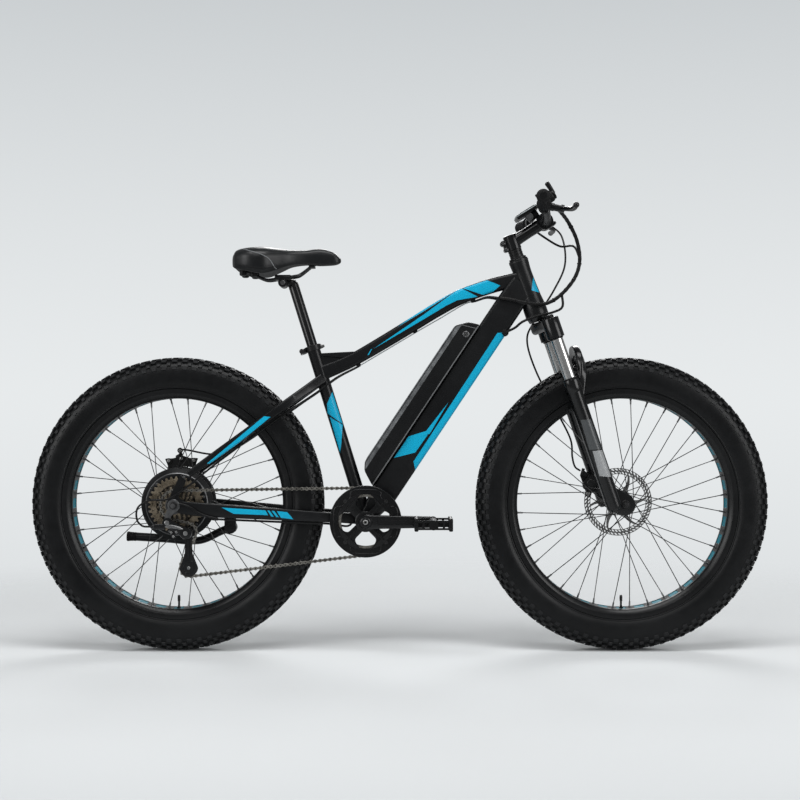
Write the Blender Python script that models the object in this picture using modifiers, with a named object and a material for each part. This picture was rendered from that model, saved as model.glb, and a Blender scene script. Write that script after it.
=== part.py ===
"""Fat-tyre electric bicycle with a hub motor, a suspension fork and a battery on the down tube.

The bicycle stands on z = 0 with both wheels on the x axis. Forward is +X, the drive side is -Y,
and lengths are metres. Angles of the steering and the seat tube are measured from the vertical.
"""
import math

import bmesh
import bpy
from mathutils import Matrix, Vector

# Fits
CLEARANCE = 0.0003
RUNNING_GAP = 0.0015

# Wheels
TYRE_RADIUS = 0.3775
TYRE_WIDTH = 0.098
TREAD_DEPTH = 0.0042
CASING_WALL = 0.0040
RIM_EDGE_RADIUS = 0.2950
RIM_INNER_RADIUS = 0.2700
RIM_WIDTH = 0.0800
RIM_WALL = 0.0028
RIM_FLOOR = 0.0030
WHEEL_STEPS = 28
WHEELBASE = 1.142
SPOKE_COUNT = 36
SPOKE_RADIUS = 0.00115
SPOKE_OFFSET = 0.0016
RIM_SPOKE_LINE = 0.010
VALVE_LENGTH = 0.034
VALVE_RADIUS = 0.0034

# Front hub and brake
FRONT_FLANGE_RADIUS = 0.0300
FRONT_FLANGE_LINE = 0.0340
FRONT_BARREL_RADIUS = 0.0165
FRONT_CROSS_ANGLE = 60.0
FRONT_HUB_HALF = 0.0640
FRONT_AXLE_RADIUS = 0.0050
FLANGE_THICKNESS = 0.0034
ROTOR_RADIUS = 0.0890
ROTOR_THICKNESS = 0.0020
FRONT_ROTOR_LINE = 0.0525

# Rear hub motor
MOTOR_RADIUS = 0.0925
MOTOR_SHELL_RADIUS = 0.0850
MOTOR_RIGHT_FACE = -0.0425
MOTOR_LEFT_FACE = 0.0580
REAR_FLANGE_LINE = 0.0300
REAR_CROSS_ANGLE = 20.0
REAR_ROTOR_LINE = 0.0660
REAR_AXLE_RADIUS = 0.0060
REAR_DROPOUT_INNER = 0.0875
DROPOUT_THICKNESS = 0.0080
AXLE_NUT_RADIUS = 0.0105
AXLE_NUT_LENGTH = 0.0100
FREEWHEEL_BOSS_RADIUS = 0.0165

# Frame
BRACKET_X = -0.0870
BRACKET_Z = 0.3360
BRACKET_SHELL_RADIUS = 0.0225
BRACKET_HALF_WIDTH = 0.0500
SEAT_ANGLE = 17.3
SEAT_TUBE_LENGTH = 0.4700
SEAT_TUBE_RADIUS = 0.0170
HEAD_ANGLE = 19.0
HEAD_TUBE_LENGTH = 0.1540
HEAD_SETBACK = 0.2160
HEAD_BOTTOM_Z = 0.8610
DOWN_TUBE_JOINT = 0.0965
HEAD_RADIUS_TOP = 0.0235
HEAD_RADIUS_BOTTOM = 0.0300
TOP_TUBE_DEPTH = 0.0360
TOP_TUBE_WIDTH = 0.0360
TOP_TUBE_DROP = 0.0760
SEAT_STAY_DROP = 0.0900
DOWN_TUBE_DEPTH = 0.0696
DOWN_TUBE_WIDTH = 0.0580
DOWN_TUBE_CORNER = 0.0090
CHAIN_STAY_WIDTH = 0.0140
SEAT_STAY_WIDTH = 0.0160
SEAT_STAY_DEPTH = 0.0220

# Steering and fork
STEERER_RADIUS = 0.0143
STEERER_TOP = 0.2150
STANCHION_RADIUS = 0.0160
FORK_STANCE = 0.0850
FORK_OFFSET = 0.0180
FORK_RAKE = 0.0460
FORK_TRAVEL = 0.0600
LEG_RADIUS = 0.0200
LEG_TOP = 0.1810
LEG_BOTTOM = 0.5250
STANCHION_END = 0.3300
CROWN_DEPTH = 0.0300
CROWN_CUP_RADIUS = 0.0225
FORK_DROPOUT_INNER = 0.0672
FORK_DROPOUT_THICKNESS = 0.0090

# Cockpit
BAR_CLAMP_X = WHEELBASE / 2 - HEAD_SETBACK + 0.0180
BAR_CLAMP_Z = 1.1040
BAR_RADIUS = 0.0111
BAR_CENTRE_RADIUS = 0.0158
BAR_HALF_WIDTH = 0.3360
BAR_BEND_OUTER = BAR_HALF_WIDTH - 0.1660
BAR_BEND_INNER = BAR_BEND_OUTER - 0.0300
BAR_SWEEP = 0.0345
BAR_RISE = 0.0230
GRIP_RADIUS = 0.0165
GRIP_LENGTH = 0.1300
GRIP_END_WALL = 0.0040
GRIP_INNER = BAR_HALF_WIDTH + GRIP_END_WALL - GRIP_LENGTH
DISPLAY_LENGTH = 0.0640
DISPLAY_WIDTH = 0.0900
DISPLAY_THICKNESS = 0.0120
DISPLAY_TILT = 31.8

# Seat
POST_RADIUS = 0.0136
POST_INSERT = 0.2000
POST_BORE_DEPTH = 0.3300
POST_TOP_Z = 0.9450
SADDLE_REAR_X = -0.4310
SADDLE_LENGTH = 0.2790
SADDLE_TOP_Z = 1.0345
SADDLE_WIDTH = 0.1640
RAIL_RADIUS = 0.0035
RAIL_SPACING = 0.0220
SEAT_PIN_END = 0.0215
SEAT_CAM_RADIUS = 0.0080

# Drive
CHAIN_PITCH = 0.0127
CHAINRING_TEETH = 42
COG_TEETH = (14, 16, 18, 20, 22, 24, 34)
COG_PITCH = 0.0050
COG_THICKNESS = 0.0020
PULLEY_TEETH = 11
DRIVE_COG = 2
CHAIN_LINE = 0.0705
CHAIN_WIDTH = 0.0066
CHAIN_DEPTH = 0.0082
RING_GUARD_RADIUS = 0.0910
CRANK_LENGTH = 0.1700
CRANK_OUTER_LINE = 0.1000
CRANK_THICKNESS = 0.0140
SPINDLE_RADIUS = 0.0085
PEDAL_LENGTH = 0.0950
PEDAL_WIDTH = 0.0920
PEDAL_DEPTH = 0.0320
PEDAL_SPINDLE_RADIUS = 0.0055
GUIDE_PULLEY_AHEAD = 0.0325
GUIDE_PULLEY_Z = 0.3090
CAGE_LENGTH = 0.0905

# Battery
BATTERY_WIDTH = 0.0740
BATTERY_DEPTH = 0.0510
BATTERY_START = 0.1130
BATTERY_LENGTH = 0.4660
BATTERY_CORNER = 0.0080

# Kickstand
STAND_PIVOT_AHEAD = 0.1220
STAND_PIVOT_Z = 0.3060
STAND_LINE = 0.1150
STAND_RADIUS = 0.0080

# Controls
LEVER_LINE = 0.0450
THROTTLE_RING_RADIUS = 0.0165
CABLE_RADIUS = 0.0025

X_AXIS = Vector((1.0, 0.0, 0.0))
Y_AXIS = Vector((0.0, 1.0, 0.0))
Z_AXIS = Vector((0.0, 0.0, 1.0))
RIGHT = -1
LEFT = 1

REAR_AXLE = Vector((-WHEELBASE / 2, 0.0, TYRE_RADIUS))
FRONT_AXLE = Vector((WHEELBASE / 2, 0.0, TYRE_RADIUS))
BRACKET = Vector((BRACKET_X, 0.0, BRACKET_Z))
HEAD_BOTTOM = Vector((FRONT_AXLE.x - HEAD_SETBACK, 0.0, HEAD_BOTTOM_Z))
STEER_DOWN = Vector((math.sin(math.radians(HEAD_ANGLE)), 0.0, -math.cos(math.radians(HEAD_ANGLE))))
STEER_FORWARD = Vector((math.cos(math.radians(HEAD_ANGLE)), 0.0, math.sin(math.radians(HEAD_ANGLE))))
SEAT_UP = Vector((-math.sin(math.radians(SEAT_ANGLE)), 0.0, math.cos(math.radians(SEAT_ANGLE))))

PARTS = bpy.data.collections.new("electric_bicycle")
TOOLS = bpy.data.collections.new("cutters")


def clear_scene():
    """Remove what the scene holds and link the two collections."""
    for item in list(bpy.data.objects):
        bpy.data.objects.remove(item, do_unlink=True)
    bpy.context.scene.collection.children.link(PARTS)
    bpy.context.scene.collection.children.link(TOOLS)


def material(name, colour, roughness, metallic=0.0):
    """A Principled material, made once for each name."""
    found = bpy.data.materials.get(name)
    if found:
        return found
    made = bpy.data.materials.new(name)
    made.use_nodes = True
    shader = made.node_tree.nodes["Principled BSDF"]
    shader.inputs["Base Color"].default_value = (*colour, 1.0)
    shader.inputs["Roughness"].default_value = roughness
    shader.inputs["Metallic"].default_value = metallic
    return made


def black_paint(name):
    return material(name + "_paint", (0.012, 0.013, 0.014), 0.38)


def black_metal(name):
    return material(name + "_anodised", (0.018, 0.018, 0.019), 0.35, 0.6)


def black_plastic(name):
    return material(name + "_plastic", (0.020, 0.020, 0.021), 0.5)


def rubber(name):
    return material(name + "_rubber", (0.025, 0.026, 0.027), 0.75)


def steel(name):
    return material(name + "_steel", (0.45, 0.45, 0.46), 0.32, 1.0)


def chrome(name):
    return material(name + "_chrome", (0.75, 0.76, 0.77), 0.08, 1.0)


def bronze(name):
    return material(name + "_bronze", (0.20, 0.145, 0.095), 0.4, 0.9)


def add_object(name, data, finish=None, placement=None):
    """Link a part under its name, at its placement."""
    item = bpy.data.objects.new(name, data)
    PARTS.objects.link(item)
    if placement is not None:
        item.matrix_basis = placement
    if finish is not None:
        data.materials.append(finish)
    return item


def smooth(item, angle=35.0):
    """Shade round faces smooth and keep the sharp edges."""
    item.data.shade_smooth()
    item.data.set_sharp_from_angle(angle=math.radians(angle))
    return item


def as_tool(item):
    """Move an object to the cutters, which only shape the parts."""
    PARTS.objects.unlink(item)
    TOOLS.objects.link(item)
    item.hide_render = True
    item.display_type = "WIRE"
    return item


def join_or_cut(target, tools, operation):
    """Add an exact Boolean for each tool."""
    for tool in tools:
        modifier = target.modifiers.new(operation.lower(), "BOOLEAN")
        modifier.operation = operation
        modifier.solver = "EXACT"
        modifier.object = as_tool(tool)
    return target


def unite(target, *tools):
    return join_or_cut(target, tools, "UNION")


def cut(target, *tools):
    return join_or_cut(target, tools, "DIFFERENCE")


def axis_matrix(origin, direction, side=Y_AXIS):
    """A placement whose local Z runs along direction, with local Y as near to side as it can be."""
    z_dir = direction.normalized()
    y_dir = side - z_dir * side.dot(z_dir)
    if y_dir.length < 1e-6:
        y_dir = X_AXIS - z_dir * X_AXIS.dot(z_dir)
    y_dir.normalize()
    x_dir = y_dir.cross(z_dir)
    turn = Matrix((x_dir, y_dir, z_dir)).transposed().to_4x4()
    return Matrix.Translation(origin) @ turn


def mesh_from(builder):
    """A mesh filled by a function that works on a bmesh."""
    work = bmesh.new()
    builder(work)
    data = bpy.data.meshes.new("shape")
    work.to_mesh(data)
    work.free()
    return data


def rod(name, start, end, radius, end_radius=None, sides=12, finish=None):
    """A round bar or cone between two points."""
    tip = radius if end_radius is None else end_radius
    length = (end - start).length

    def build(work):
        bmesh.ops.create_cone(work, cap_ends=True, cap_tris=False, segments=sides,
                              radius1=radius, radius2=tip, depth=length)

    middle = (start + end) / 2
    return smooth(add_object(name, mesh_from(build), finish, axis_matrix(middle, end - start)))


def cross_rod(name, centre, y_from, y_to, radius, sides=12, finish=None):
    """A round bar that runs across the bicycle at the side-view point of centre."""
    start = Vector((centre.x, min(y_from, y_to), centre.z))
    end = Vector((centre.x, max(y_from, y_to), centre.z))
    return rod(name, start, end, radius, sides=sides, finish=finish)


def block(name, centre, size, along=X_AXIS, up=Z_AXIS, finish=None):
    """A box of size (along, side, up) with its middle at centre."""
    z_dir = up.normalized()
    x_dir = (along - z_dir * along.dot(z_dir)).normalized()
    y_dir = z_dir.cross(x_dir)
    turn = Matrix((x_dir, y_dir, z_dir)).transposed().to_4x4()

    def build(work):
        bmesh.ops.create_cube(work, size=1.0)
        bmesh.ops.scale(work, vec=Vector(size), verts=work.verts)

    return add_object(name, mesh_from(build), finish, Matrix.Translation(centre) @ turn)


def turned(name, profile, placement, steps=24, finish=None):
    """A closed turned shape. The profile is a list of (radius, height) points.

    Its ends lie on the axis, or it closes on itself as a ring. The order is set so that the
    profile runs down its outer side.
    """
    points = list(profile)
    doubled = points + [points[0]]
    area = sum(a[0] * b[1] - b[0] * a[1] for a, b in zip(doubled, doubled[1:]))
    if area > 0:
        points.reverse()
    is_ring = min(point[0] for point in points) > 1e-6
    if not is_ring:
        while points[0][0] > 1e-6 or points[-1][0] > 1e-6:
            points = points[1:] + points[:1]

    def build(work):
        verts = [work.verts.new((radius, 0.0, height)) for radius, height in points]
        for first, second in zip(verts, verts[1:]):
            work.edges.new((first, second))
        if is_ring:
            work.edges.new((verts[-1], verts[0]))

    item = add_object(name, mesh_from(build), finish, placement)
    screw = item.modifiers.new("turn", "SCREW")
    screw.axis = "Z"
    screw.steps = steps
    screw.render_steps = steps
    screw.use_merge_vertices = True
    screw.merge_threshold = 0.00001
    screw.use_smooth_shade = True
    return item


def made_mesh(item):
    """Replace an object by a plain mesh of its evaluated shape, with loose caps welded."""
    bpy.context.view_layer.update()
    graph = bpy.context.evaluated_depsgraph_get()
    data = bpy.data.meshes.new_from_object(item.evaluated_get(graph))
    work = bmesh.new()
    work.from_mesh(data)
    bmesh.ops.remove_doubles(work, verts=work.verts, dist=0.00001)
    bmesh.ops.recalc_face_normals(work, faces=work.faces)
    work.to_mesh(data)
    work.free()
    name = item.name
    place = item.matrix_basis.copy()
    bpy.data.objects.remove(item, do_unlink=True)
    return add_object(name, data, None, place)


def outline_plate(name, outlines, y_from, y_to, finish=None):
    """A flat plate in the side view: one outer outline and its holes, as lists of (x, z)."""
    shape = bpy.data.curves.new(name, "CURVE")
    shape.dimensions = "2D"
    shape.fill_mode = "BOTH"
    shape.extrude = abs(y_to - y_from) / 2
    for outline in outlines:
        spline = shape.splines.new("POLY")
        spline.points.add(len(outline) - 1)
        for point, (x, z) in zip(spline.points, outline):
            point.co = (x, z, 0.0, 1.0)
        spline.use_cyclic_u = True
    upright = Matrix.Rotation(math.radians(90.0), 4, "X")
    middle = Matrix.Translation(Vector((0.0, (y_from + y_to) / 2, 0.0)))
    return add_object(name, shape, finish, middle @ upright)


def arc_points(centre_x, centre_z, radius, start_angle, end_angle, count):
    """Points along an arc, in degrees from +x towards +z."""
    points = []
    for index in range(count):
        share = index / (count - 1)
        angle = math.radians(start_angle + (end_angle - start_angle) * share)
        points.append((centre_x + radius * math.cos(angle), centre_z + radius * math.sin(angle)))
    return points


def circle_points(centre_x, centre_z, radius, count, phase=0.0):
    """The corners of a regular outline."""
    step = 360.0 / count
    return [arc_points(centre_x, centre_z, radius, phase + step * i, phase + step * i + 1.0, 2)[0]
            for i in range(count)]


def bore_radius(shaft_radius, gap, sides):
    """Corner radius of a faceted bore whose flats stay gap away from a shaft."""
    return (shaft_radius + gap) / math.cos(math.pi / sides)


def loft(name, sections, finish=None):
    """A skin over sections of equal point count, closed at both ends."""
    count = len(sections[0])

    def build(work):
        rings = [[work.verts.new(point) for point in section] for section in sections]
        for lower, upper in zip(rings, rings[1:]):
            for index in range(count):
                after = (index + 1) % count
                work.faces.new((lower[index], lower[after], upper[after], upper[index]))
        work.faces.new(list(reversed(rings[0])))
        work.faces.new(rings[-1])
        bmesh.ops.recalc_face_normals(work, faces=work.faces)

    return add_object(name, mesh_from(build), finish)


def ring_loft(name, sections, finish=None):
    """A closed band through sections of equal point count, the last joined to the first."""
    count = len(sections[0])

    def build(work):
        rings = [[work.verts.new(point) for point in section] for section in sections]
        for lower, upper in zip(rings, rings[1:] + rings[:1]):
            for index in range(count):
                after = (index + 1) % count
                work.faces.new((lower[index], lower[after], upper[after], upper[index]))
        bmesh.ops.recalc_face_normals(work, faces=work.faces)

    return add_object(name, mesh_from(build), finish)


def box_section(centre, along, width, depth, corner):
    """Eight corners of a flat-sided tube section, square to the tube's run."""
    run = along.normalized()
    side = (Y_AXIS - run * Y_AXIS.dot(run)).normalized()
    up = run.cross(side)
    half_w = width / 2
    half_d = depth / 2
    flat = (
        (-half_w, -half_d + corner), (-half_w + corner, -half_d),
        (half_w - corner, -half_d), (half_w, -half_d + corner),
        (half_w, half_d - corner), (half_w - corner, half_d),
        (-half_w + corner, half_d), (-half_w, half_d - corner),
    )
    return [centre + side * a + up * b for a, b in flat]


def swept_box(name, stations, finish=None, grow=0.0):
    """A flat-sided tube through stations of (centre, width, depth, corner)."""
    centres = [station[0] for station in stations]
    sections = []
    for index, (centre, width, depth, corner) in enumerate(stations):
        before = centres[max(index - 1, 0)]
        after = centres[min(index + 1, len(centres) - 1)]
        sections.append(box_section(centre, after - before, width + 2 * grow, depth + 2 * grow, corner))
    return loft(name, sections, finish)


def smooth_route(points, count):
    """Points spaced evenly in parameter on a Catmull-Rom curve through the given points."""
    ends = [points[0] * 2 - points[1]] + list(points) + [points[-1] * 2 - points[-2]]
    spans = len(points) - 1
    route = []
    for index in range(count):
        place = index * spans / (count - 1)
        span = min(int(place), spans - 1)
        t = place - span
        a, b, c, d = ends[span:span + 4]
        route.append(0.5 * ((2 * b) + (c - a) * t + (2 * a - 5 * b + 4 * c - d) * t * t
                            + (3 * b - a - 3 * c + d) * t * t * t))
    return route


def wire(name, points, radius, resolution=2, finish=None, scales=None):
    """A round tube along points, as a bevelled curve with closed ends."""
    shape = bpy.data.curves.new(name, "CURVE")
    shape.dimensions = "3D"
    shape.bevel_depth = radius
    shape.bevel_resolution = resolution
    shape.use_fill_caps = True
    shape.twist_mode = "MINIMUM"
    spline = shape.splines.new("POLY")
    spline.points.add(len(points) - 1)
    for index, (point, place) in enumerate(zip(spline.points, points)):
        point.co = (place.x, place.y, place.z, 1.0)
        point.radius = 1.0 if scales is None else scales[index]
    return add_object(name, shape, finish)


def pivot(name, place, parent=None):
    """An empty on a joint's axis that carries the moving pieces."""
    empty = bpy.data.objects.new(name, None)
    PARTS.objects.link(empty)
    empty.empty_display_size = 0.03
    empty.location = place if parent is None else place - PIVOT_PLACES[parent.name]
    empty.parent = parent
    PIVOT_PLACES[name] = place.copy()
    return empty


PIVOT_PLACES = {}


def carry(empty, *items):
    """Parent pieces to a pivot without moving them."""
    for item in items:
        item.parent = empty
        item.matrix_parent_inverse = Matrix.Translation(-PIVOT_PLACES[empty.name])


def steer_point(down, forward, side=0.0):
    """A point given along the steering axis from the head tube's foot, ahead of it, and sideways."""
    return HEAD_BOTTOM + STEER_DOWN * down + STEER_FORWARD * forward + Y_AXIS * side


def axle_matrix(centre):
    """A placement whose local Z runs along +Y, with local X forward."""
    return Matrix.Translation(centre) @ Matrix.Rotation(math.radians(-90.0), 4, "X")


# Wheels


def tyre_profile():
    """Closed (radius, side) section of the hollow casing, open towards the rim."""
    half = TYRE_WIDTH / 2
    seat = RIM_WIDTH / 2 - RIM_WALL - CLEARANCE
    edge = RIM_EDGE_RADIUS
    crown = TYRE_RADIUS - TREAD_DEPTH
    rise = crown - edge
    outer = [
        (edge - 0.0120, seat),
        (edge + 0.0016, seat),
        (edge + rise * 0.26, half - 0.0022),
        (edge + rise * 0.66, half - 0.0012),
        (edge + rise * 0.93, half - 0.0190),
        (crown, half * 0.20),
    ]
    inner = [
        (edge - 0.0120, seat - CASING_WALL),
        (edge + rise * 0.58, half - 0.0012 - CASING_WALL * 1.5),
    ]
    one_side = outer
    other_side = [(radius, -side) for radius, side in reversed(outer)]
    inside = [(radius, -side) for radius, side in inner] + [(radius, side) for radius, side in reversed(inner)]
    return one_side + other_side + inside


def make_tyre(name, centre):
    """A fat tyre with staggered rows of knobs pulled out of its tread."""
    profile = tyre_profile()
    base = made_mesh(turned(name, profile, axle_matrix(Vector()), WHEEL_STEPS))
    place = base.matrix_basis.copy()
    work = bmesh.new()
    work.from_mesh(base.data)
    work.transform(place)
    step = 2 * math.pi / WHEEL_STEPS
    crown = TYRE_RADIUS - TREAD_DEPTH
    knobs = []
    for face in work.faces:
        middle = face.calc_center_median()
        reach = math.hypot(middle.x, middle.z)
        is_outside = face.normal.dot(Vector((middle.x, 0.0, middle.z))) > 0
        if not is_outside or reach < crown - 0.0100:
            continue
        slot = int(round(math.atan2(middle.z, middle.x) / step - 0.5))
        row = 0 if abs(middle.y) < 0.006 else 1
        if (slot + row) % 2 == 0:
            knobs.append(face)
    raised = bmesh.ops.extrude_discrete_faces(work, faces=knobs)["faces"]
    for face in raised:
        middle = face.calc_center_median()
        outward = face.normal.copy()
        for vert in face.verts:
            vert.co = middle + (vert.co - middle) * 0.86 + outward * TREAD_DEPTH
    reach_limit = TYRE_RADIUS
    side_limit = TYRE_WIDTH / 2
    for vert in work.verts:
        reach = math.hypot(vert.co.x, vert.co.z)
        if reach > reach_limit:
            vert.co.x *= reach_limit / reach
            vert.co.z *= reach_limit / reach
        vert.co.y = max(-side_limit, min(side_limit, vert.co.y))
    work.to_mesh(base.data)
    work.free()
    base.data.materials.append(rubber(name))
    base.matrix_basis = Matrix.Translation(centre)
    return base


def make_rim(name, centre, flange_radius, flange_line, cross_angle):
    """A wide single-wall rim with its spokes, and a valve at the foot of the wheel."""
    half = RIM_WIDTH / 2
    edge = RIM_EDGE_RADIUS
    inner = RIM_INNER_RADIUS
    flange = half - RIM_WALL
    profile = [
        (edge, -half), (inner + 0.0125, -half), (inner, -half + 0.010),
        (inner, half - 0.010), (inner + 0.0125, half), (edge, half),
        (edge, flange), (inner + 0.0105, flange), (inner + RIM_FLOOR, flange - 0.0075),
        (inner + RIM_FLOOR, -flange + 0.0075), (inner + 0.0105, -flange), (edge, -flange),
    ]
    rim = turned(name, profile, axle_matrix(centre), WHEEL_STEPS, black_metal(name))
    foot = centre - Z_AXIS * (inner + 0.0015)
    valve = rod(name + "_valve", foot + Z_AXIS * (VALVE_LENGTH + 0.0015), foot, VALVE_RADIUS, sides=8)
    spokes = add_object(name + "_spokes", spoke_mesh(centre, flange_radius, flange_line, cross_angle, 5.0))
    return unite(rim, valve, spokes)


def spoke_mesh(centre, flange_radius, flange_line, cross_angle, phase):
    """A wheel's spokes, from just outside the hub's flanges into the rim's floor, as one mesh."""
    floor_at_flats = (RIM_INNER_RADIUS + RIM_FLOOR) * math.cos(math.pi / WHEEL_STEPS)
    tip_radius = (RIM_INNER_RADIUS + floor_at_flats) / 2
    hole_radius = flange_radius + SPOKE_RADIUS + CLEARANCE
    per_side = SPOKE_COUNT // 2
    work = bmesh.new()
    for side in (RIGHT, LEFT):
        for index in range(per_side):
            lean = 1 if index % 2 else -1
            hub_angle = math.radians(phase + (index + (0.5 if side == LEFT else 0.0)) * 360.0 / per_side)
            rim_angle = hub_angle + math.radians(lean * cross_angle)
            shift = lean * SPOKE_OFFSET
            start = Vector((hole_radius * math.cos(hub_angle), side * flange_line + shift,
                            hole_radius * math.sin(hub_angle)))
            end = Vector((tip_radius * math.cos(rim_angle), side * RIM_SPOKE_LINE + shift,
                          tip_radius * math.sin(rim_angle)))
            middle = centre + (start + end) / 2
            bmesh.ops.create_cone(work, cap_ends=True, cap_tris=False, segments=3,
                                  radius1=SPOKE_RADIUS, radius2=SPOKE_RADIUS, depth=(end - start).length,
                                  matrix=axis_matrix(middle, end - start))
    data = bpy.data.meshes.new("spokes")
    work.to_mesh(data)
    work.free()
    return data


def make_front_hub():
    """Hub shell with two flanges and a rotor seat."""
    bore = bore_radius(FRONT_AXLE_RADIUS, RUNNING_GAP / 2, 12)
    half = FLANGE_THICKNESS / 2
    line = FRONT_FLANGE_LINE
    rotor_seat = FRONT_ROTOR_LINE - ROTOR_THICKNESS / 2 - CLEARANCE
    end = FRONT_HUB_HALF
    profile = [
        (bore, -end), (0.0105, -end), (FRONT_BARREL_RADIUS + 0.002, -line - 0.006),
        (FRONT_FLANGE_RADIUS, -line - half), (FRONT_FLANGE_RADIUS, -line + half),
        (FRONT_BARREL_RADIUS, -line + 0.009), (FRONT_BARREL_RADIUS, line - 0.009),
        (FRONT_FLANGE_RADIUS, line - half), (FRONT_FLANGE_RADIUS, line + half),
        (0.0220, rotor_seat), (0.0105, rotor_seat), (0.0105, end), (bore, end),
    ]
    return turned("front_hub", profile, axle_matrix(FRONT_AXLE), 16, black_metal("front_hub"))


def make_motor():
    """Hub motor shell with its flanges, freewheel boss and rotor seat."""
    bore = bore_radius(REAR_AXLE_RADIUS, RUNNING_GAP / 2, 12)
    half = FLANGE_THICKNESS / 2
    line = REAR_FLANGE_LINE
    shell = MOTOR_SHELL_RADIUS
    rotor_seat = REAR_ROTOR_LINE - ROTOR_THICKNESS / 2 - CLEARANCE
    boss_end = -REAR_DROPOUT_INNER + 0.0040
    profile = [
        (bore, boss_end), (FREEWHEEL_BOSS_RADIUS, boss_end), (FREEWHEEL_BOSS_RADIUS, MOTOR_RIGHT_FACE + 0.002),
        (0.0780, MOTOR_RIGHT_FACE), (MOTOR_RADIUS, -line - half), (MOTOR_RADIUS, -line + half),
        (shell, -line + half + 0.002), (shell, line - half - 0.002), (MOTOR_RADIUS, line - half),
        (MOTOR_RADIUS, line + half), (0.0800, MOTOR_LEFT_FACE), (0.0240, MOTOR_LEFT_FACE),
        (0.0240, rotor_seat), (0.0120, rotor_seat), (0.0120, rotor_seat + 0.010), (bore, rotor_seat + 0.010),
    ]
    return turned("hub_motor", profile, axle_matrix(REAR_AXLE), 24, black_metal("hub_motor"))


def make_rotor(name, centre, line):
    """A disc with six windows between its spider arms."""
    x = centre.x
    z = centre.z
    outlines = [circle_points(x, z, ROTOR_RADIUS, 24), circle_points(x, z, 0.0128, 10)]
    for index in range(6):
        start = index * 60.0 + 8.0
        outer = arc_points(x, z, ROTOR_RADIUS - 0.0165, start, start + 44.0, 3)
        inner = arc_points(x, z, 0.0300, start + 36.0, start + 4.0, 3)
        outlines.append(outer + inner)
    half = ROTOR_THICKNESS / 2
    return outline_plate(name, outlines, line - half, line + half, steel(name))


# Frame


def make_head_tube():
    """Flared head tube with a through bore for the steerer."""
    bore = bore_radius(STEERER_RADIUS, RUNNING_GAP / 2, 16)
    length = HEAD_TUBE_LENGTH
    top = HEAD_RADIUS_TOP
    foot = HEAD_RADIUS_BOTTOM
    profile = [
        (bore, 0.0), (foot, 0.0), (foot, 0.022), (foot - 0.0035, 0.050), (top, length - 0.040),
        (top + 0.0015, length - 0.014), (top + 0.0015, length), (bore, length),
    ]
    placement = axis_matrix(HEAD_BOTTOM, -STEER_DOWN)
    return turned("head_tube", profile, placement, 16, black_paint("head_tube"))


def head_tube_cutter(name):
    """The head tube's outer shape with clearance, as a solid."""
    grow = CLEARANCE
    length = HEAD_TUBE_LENGTH
    top = HEAD_RADIUS_TOP + grow
    foot = HEAD_RADIUS_BOTTOM + grow
    profile = [
        (0.0, -0.010), (foot, -0.010), (foot, 0.022), (foot - 0.0035, 0.050), (top, length - 0.040),
        (top + 0.0015, length - 0.014), (top + 0.0015, length + 0.010), (0.0, length + 0.010),
    ]
    return turned(name, profile, axis_matrix(HEAD_BOTTOM, -STEER_DOWN), 16)


def seat_tube_point(distance):
    """A point on the seat tube's axis, measured up from the bottom bracket."""
    return BRACKET + SEAT_UP * distance


def make_seat_tube():
    """Seat tube with a blind bore for the post, mitred on the bottom-bracket shell."""
    bore = bore_radius(POST_RADIUS, CLEARANCE, 16)
    length = SEAT_TUBE_LENGTH
    profile = [
        (0.0, 0.0), (SEAT_TUBE_RADIUS, 0.0), (SEAT_TUBE_RADIUS, length),
        (bore, length), (bore, length - POST_BORE_DEPTH), (0.0, length - POST_BORE_DEPTH),
    ]
    tube = turned("seat_tube", profile, axis_matrix(BRACKET, SEAT_UP), 16, black_paint("seat_tube"))
    return cut(tube, bracket_cutter("seat_tube_mitre"))


def seat_tube_cutter(name):
    """The seat tube's outer shape with clearance."""
    start = seat_tube_point(-0.03)
    end = seat_tube_point(SEAT_TUBE_LENGTH + 0.02)
    return rod(name, start, end, SEAT_TUBE_RADIUS + CLEARANCE, sides=16)


def bracket_cutter(name):
    """The bottom-bracket shell's outer shape with clearance."""
    return cross_rod(name, BRACKET, -0.08, 0.08, BRACKET_SHELL_RADIUS + CLEARANCE, sides=16)


def make_bracket_shell():
    """Bottom-bracket shell with its bearing cups and spindle bore."""
    bore = bore_radius(SPINDLE_RADIUS, RUNNING_GAP / 2, 12)
    half = BRACKET_HALF_WIDTH
    cup = half + 0.004
    profile = [
        (bore, -cup), (0.0180, -cup), (0.0180, -half), (BRACKET_SHELL_RADIUS, -half),
        (BRACKET_SHELL_RADIUS, half), (0.0180, half), (0.0180, cup), (bore, cup),
    ]
    return turned("bottom_bracket_shell", profile, axle_matrix(BRACKET), 16, black_paint("bracket_shell"))


def down_tube_frame():
    """Direction along the down tube, its normal towards the ground, and the tube's centre offset."""
    along = (HEAD_BOTTOM - STEER_DOWN * DOWN_TUBE_JOINT - BRACKET).normalized()
    below = Vector((along.z, 0.0, -along.x))
    return along, below, BRACKET


def down_tube_point(distance, offset, side=0.0):
    """A point along the down tube from the bottom bracket, offset below its centre line."""
    along, below, base = down_tube_frame()
    return base + along * distance + below * offset + Y_AXIS * side


def distance_to_head(offset, margin):
    """How far along the down tube a line at this offset gets to a plane just behind the steering axis."""
    along, below, base = down_tube_frame()
    start = base + below * offset - HEAD_BOTTOM
    return (-margin - start.dot(STEER_FORWARD)) / along.dot(STEER_FORWARD)


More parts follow.
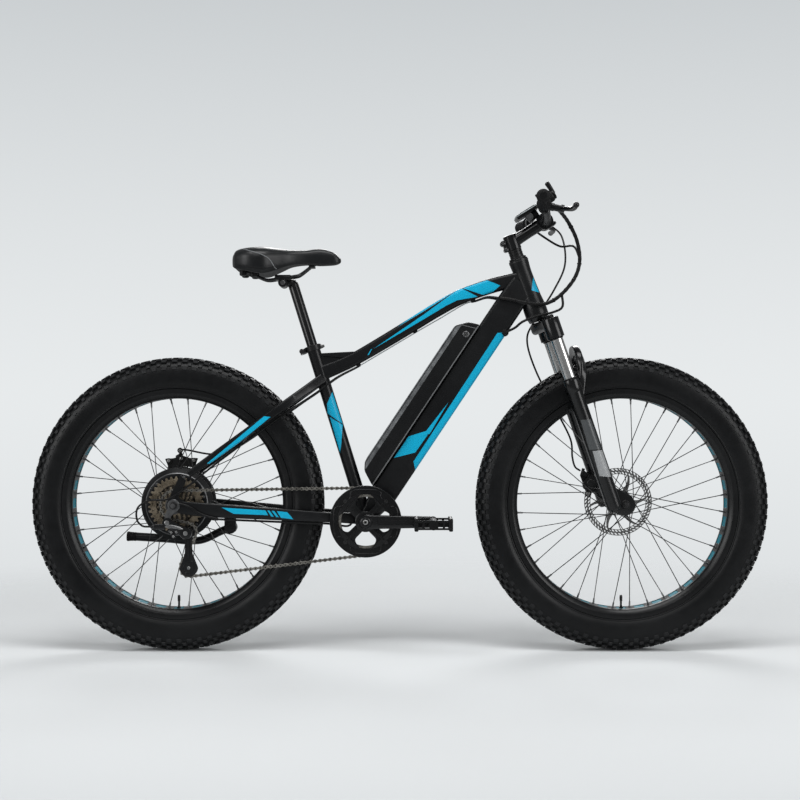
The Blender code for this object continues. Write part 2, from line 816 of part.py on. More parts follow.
def down_tube_solid(name, finish=None, grow=0.0):
    """Box tube that narrows into the head tube and tapers onto the bracket shell."""
    half = DOWN_TUBE_DEPTH / 2
    corner = DOWN_TUBE_CORNER
    head_width = 2 * HEAD_RADIUS_TOP - 0.0060
    reach = distance_to_head(0.0, 0.0)
    along = down_tube_frame()[0]
    stations = [
        (0.0, 0.0520, 0.0400, 0.006),
        (0.0700, DOWN_TUBE_WIDTH, DOWN_TUBE_DEPTH, corner),
        (reach - 0.1300, DOWN_TUBE_WIDTH, DOWN_TUBE_DEPTH, corner),
    ]
    sections = [box_section(down_tube_point(at, 0.0), along, width + 2 * grow, depth + 2 * grow, edge)
                for at, width, depth, edge in stations]
    last = box_section(Vector(), along, head_width + 2 * grow, DOWN_TUBE_DEPTH + 2 * grow, corner)
    below = down_tube_frame()[1]
    slanted = []
    for point in last:
        offset = point.dot(below)
        slanted.append(down_tube_point(distance_to_head(offset, 0.0030), offset, point.y))
    sections.append(slanted)
    assert half > corner
    return loft(name, sections, finish)


def make_down_tube():
    tube = down_tube_solid("down_tube", black_paint("down_tube"))
    return cut(tube, head_tube_cutter("down_tube_head_mitre"), seat_tube_cutter("down_tube_seat_mitre"),
               bracket_cutter("down_tube_bracket_mitre"))


def top_tube_stations():
    """Centre line of the top tube from the seat tube to the head tube, with its bend."""
    seat_end = seat_tube_point(SEAT_TUBE_LENGTH - TOP_TUBE_DROP)
    head = HEAD_BOTTOM
    return [
        (seat_end, 0.0300, TOP_TUBE_DEPTH + 0.003, 0.007),
        (seat_end + Vector((0.0892, 0.0, 0.0378)), 0.0330, TOP_TUBE_DEPTH - 0.002, 0.007),
        (seat_end.lerp(head, 0.4260) + Vector((0.0, 0.0, 0.0639)), TOP_TUBE_WIDTH, TOP_TUBE_DEPTH, 0.008),
        (head + Vector((-0.1990, 0.0, 0.0505)), TOP_TUBE_WIDTH, TOP_TUBE_DEPTH + 0.002, 0.008),
        (head + Vector((-0.1310, 0.0, 0.0740)), TOP_TUBE_WIDTH, TOP_TUBE_DEPTH + 0.002, 0.008),
        (head + Vector((-0.0330, 0.0, 0.0980)), TOP_TUBE_WIDTH - 0.002, TOP_TUBE_DEPTH, 0.008),
    ]


def make_top_tube():
    """Hydroformed top tube, with the web that braces it to the seat tube."""
    tube = swept_box("top_tube", top_tube_stations(), black_paint("top_tube"))
    high = seat_tube_point(SEAT_TUBE_LENGTH - 0.0250)
    low = seat_tube_point(SEAT_TUBE_LENGTH - 0.0710)
    joint = seat_tube_point(SEAT_TUBE_LENGTH - TOP_TUBE_DROP)
    web = made_mesh(outline_plate("top_tube_web", [[(high.x, high.z), (low.x, low.z),
                                                    (joint.x + 0.0542, joint.z + 0.0178),
                                                    (joint.x + 0.0802, joint.z + 0.0478)]], -0.0105, 0.0105))
    unite(tube, web)
    return cut(tube, seat_tube_cutter("top_tube_seat_mitre"), head_tube_cutter("top_tube_head_mitre"),
               down_tube_solid("top_tube_down_mitre", grow=CLEARANCE))


def chain_stay_stations(side):
    """Chain stay centre line, from inside the bracket shell to the dropout."""
    wall = REAR_DROPOUT_INNER + DROPOUT_THICKNESS / 2
    run = REAR_AXLE.x - BRACKET_X
    return [
        (Vector((BRACKET_X, side * 0.0400, BRACKET_Z + 0.004)), 0.0180, 0.0300, 0.005),
        (Vector((BRACKET_X - 0.0350, side * 0.0450, BRACKET_Z + 0.006)), 0.0160, 0.0280, 0.005),
        (Vector((BRACKET_X + run * 0.2025, side * 0.0592, 0.3460)), 0.0125, 0.0250, 0.004),
        (Vector((BRACKET_X + run * 0.3368, side * 0.0655, 0.3500)), CHAIN_STAY_WIDTH, 0.0280, 0.004),
        (Vector((REAR_AXLE.x + 0.1020, side * 0.0865, 0.3646)), CHAIN_STAY_WIDTH, 0.0350, 0.004),
        (Vector((REAR_AXLE.x + 0.0360, side * wall, 0.3705)), DROPOUT_THICKNESS, 0.0330, 0.0025),
        (REAR_AXLE + Vector((0.0080, side * wall, -0.0020)), DROPOUT_THICKNESS, 0.0300, 0.0025),
    ]


SEAT_STAY_FOOT = (REAR_AXLE.x + 0.0190, REAR_AXLE.z + 0.0655)


def make_chain_stay(side):
    """Chain stay with its dropout plate; the left one also holds the brake and kickstand mounts."""
    label = "right" if side == RIGHT else "left"
    stay = swept_box("chain_stay_" + label, chain_stay_stations(side), black_paint("chain_stay_" + label))
    inner = side * REAR_DROPOUT_INNER
    outer = side * (REAR_DROPOUT_INNER + DROPOUT_THICKNESS)
    x = REAR_AXLE.x
    z = REAR_AXLE.z
    foot_x, foot_z = SEAT_STAY_FOOT
    plate_outline = arc_points(x, z, 0.0185, 150.0, 340.0, 8) + [
        (x + 0.0260, z + 0.0140), (x + 0.0100, z + 0.0160), (foot_x + 0.0140, foot_z - 0.0030),
        (foot_x - 0.0020, foot_z + 0.0110), (foot_x - 0.0080, foot_z - 0.0010)]
    plate = made_mesh(outline_plate("dropout_" + label, [plate_outline], inner, outer))
    unite(stay, plate)
    if side == LEFT:
        tab = made_mesh(outline_plate("brake_tab", [[
            (x - 0.0120, z + 0.0100), (x + 0.0060, z + 0.0300), (foot_x - 0.0020, foot_z - 0.0120),
            (x - 0.0020, z + 0.0930), (x - 0.0300, z + 0.0980), (x - 0.0360, z + 0.0860)]], inner, outer))
        stand_x = REAR_AXLE.x + STAND_PIVOT_AHEAD
        stand_z = STAND_PIVOT_Z
        bracket = block("stand_bracket", Vector((stand_x, 0.0930, (stand_z + 0.3560) / 2)),
                        (0.0300, 0.0150, 0.3560 - stand_z + 0.0200))
        pin = cross_rod("stand_pin", Vector((stand_x, 0.0, stand_z)), 0.0900,
                        STAND_LINE + STAND_RADIUS + 0.006, 0.0050, sides=12)
        unite(stay, tab, bracket, pin)
    hole = cross_rod("axle_hole_" + label, REAR_AXLE, inner - side * 0.01, outer + side * 0.02,
                     bore_radius(REAR_AXLE_RADIUS, CLEARANCE, 12), sides=12)
    return cut(stay, hole, bracket_cutter("chain_stay_mitre_" + label),
               down_tube_solid("chain_stay_down_mitre_" + label, grow=CLEARANCE))


def make_seat_stay(side):
    """Seat stay from beside the seat tube, out past the tyre, down to the dropout."""
    label = "right" if side == RIGHT else "left"
    foot_x, foot_z = SEAT_STAY_FOOT
    wall = REAR_DROPOUT_INNER + DROPOUT_THICKNESS / 2
    top = seat_tube_point(SEAT_TUBE_LENGTH - SEAT_STAY_DROP)
    slope = (top.z - foot_z) / (top.x - foot_x)
    stations = []
    for x, offset, width, depth in (
            (top.x, 0.0120, SEAT_STAY_WIDTH + 0.004, SEAT_STAY_DEPTH + 0.004),
            (top.x - 0.0350, 0.0300, SEAT_STAY_WIDTH + 0.002, SEAT_STAY_DEPTH + 0.002),
            (top.x - 0.0850, 0.0640, SEAT_STAY_WIDTH, SEAT_STAY_DEPTH),
            (foot_x + 0.0920, 0.0860, SEAT_STAY_WIDTH - 0.004, SEAT_STAY_DEPTH - 0.002),
            (foot_x + 0.0180, wall, DROPOUT_THICKNESS + 0.002, SEAT_STAY_DEPTH - 0.004)):
        stations.append((Vector((x, side * offset, foot_z + (x - foot_x) * slope)), width, depth, 0.004))
    stay = swept_box("seat_stay_" + label, stations, black_paint("seat_stay_" + label))
    middle = block("seat_stay_split_" + label, Vector((top.x - 0.05, -side * 0.0498, top.z)), (0.30, 0.10, 0.30))
    plate = outline_cutter("seat_stay_dropout_" + label, side)
    return cut(stay, seat_tube_cutter("seat_stay_mitre_" + label), middle, plate)


def outline_cutter(name, side):
    """The dropout's upper arm with clearance, which the seat stay stops on."""
    foot_x, foot_z = SEAT_STAY_FOOT
    inner = side * (REAR_DROPOUT_INNER - 0.010)
    outer = side * (REAR_DROPOUT_INNER + DROPOUT_THICKNESS + 0.010)
    slope = math.radians(37.3)
    edge_x = foot_x + 0.0165
    edge_z = foot_z + 0.0005
    reach = Vector((-math.sin(slope), 0.0, math.cos(slope))) * 0.05
    back = Vector((-math.cos(slope), 0.0, -math.sin(slope))) * 0.08
    first = Vector((edge_x, 0.0, edge_z)) + reach
    second = Vector((edge_x, 0.0, edge_z)) - reach
    corners = [first, second, second + back, first + back]
    return made_mesh(outline_plate(name, [[(p.x, p.z) for p in corners]], inner, outer))


def make_rear_axle():
    """Motor axle with a nut outside each dropout."""
    outer = REAR_DROPOUT_INNER + DROPOUT_THICKNESS
    end = outer + AXLE_NUT_LENGTH + 0.0080
    axle = cross_rod("rear_axle", REAR_AXLE, -end, end, REAR_AXLE_RADIUS, 12, steel("rear_axle"))
    right_seat = outer + HANGER_THICKNESS + 2 * CLEARANCE
    right_nut = cross_rod("rear_nut_right", REAR_AXLE, -right_seat - AXLE_NUT_LENGTH, -right_seat,
                          AXLE_NUT_RADIUS, 6)
    left_nut = cross_rod("rear_nut_left", REAR_AXLE, outer + CLEARANCE, outer + CLEARANCE + AXLE_NUT_LENGTH,
                         AXLE_NUT_RADIUS, 6)
    return unite(axle, right_nut, left_nut)


def make_caliper(name, centre, radial, line, inner_line, outer_line):
    """Mechanical disc caliper that straddles a rotor, with its pull arm and adjuster."""
    tangent = Y_AXIS.cross(radial)
    body = block(name, Vector((centre.x, (inner_line + outer_line) / 2, centre.z)),
                 (0.0440, outer_line - inner_line, 0.0340), tangent, radial, black_metal(name))
    high = centre + radial * 0.0165
    knob = cross_rod(name + "_knob", high, inner_line + 0.001, outer_line - 0.001, 0.0085, 12)
    arm_root = centre + radial * 0.012 + tangent * 0.012
    arm = block(name + "_arm", Vector((arm_root.x, outer_line - 0.006, arm_root.z)) + radial * 0.012,
                (0.0120, 0.0060, 0.0300), tangent, radial)
    unite(body, knob, arm)
    depth = 0.050
    slot_centre = centre - radial * (depth / 2 - 0.008)
    slot = block(name + "_slot", Vector((slot_centre.x, line, slot_centre.z)),
                 (0.0700, ROTOR_THICKNESS + 2 * 0.0010, depth), tangent, radial)
    return cut(body, slot)


# Drive


def sprocket_pitch_radius(teeth):
    """Radius of the chain's pitch line on a sprocket."""
    return CHAIN_PITCH / (2 * math.sin(math.pi / teeth))


def cog_line(index):
    """Side position of a freewheel cog, counted from the smallest, outer one."""
    return -(CHAIN_LINE + (DRIVE_COG - index) * COG_PITCH)


def make_freewheel():
    """Seven cogs on a body that turns on the motor's boss."""
    bore = bore_radius(FREEWHEEL_BOSS_RADIUS, RUNNING_GAP / 4, 36)
    half = COG_THICKNESS / 2
    profile = [(bore, cog_line(0) - half)]
    under = CHAIN_DEPTH / 2 + 0.0012
    for index, teeth in enumerate(COG_TEETH):
        line = cog_line(index)
        reach = sprocket_pitch_radius(teeth) - under
        profile.append((reach, line - half))
        profile.append((reach, line + half))
        if index < len(COG_TEETH) - 1:
            profile.append((reach - 0.0050, cog_line(index + 1) - half - 0.0004))
    profile.append((0.0240, cog_line(len(COG_TEETH) - 1) + half))
    profile.append((0.0240, MOTOR_RIGHT_FACE - 0.0020))
    profile.append((bore, MOTOR_RIGHT_FACE - 0.0020))
    return turned("freewheel", profile, axle_matrix(REAR_AXLE), 14, bronze("freewheel"))


def tangent_angle(first, second):
    """Direction of the chain run from one wheel to the next, each (centre, radius, turn)."""
    gap_x = second[0].x - first[0].x
    gap_z = second[0].z - first[0].z
    offset = second[2] * second[1] - first[2] * first[1]
    return math.atan2(gap_z, gap_x) - math.asin(offset / math.hypot(gap_x, gap_z))


def pulley_places():
    """Centres of the guide pulley and the tension pulley."""
    guide = Vector((REAR_AXLE.x + GUIDE_PULLEY_AHEAD, 0.0, GUIDE_PULLEY_Z))
    return guide, guide + Vector((0.0030, 0.0, -CAGE_LENGTH))


def chain_path():
    """Pitch line of the chain in the side view, once round, as points with their directions."""
    guide, tension = pulley_places()
    pulley = sprocket_pitch_radius(PULLEY_TEETH)
    wheels = [
        (BRACKET, sprocket_pitch_radius(CHAINRING_TEETH), 1, 9),
        (REAR_AXLE, sprocket_pitch_radius(COG_TEETH[DRIVE_COG]), 1, 7),
        (guide, pulley, -1, 5),
        (tension, pulley, 1, 6),
    ]
    runs = [tangent_angle(wheels[i], wheels[(i + 1) % len(wheels)]) for i in range(len(wheels))]
    path = []
    for index, (centre, radius, turn, count) in enumerate(wheels):
        start = runs[index - 1]
        sweep = (runs[index] - start) % (2 * math.pi)
        if turn < 0:
            sweep -= 2 * math.pi
        for step in range(count):
            angle = start + sweep * step / (count - 1)
            x = centre.x + turn * radius * math.sin(angle)
            z = centre.z - turn * radius * math.cos(angle)
            path.append((x, z, angle))
    return path


def make_chain():
    """The chain's outer envelope, a flat-sided band along its pitch line."""
    half_w = CHAIN_WIDTH / 2
    half_d = CHAIN_DEPTH / 2
    sections = []
    for x, z, angle in chain_path():
        up = Vector((-math.sin(angle), 0.0, math.cos(angle)))
        centre = Vector((x, -CHAIN_LINE, z))
        sections.append([centre + Y_AXIS * a + up * b
                         for a, b in ((-half_w, -half_d), (half_w, -half_d), (half_w, half_d), (-half_w, half_d))])
    return ring_loft("chain", sections, steel("chain"))


GUARD_THICKNESS = 0.0036
GUARD_LINE = CHAIN_LINE + 0.0060
SPIDER_LINE = GUARD_LINE + GUARD_THICKNESS / 2 + CLEARANCE + 0.0018
SPIDER_THICKNESS = 0.0036


def make_chainring():
    """Chainring and its guard, joined by four bolt bosses."""
    x = BRACKET.x
    z = BRACKET.z
    ring_radius = sprocket_pitch_radius(CHAINRING_TEETH) - CHAIN_DEPTH / 2 - 0.0018
    outlines = [circle_points(x, z, ring_radius, 28), circle_points(x, z, 0.0620, 16)]
    ring = made_mesh(outline_plate("chainring", outlines, -CHAIN_LINE - 0.0015, -CHAIN_LINE + 0.0015))
    outlines = [circle_points(x, z, RING_GUARD_RADIUS, 28), circle_points(x, z, 0.0690, 16)]
    guard = made_mesh(outline_plate("chain_guard", outlines, -GUARD_LINE - GUARD_THICKNESS / 2,
                                    -GUARD_LINE + GUARD_THICKNESS / 2))
    ring.data.materials.append(black_metal("chainring"))
    unite(ring, guard)
    for index in range(4):
        px, pz = arc_points(x, z, 0.0730, 45.0 + 90.0 * index, 46.0 + 90.0 * index, 2)[0]
        boss = cross_rod("ring_boss", Vector((px, 0.0, pz)), -GUARD_LINE - GUARD_THICKNESS / 2 + 0.0004,
                         -CHAIN_LINE + 0.0010, 0.0050, sides=8)
        unite(ring, boss)
    return ring


def crank_outline(direction):
    """Side outline of a crank arm between its two rounded ends."""
    x = BRACKET.x
    z = BRACKET.z
    tip = x + direction * CRANK_LENGTH
    root = arc_points(x, z, 0.0180, 90.0, 270.0, 7)
    end = arc_points(x + CRANK_LENGTH, z, 0.0142, -90.0, 90.0, 7)
    if direction > 0:
        return root + end
    assert tip < x
    return [(2 * x - px, pz) for px, pz in root + end]


def make_crank_right():
    """Drive-side crank with its four-arm spider and the pedal's spindle."""
    outer = -CRANK_OUTER_LINE
    inner = outer + CRANK_THICKNESS
    arm = made_mesh(outline_plate("crank_right", [crank_outline(1)], outer, inner))
    arm.data.materials.append(black_metal("crank_right"))
    boss = cross_rod("crank_boss_right", BRACKET, outer - 0.0020, -0.0580, 0.0165, 12)
    tip = BRACKET + X_AXIS * CRANK_LENGTH
    spindle = cross_rod("pedal_spindle_right", tip, inner - 0.002, outer - PEDAL_WIDTH - 0.0020,
                        PEDAL_SPINDLE_RADIUS, 12)
    unite(arm, boss, spindle)
    for index in range(4):
        angle = math.radians(45.0 + 90.0 * index)
        direction = Vector((math.cos(angle), 0.0, math.sin(angle)))
        middle = BRACKET + direction * 0.0430 - Y_AXIS * SPIDER_LINE
        spider_arm = block("spider_arm", middle, (0.0680, SPIDER_THICKNESS, 0.0150), direction,
                           Y_AXIS.cross(direction))
        unite(arm, spider_arm)
    bore = cross_rod("crank_bore", BRACKET, -0.0500, -0.0853, bore_radius(SPINDLE_RADIUS, CLEARANCE, 12), 12)
    return cut(arm, bore)


def make_crank_left():
    """Left crank with the bottom-bracket spindle and its pedal spindle."""
    outer = CRANK_OUTER_LINE
    inner = outer - CRANK_THICKNESS
    arm = made_mesh(outline_plate("crank_left", [crank_outline(-1)], inner, outer))
    arm.data.materials.append(black_metal("crank_left"))
    boss = cross_rod("crank_boss_left", BRACKET, 0.0580, outer + 0.0020, 0.0165, 12)
    spindle = cross_rod("bottom_spindle", BRACKET, -0.0850, 0.0700, SPINDLE_RADIUS, 12)
    tip = BRACKET - X_AXIS * CRANK_LENGTH
    pedal_spindle = cross_rod("pedal_spindle_left", tip, inner + 0.002, outer + PEDAL_WIDTH + 0.0020,
                              PEDAL_SPINDLE_RADIUS, 12)
    return unite(arm, boss, spindle, pedal_spindle)


def make_pedal(side):
    """Cage pedal: a barrel, front and rear cage bars and two end plates."""
    label = "right" if side == RIGHT else "left"
    centre = BRACKET + X_AXIS * (-side * CRANK_LENGTH)
    start = side * (CRANK_OUTER_LINE + 0.0030)
    end = start + side * PEDAL_WIDTH
    wall = 0.0050
    barrel = cross_rod("pedal_" + label, centre, start, end, 0.0125, 12, black_plastic("pedal_" + label))
    for plate_start, plate_end in ((start, start + side * wall), (end - side * wall, end)):
        plate = block("pedal_plate", Vector((centre.x, (plate_start + plate_end) / 2, centre.z)),
                      (PEDAL_LENGTH - 0.004, wall, PEDAL_DEPTH - 0.008))
        unite(barrel, plate)
    for direction in (-1, 1):
        bar = block("pedal_bar", Vector((centre.x + direction * (PEDAL_LENGTH / 2 - 0.005), (start + end) / 2,
                                         centre.z)), (0.0100, PEDAL_WIDTH - 0.002, PEDAL_DEPTH))
        unite(barrel, bar)
    bore = cross_rod("pedal_bore_" + label, centre, start - side * 0.01, end - side * 0.0030 + side * 0.02,
                     bore_radius(PEDAL_SPINDLE_RADIUS, 0.0006, 12), 12)
    return cut(barrel, bore)


HANGER_THICKNESS = 0.0040


def make_derailleur():
    """Rear derailleur: bolt-on hanger, body link and the knuckle that carries the cage."""
    guide, tension = pulley_places()
    inner = REAR_DROPOUT_INNER + DROPOUT_THICKNESS + CLEARANCE
    x = REAR_AXLE.x
    z = REAR_AXLE.z
    outline = arc_points(x, z, 0.0165, -10.0, 190.0, 8) + [
        (x - 0.0190, z - 0.0300), (x - 0.0240, z - 0.0480), (x - 0.0060, z - 0.0500), (x + 0.0060, z - 0.0300)]
    hole = circle_points(x, z, bore_radius(REAR_AXLE_RADIUS, CLEARANCE, 12), 12)
    hanger = made_mesh(outline_plate("rear_derailleur", [outline, hole], -inner - HANGER_THICKNESS, -inner))
    hanger.data.materials.append(black_metal("rear_derailleur"))
    root = Vector((x - 0.0140, 0.0, z - 0.0420))
    upper = cross_rod("derailleur_upper_pivot", root, -inner - 0.0180, -inner - 0.0020, 0.0120, 12)
    knuckle = cross_rod("derailleur_knuckle", guide, -CHAIN_LINE - CAGE_HALF - CAGE_PLATE - CLEARANCE,
                        -inner - 0.0180, 0.0135, 12)
    run = Vector((guide.x - root.x, 0.0, guide.z - root.z))
    middle = (root + guide) / 2
    body = block("derailleur_body", Vector((middle.x, -inner - 0.0110, middle.z)),
                 (run.length + 0.004, 0.0130, 0.0180), run, Y_AXIS.cross(run))
    rear = block("derailleur_stop", Vector((x - 0.0330, -inner - 0.0100, z - 0.0520)), (0.0260, 0.0110, 0.0140))
    return unite(hanger, upper, knuckle, body, rear)


CAGE_HALF = 0.0048
CAGE_PLATE = 0.0015


def make_cage():
    """Derailleur cage: two plates held apart by the pulley bolts."""
    guide, tension = pulley_places()
    lean = math.degrees(math.atan2(tension.z - guide.z, tension.x - guide.x))
    outline = (arc_points(guide.x, guide.z, 0.0130, lean + 90.0, lean + 270.0, 7)
               + arc_points(tension.x, tension.z, 0.0150, lean - 90.0, lean + 90.0, 7))
    plates = []
    for line in (-CHAIN_LINE - CAGE_HALF - CAGE_PLATE, -CHAIN_LINE + CAGE_HALF):
        plates.append(made_mesh(outline_plate("derailleur_cage", [outline], line, line + CAGE_PLATE)))
    cage = plates[0]
    cage.name = "derailleur_cage"
    cage.data.materials.append(black_metal("derailleur_cage"))
    unite(cage, plates[1])
    for centre in (guide, tension):
        bolt = cross_rod("cage_bolt", centre, -CHAIN_LINE - CAGE_HALF - 0.0005, -CHAIN_LINE + CAGE_HALF + 0.0005,
                         0.0028, 10)
        unite(cage, bolt)
    return cage


def make_pulley(name, centre):
    """A jockey wheel inside the chain's line."""
    reach = sprocket_pitch_radius(PULLEY_TEETH) - CHAIN_DEPTH / 2 - 0.0012
    bore = bore_radius(0.0028, CLEARANCE, 12)
    half = CAGE_HALF - 0.0006
    profile = [(bore, -half), (0.0060, -half), (0.0060, -0.0012), (reach, -0.0012), (reach, 0.0012),
               (0.0060, 0.0012), (0.0060, half), (bore, half)]
    place = axle_matrix(Vector((centre.x, -CHAIN_LINE, centre.z)))
    return turned(name, profile, place, 12, black_plastic(name))


# Steering and fork


def make_fork_crown():
    """Crown with steerer and both chrome stanchions, one pressed unit."""
    steerer = rod("fork_crown", steer_point(0.0120, 0.0), steer_point(-STEERER_TOP, 0.0), STEERER_RADIUS,
                  sides=12, finish=black_metal("fork_crown"))
    race = rod("crown_race", steer_point(0.0140, 0.0), steer_point(CLEARANCE, 0.0), 0.0280,
               end_radius=0.0255, sides=12)
    depth = CROWN_DEPTH
    sections = []
    for side, width, forward in ((-FORK_STANCE, 0.034, FORK_OFFSET), (-0.040, 0.040, 0.010), (0.0, 0.056, 0.0),
                                 (0.040, 0.040, 0.010), (FORK_STANCE, 0.034, FORK_OFFSET)):
        middle_down = 0.0120 + depth / 2 + (0.006 if side else 0.0)
        corners = ((-1, -1), (1, -1), (1, 1), (-1, 1))
        sections.append([steer_point(middle_down + b * depth / 2, forward + a * width / 2, side)
                         for a, b in corners])
    bridge = loft("crown_bridge", sections)
    unite(steerer, race, bridge)
    for side in (RIGHT, LEFT):
        line = side * FORK_STANCE
        cup = rod("crown_cup", steer_point(0.0180, FORK_OFFSET, line), steer_point(0.0690, FORK_OFFSET, line),
                  CROWN_CUP_RADIUS, sides=12)
        stanchion = rod("stanchion", steer_point(0.0600, FORK_OFFSET, line),
                        steer_point(STANCHION_END, FORK_OFFSET, line), STANCHION_RADIUS, sides=12)
        knob = rod("crown_knob", steer_point(0.0190, FORK_OFFSET, line), steer_point(0.0090, FORK_OFFSET, line),
                   0.0120, sides=12)
        unite(steerer, cup, stanchion, knob)
    return steerer


def make_fork_lowers():
    """Lower legs, bored for the stanchions, with the arch and dropouts."""
    bore = bore_radius(STANCHION_RADIUS, 0.0004, 12)
    radius = LEG_RADIUS
    depth = LEG_BOTTOM - LEG_TOP
    bore_end = STANCHION_END + FORK_TRAVEL + 0.010 - LEG_TOP
    profile = [
        (0.0, -depth), (radius * 0.8, -depth), (radius, -depth + 0.012), (radius + 0.0005, -0.040),
        (radius + 0.0022, -0.030), (radius + 0.0022, 0.0), (0.0, 0.0),
    ]
    legs = []
    for side in (RIGHT, LEFT):
        place = axis_matrix(steer_point(LEG_TOP, FORK_OFFSET, side * FORK_STANCE), -STEER_DOWN)
        legs.append(turned("fork_lowers" if side == RIGHT else "leg_left", profile, place, 12))
    lowers = legs[0]
    lowers.data.materials.append(black_paint("fork_lowers"))
    sections = []
    for down, forward, side, width, height in (
            (0.2250, 0.0300, -1.00, 0.020, 0.016), (0.1750, 0.0520, -0.96, 0.022, 0.018),
            (0.1380, 0.0600, -0.80, 0.026, 0.018), (0.1200, 0.0615, -0.50, 0.028, 0.016),
            (0.1160, 0.0620, 0.0, 0.028, 0.015)):
        sections.append((down, forward, side * FORK_STANCE, width, height))
    full = sections + [(d, f, -s, w, h) for d, f, s, w, h in reversed(sections[:-1])]
    centres = [steer_point(d, f, s) for d, f, s, w, h in full]
    rings = []
    for index, (down, forward, side, width, height) in enumerate(full):
        run = (centres[min(index + 1, len(full) - 1)] - centres[max(index - 1, 0)]).normalized()
        across = (STEER_FORWARD - run * STEER_FORWARD.dot(run)).normalized()
        up = run.cross(across)
        rings.append([centres[index] + across * a * width / 2 + up * b * height / 2
                      for a, b in ((-1, -0.5), (-0.6, -1), (0.6, -1), (1, -0.5), (1, 0.5), (0.6, 1), (-0.6, 1),
                                   (-1, 0.5))])
    arch = loft("fork_arch", rings)
    unite(lowers, legs[1], arch)
    x = FRONT_AXLE.x
    z = FRONT_AXLE.z
    for side in (RIGHT, LEFT):
        inner = side * FORK_DROPOUT_INNER
        outer = side * (FORK_DROPOUT_INNER + FORK_DROPOUT_THICKNESS)
        back_high = steer_point(LEG_BOTTOM - 0.060, FORK_OFFSET + 0.010)
        back_low = steer_point(LEG_BOTTOM - 0.010, FORK_OFFSET - 0.014)
        outline = arc_points(x, z, 0.0215, -110.0, 70.0, 9) + [
            (back_high.x, back_high.z), (back_low.x, back_low.z)]
        unite(lowers, made_mesh(outline_plate("fork_dropout", [outline], inner, outer)))
    tab_line = CALIPER_OUTER_LINE
    tab_centre = steer_point(LEG_BOTTOM - 0.068, FORK_OFFSET - 0.024)
    tab = block("caliper_tab", Vector((tab_centre.x, tab_line + CLEARANCE + 0.006, tab_centre.z)),
                (0.0340, 0.0120, 0.0560), STEER_FORWARD, STEER_DOWN * -1)
    unite(lowers, tab)
    hole = cross_rod("front_axle_hole", FRONT_AXLE, -0.11, 0.11, bore_radius(FRONT_AXLE_RADIUS, CLEARANCE, 12), 12)
    cut(lowers, hole)
    for side in (RIGHT, LEFT):
        clear = rod("stanchion_bore", steer_point(LEG_TOP - 0.02, FORK_OFFSET, side * FORK_STANCE),
                    steer_point(LEG_TOP + bore_end, FORK_OFFSET, side * FORK_STANCE), bore, sides=12)
        cut(lowers, clear)
    return lowers


CALIPER_INNER_LINE = FRONT_ROTOR_LINE - 0.0110
CALIPER_OUTER_LINE = FRONT_ROTOR_LINE + 0.0115


def make_front_axle():
    """Front axle with a nut outside each dropout."""
    outer = FORK_DROPOUT_INNER + FORK_DROPOUT_THICKNESS + CLEARANCE
    end = outer + 0.0120
    axle = cross_rod("front_axle", FRONT_AXLE, -end, end, FRONT_AXLE_RADIUS, 12, steel("front_axle"))
    for side in (RIGHT, LEFT):
        unite(axle, cross_rod("front_nut", FRONT_AXLE, side * outer, side * (outer + 0.0080), 0.0090, 6))
    return axle


def bar_point(side_distance):
    """Centre of the handlebar at a distance from the middle, with its rise and back sweep."""
    reach = abs(side_distance)
    stops = ((0.0, 0.0, 0.0), (0.040, 0.0, 0.0), (0.090, 0.08, 0.22), (BAR_BEND_INNER, 0.32, 0.72),
             (BAR_BEND_OUTER, 0.46, 0.84), (BAR_HALF_WIDTH, 1.0, 1.0))
    for (r0, s0, h0), (r1, s1, h1) in zip(stops, stops[1:]):
        if reach <= r1:
            share = (reach - r0) / (r1 - r0)
            sweep = s0 + (s1 - s0) * share
            rise = h0 + (h1 - h0) * share
            return Vector((BAR_CLAMP_X - BAR_SWEEP * sweep, side_distance, BAR_CLAMP_Z + BAR_RISE * rise))
    return Vector((BAR_CLAMP_X - BAR_SWEEP, side_distance, BAR_CLAMP_Z + BAR_RISE))


def make_handlebar():
    """Low-rise bar, thicker where the stem clamps it."""
    half = (0.030, 0.040, 0.090, BAR_BEND_INNER, BAR_BEND_OUTER, BAR_HALF_WIDTH)
    places = [-place for place in reversed(half)] + list(half)
    middle = BAR_CENTRE_RADIUS / BAR_RADIUS
    scales = [middle if abs(place) < 0.035 else 1.0 for place in places]
    return wire("handlebar", [bar_point(place) for place in places], BAR_RADIUS, 2, black_metal("handlebar"),
                scales)


def bar_ring(name, side_from, side_to, radius, bar_radius=BAR_RADIUS, finish=None):
    """A clamp ring round the bar between two side positions."""
    start = bar_point(side_from)
    end = bar_point(side_to)
    bore = bore_radius(bar_radius, CLEARANCE, 12)
    length = (end - start).length
    profile = [(bore, 0.0), (radius, 0.0), (radius, length), (bore, length)]
    return turned(name, profile, axis_matrix(start, end - start, X_AXIS), 12, finish)


def bar_bore(name, side_from, side_to, gap):
    """A cutter along the bar's own line that leaves a gap round the bar."""
    start = bar_point(side_from)
    end = bar_point(side_to)
    reach = (end - start).normalized() * 0.010
    return rod(name, start - reach, end + reach, bore_radius(BAR_RADIUS, gap, 12), sides=12)


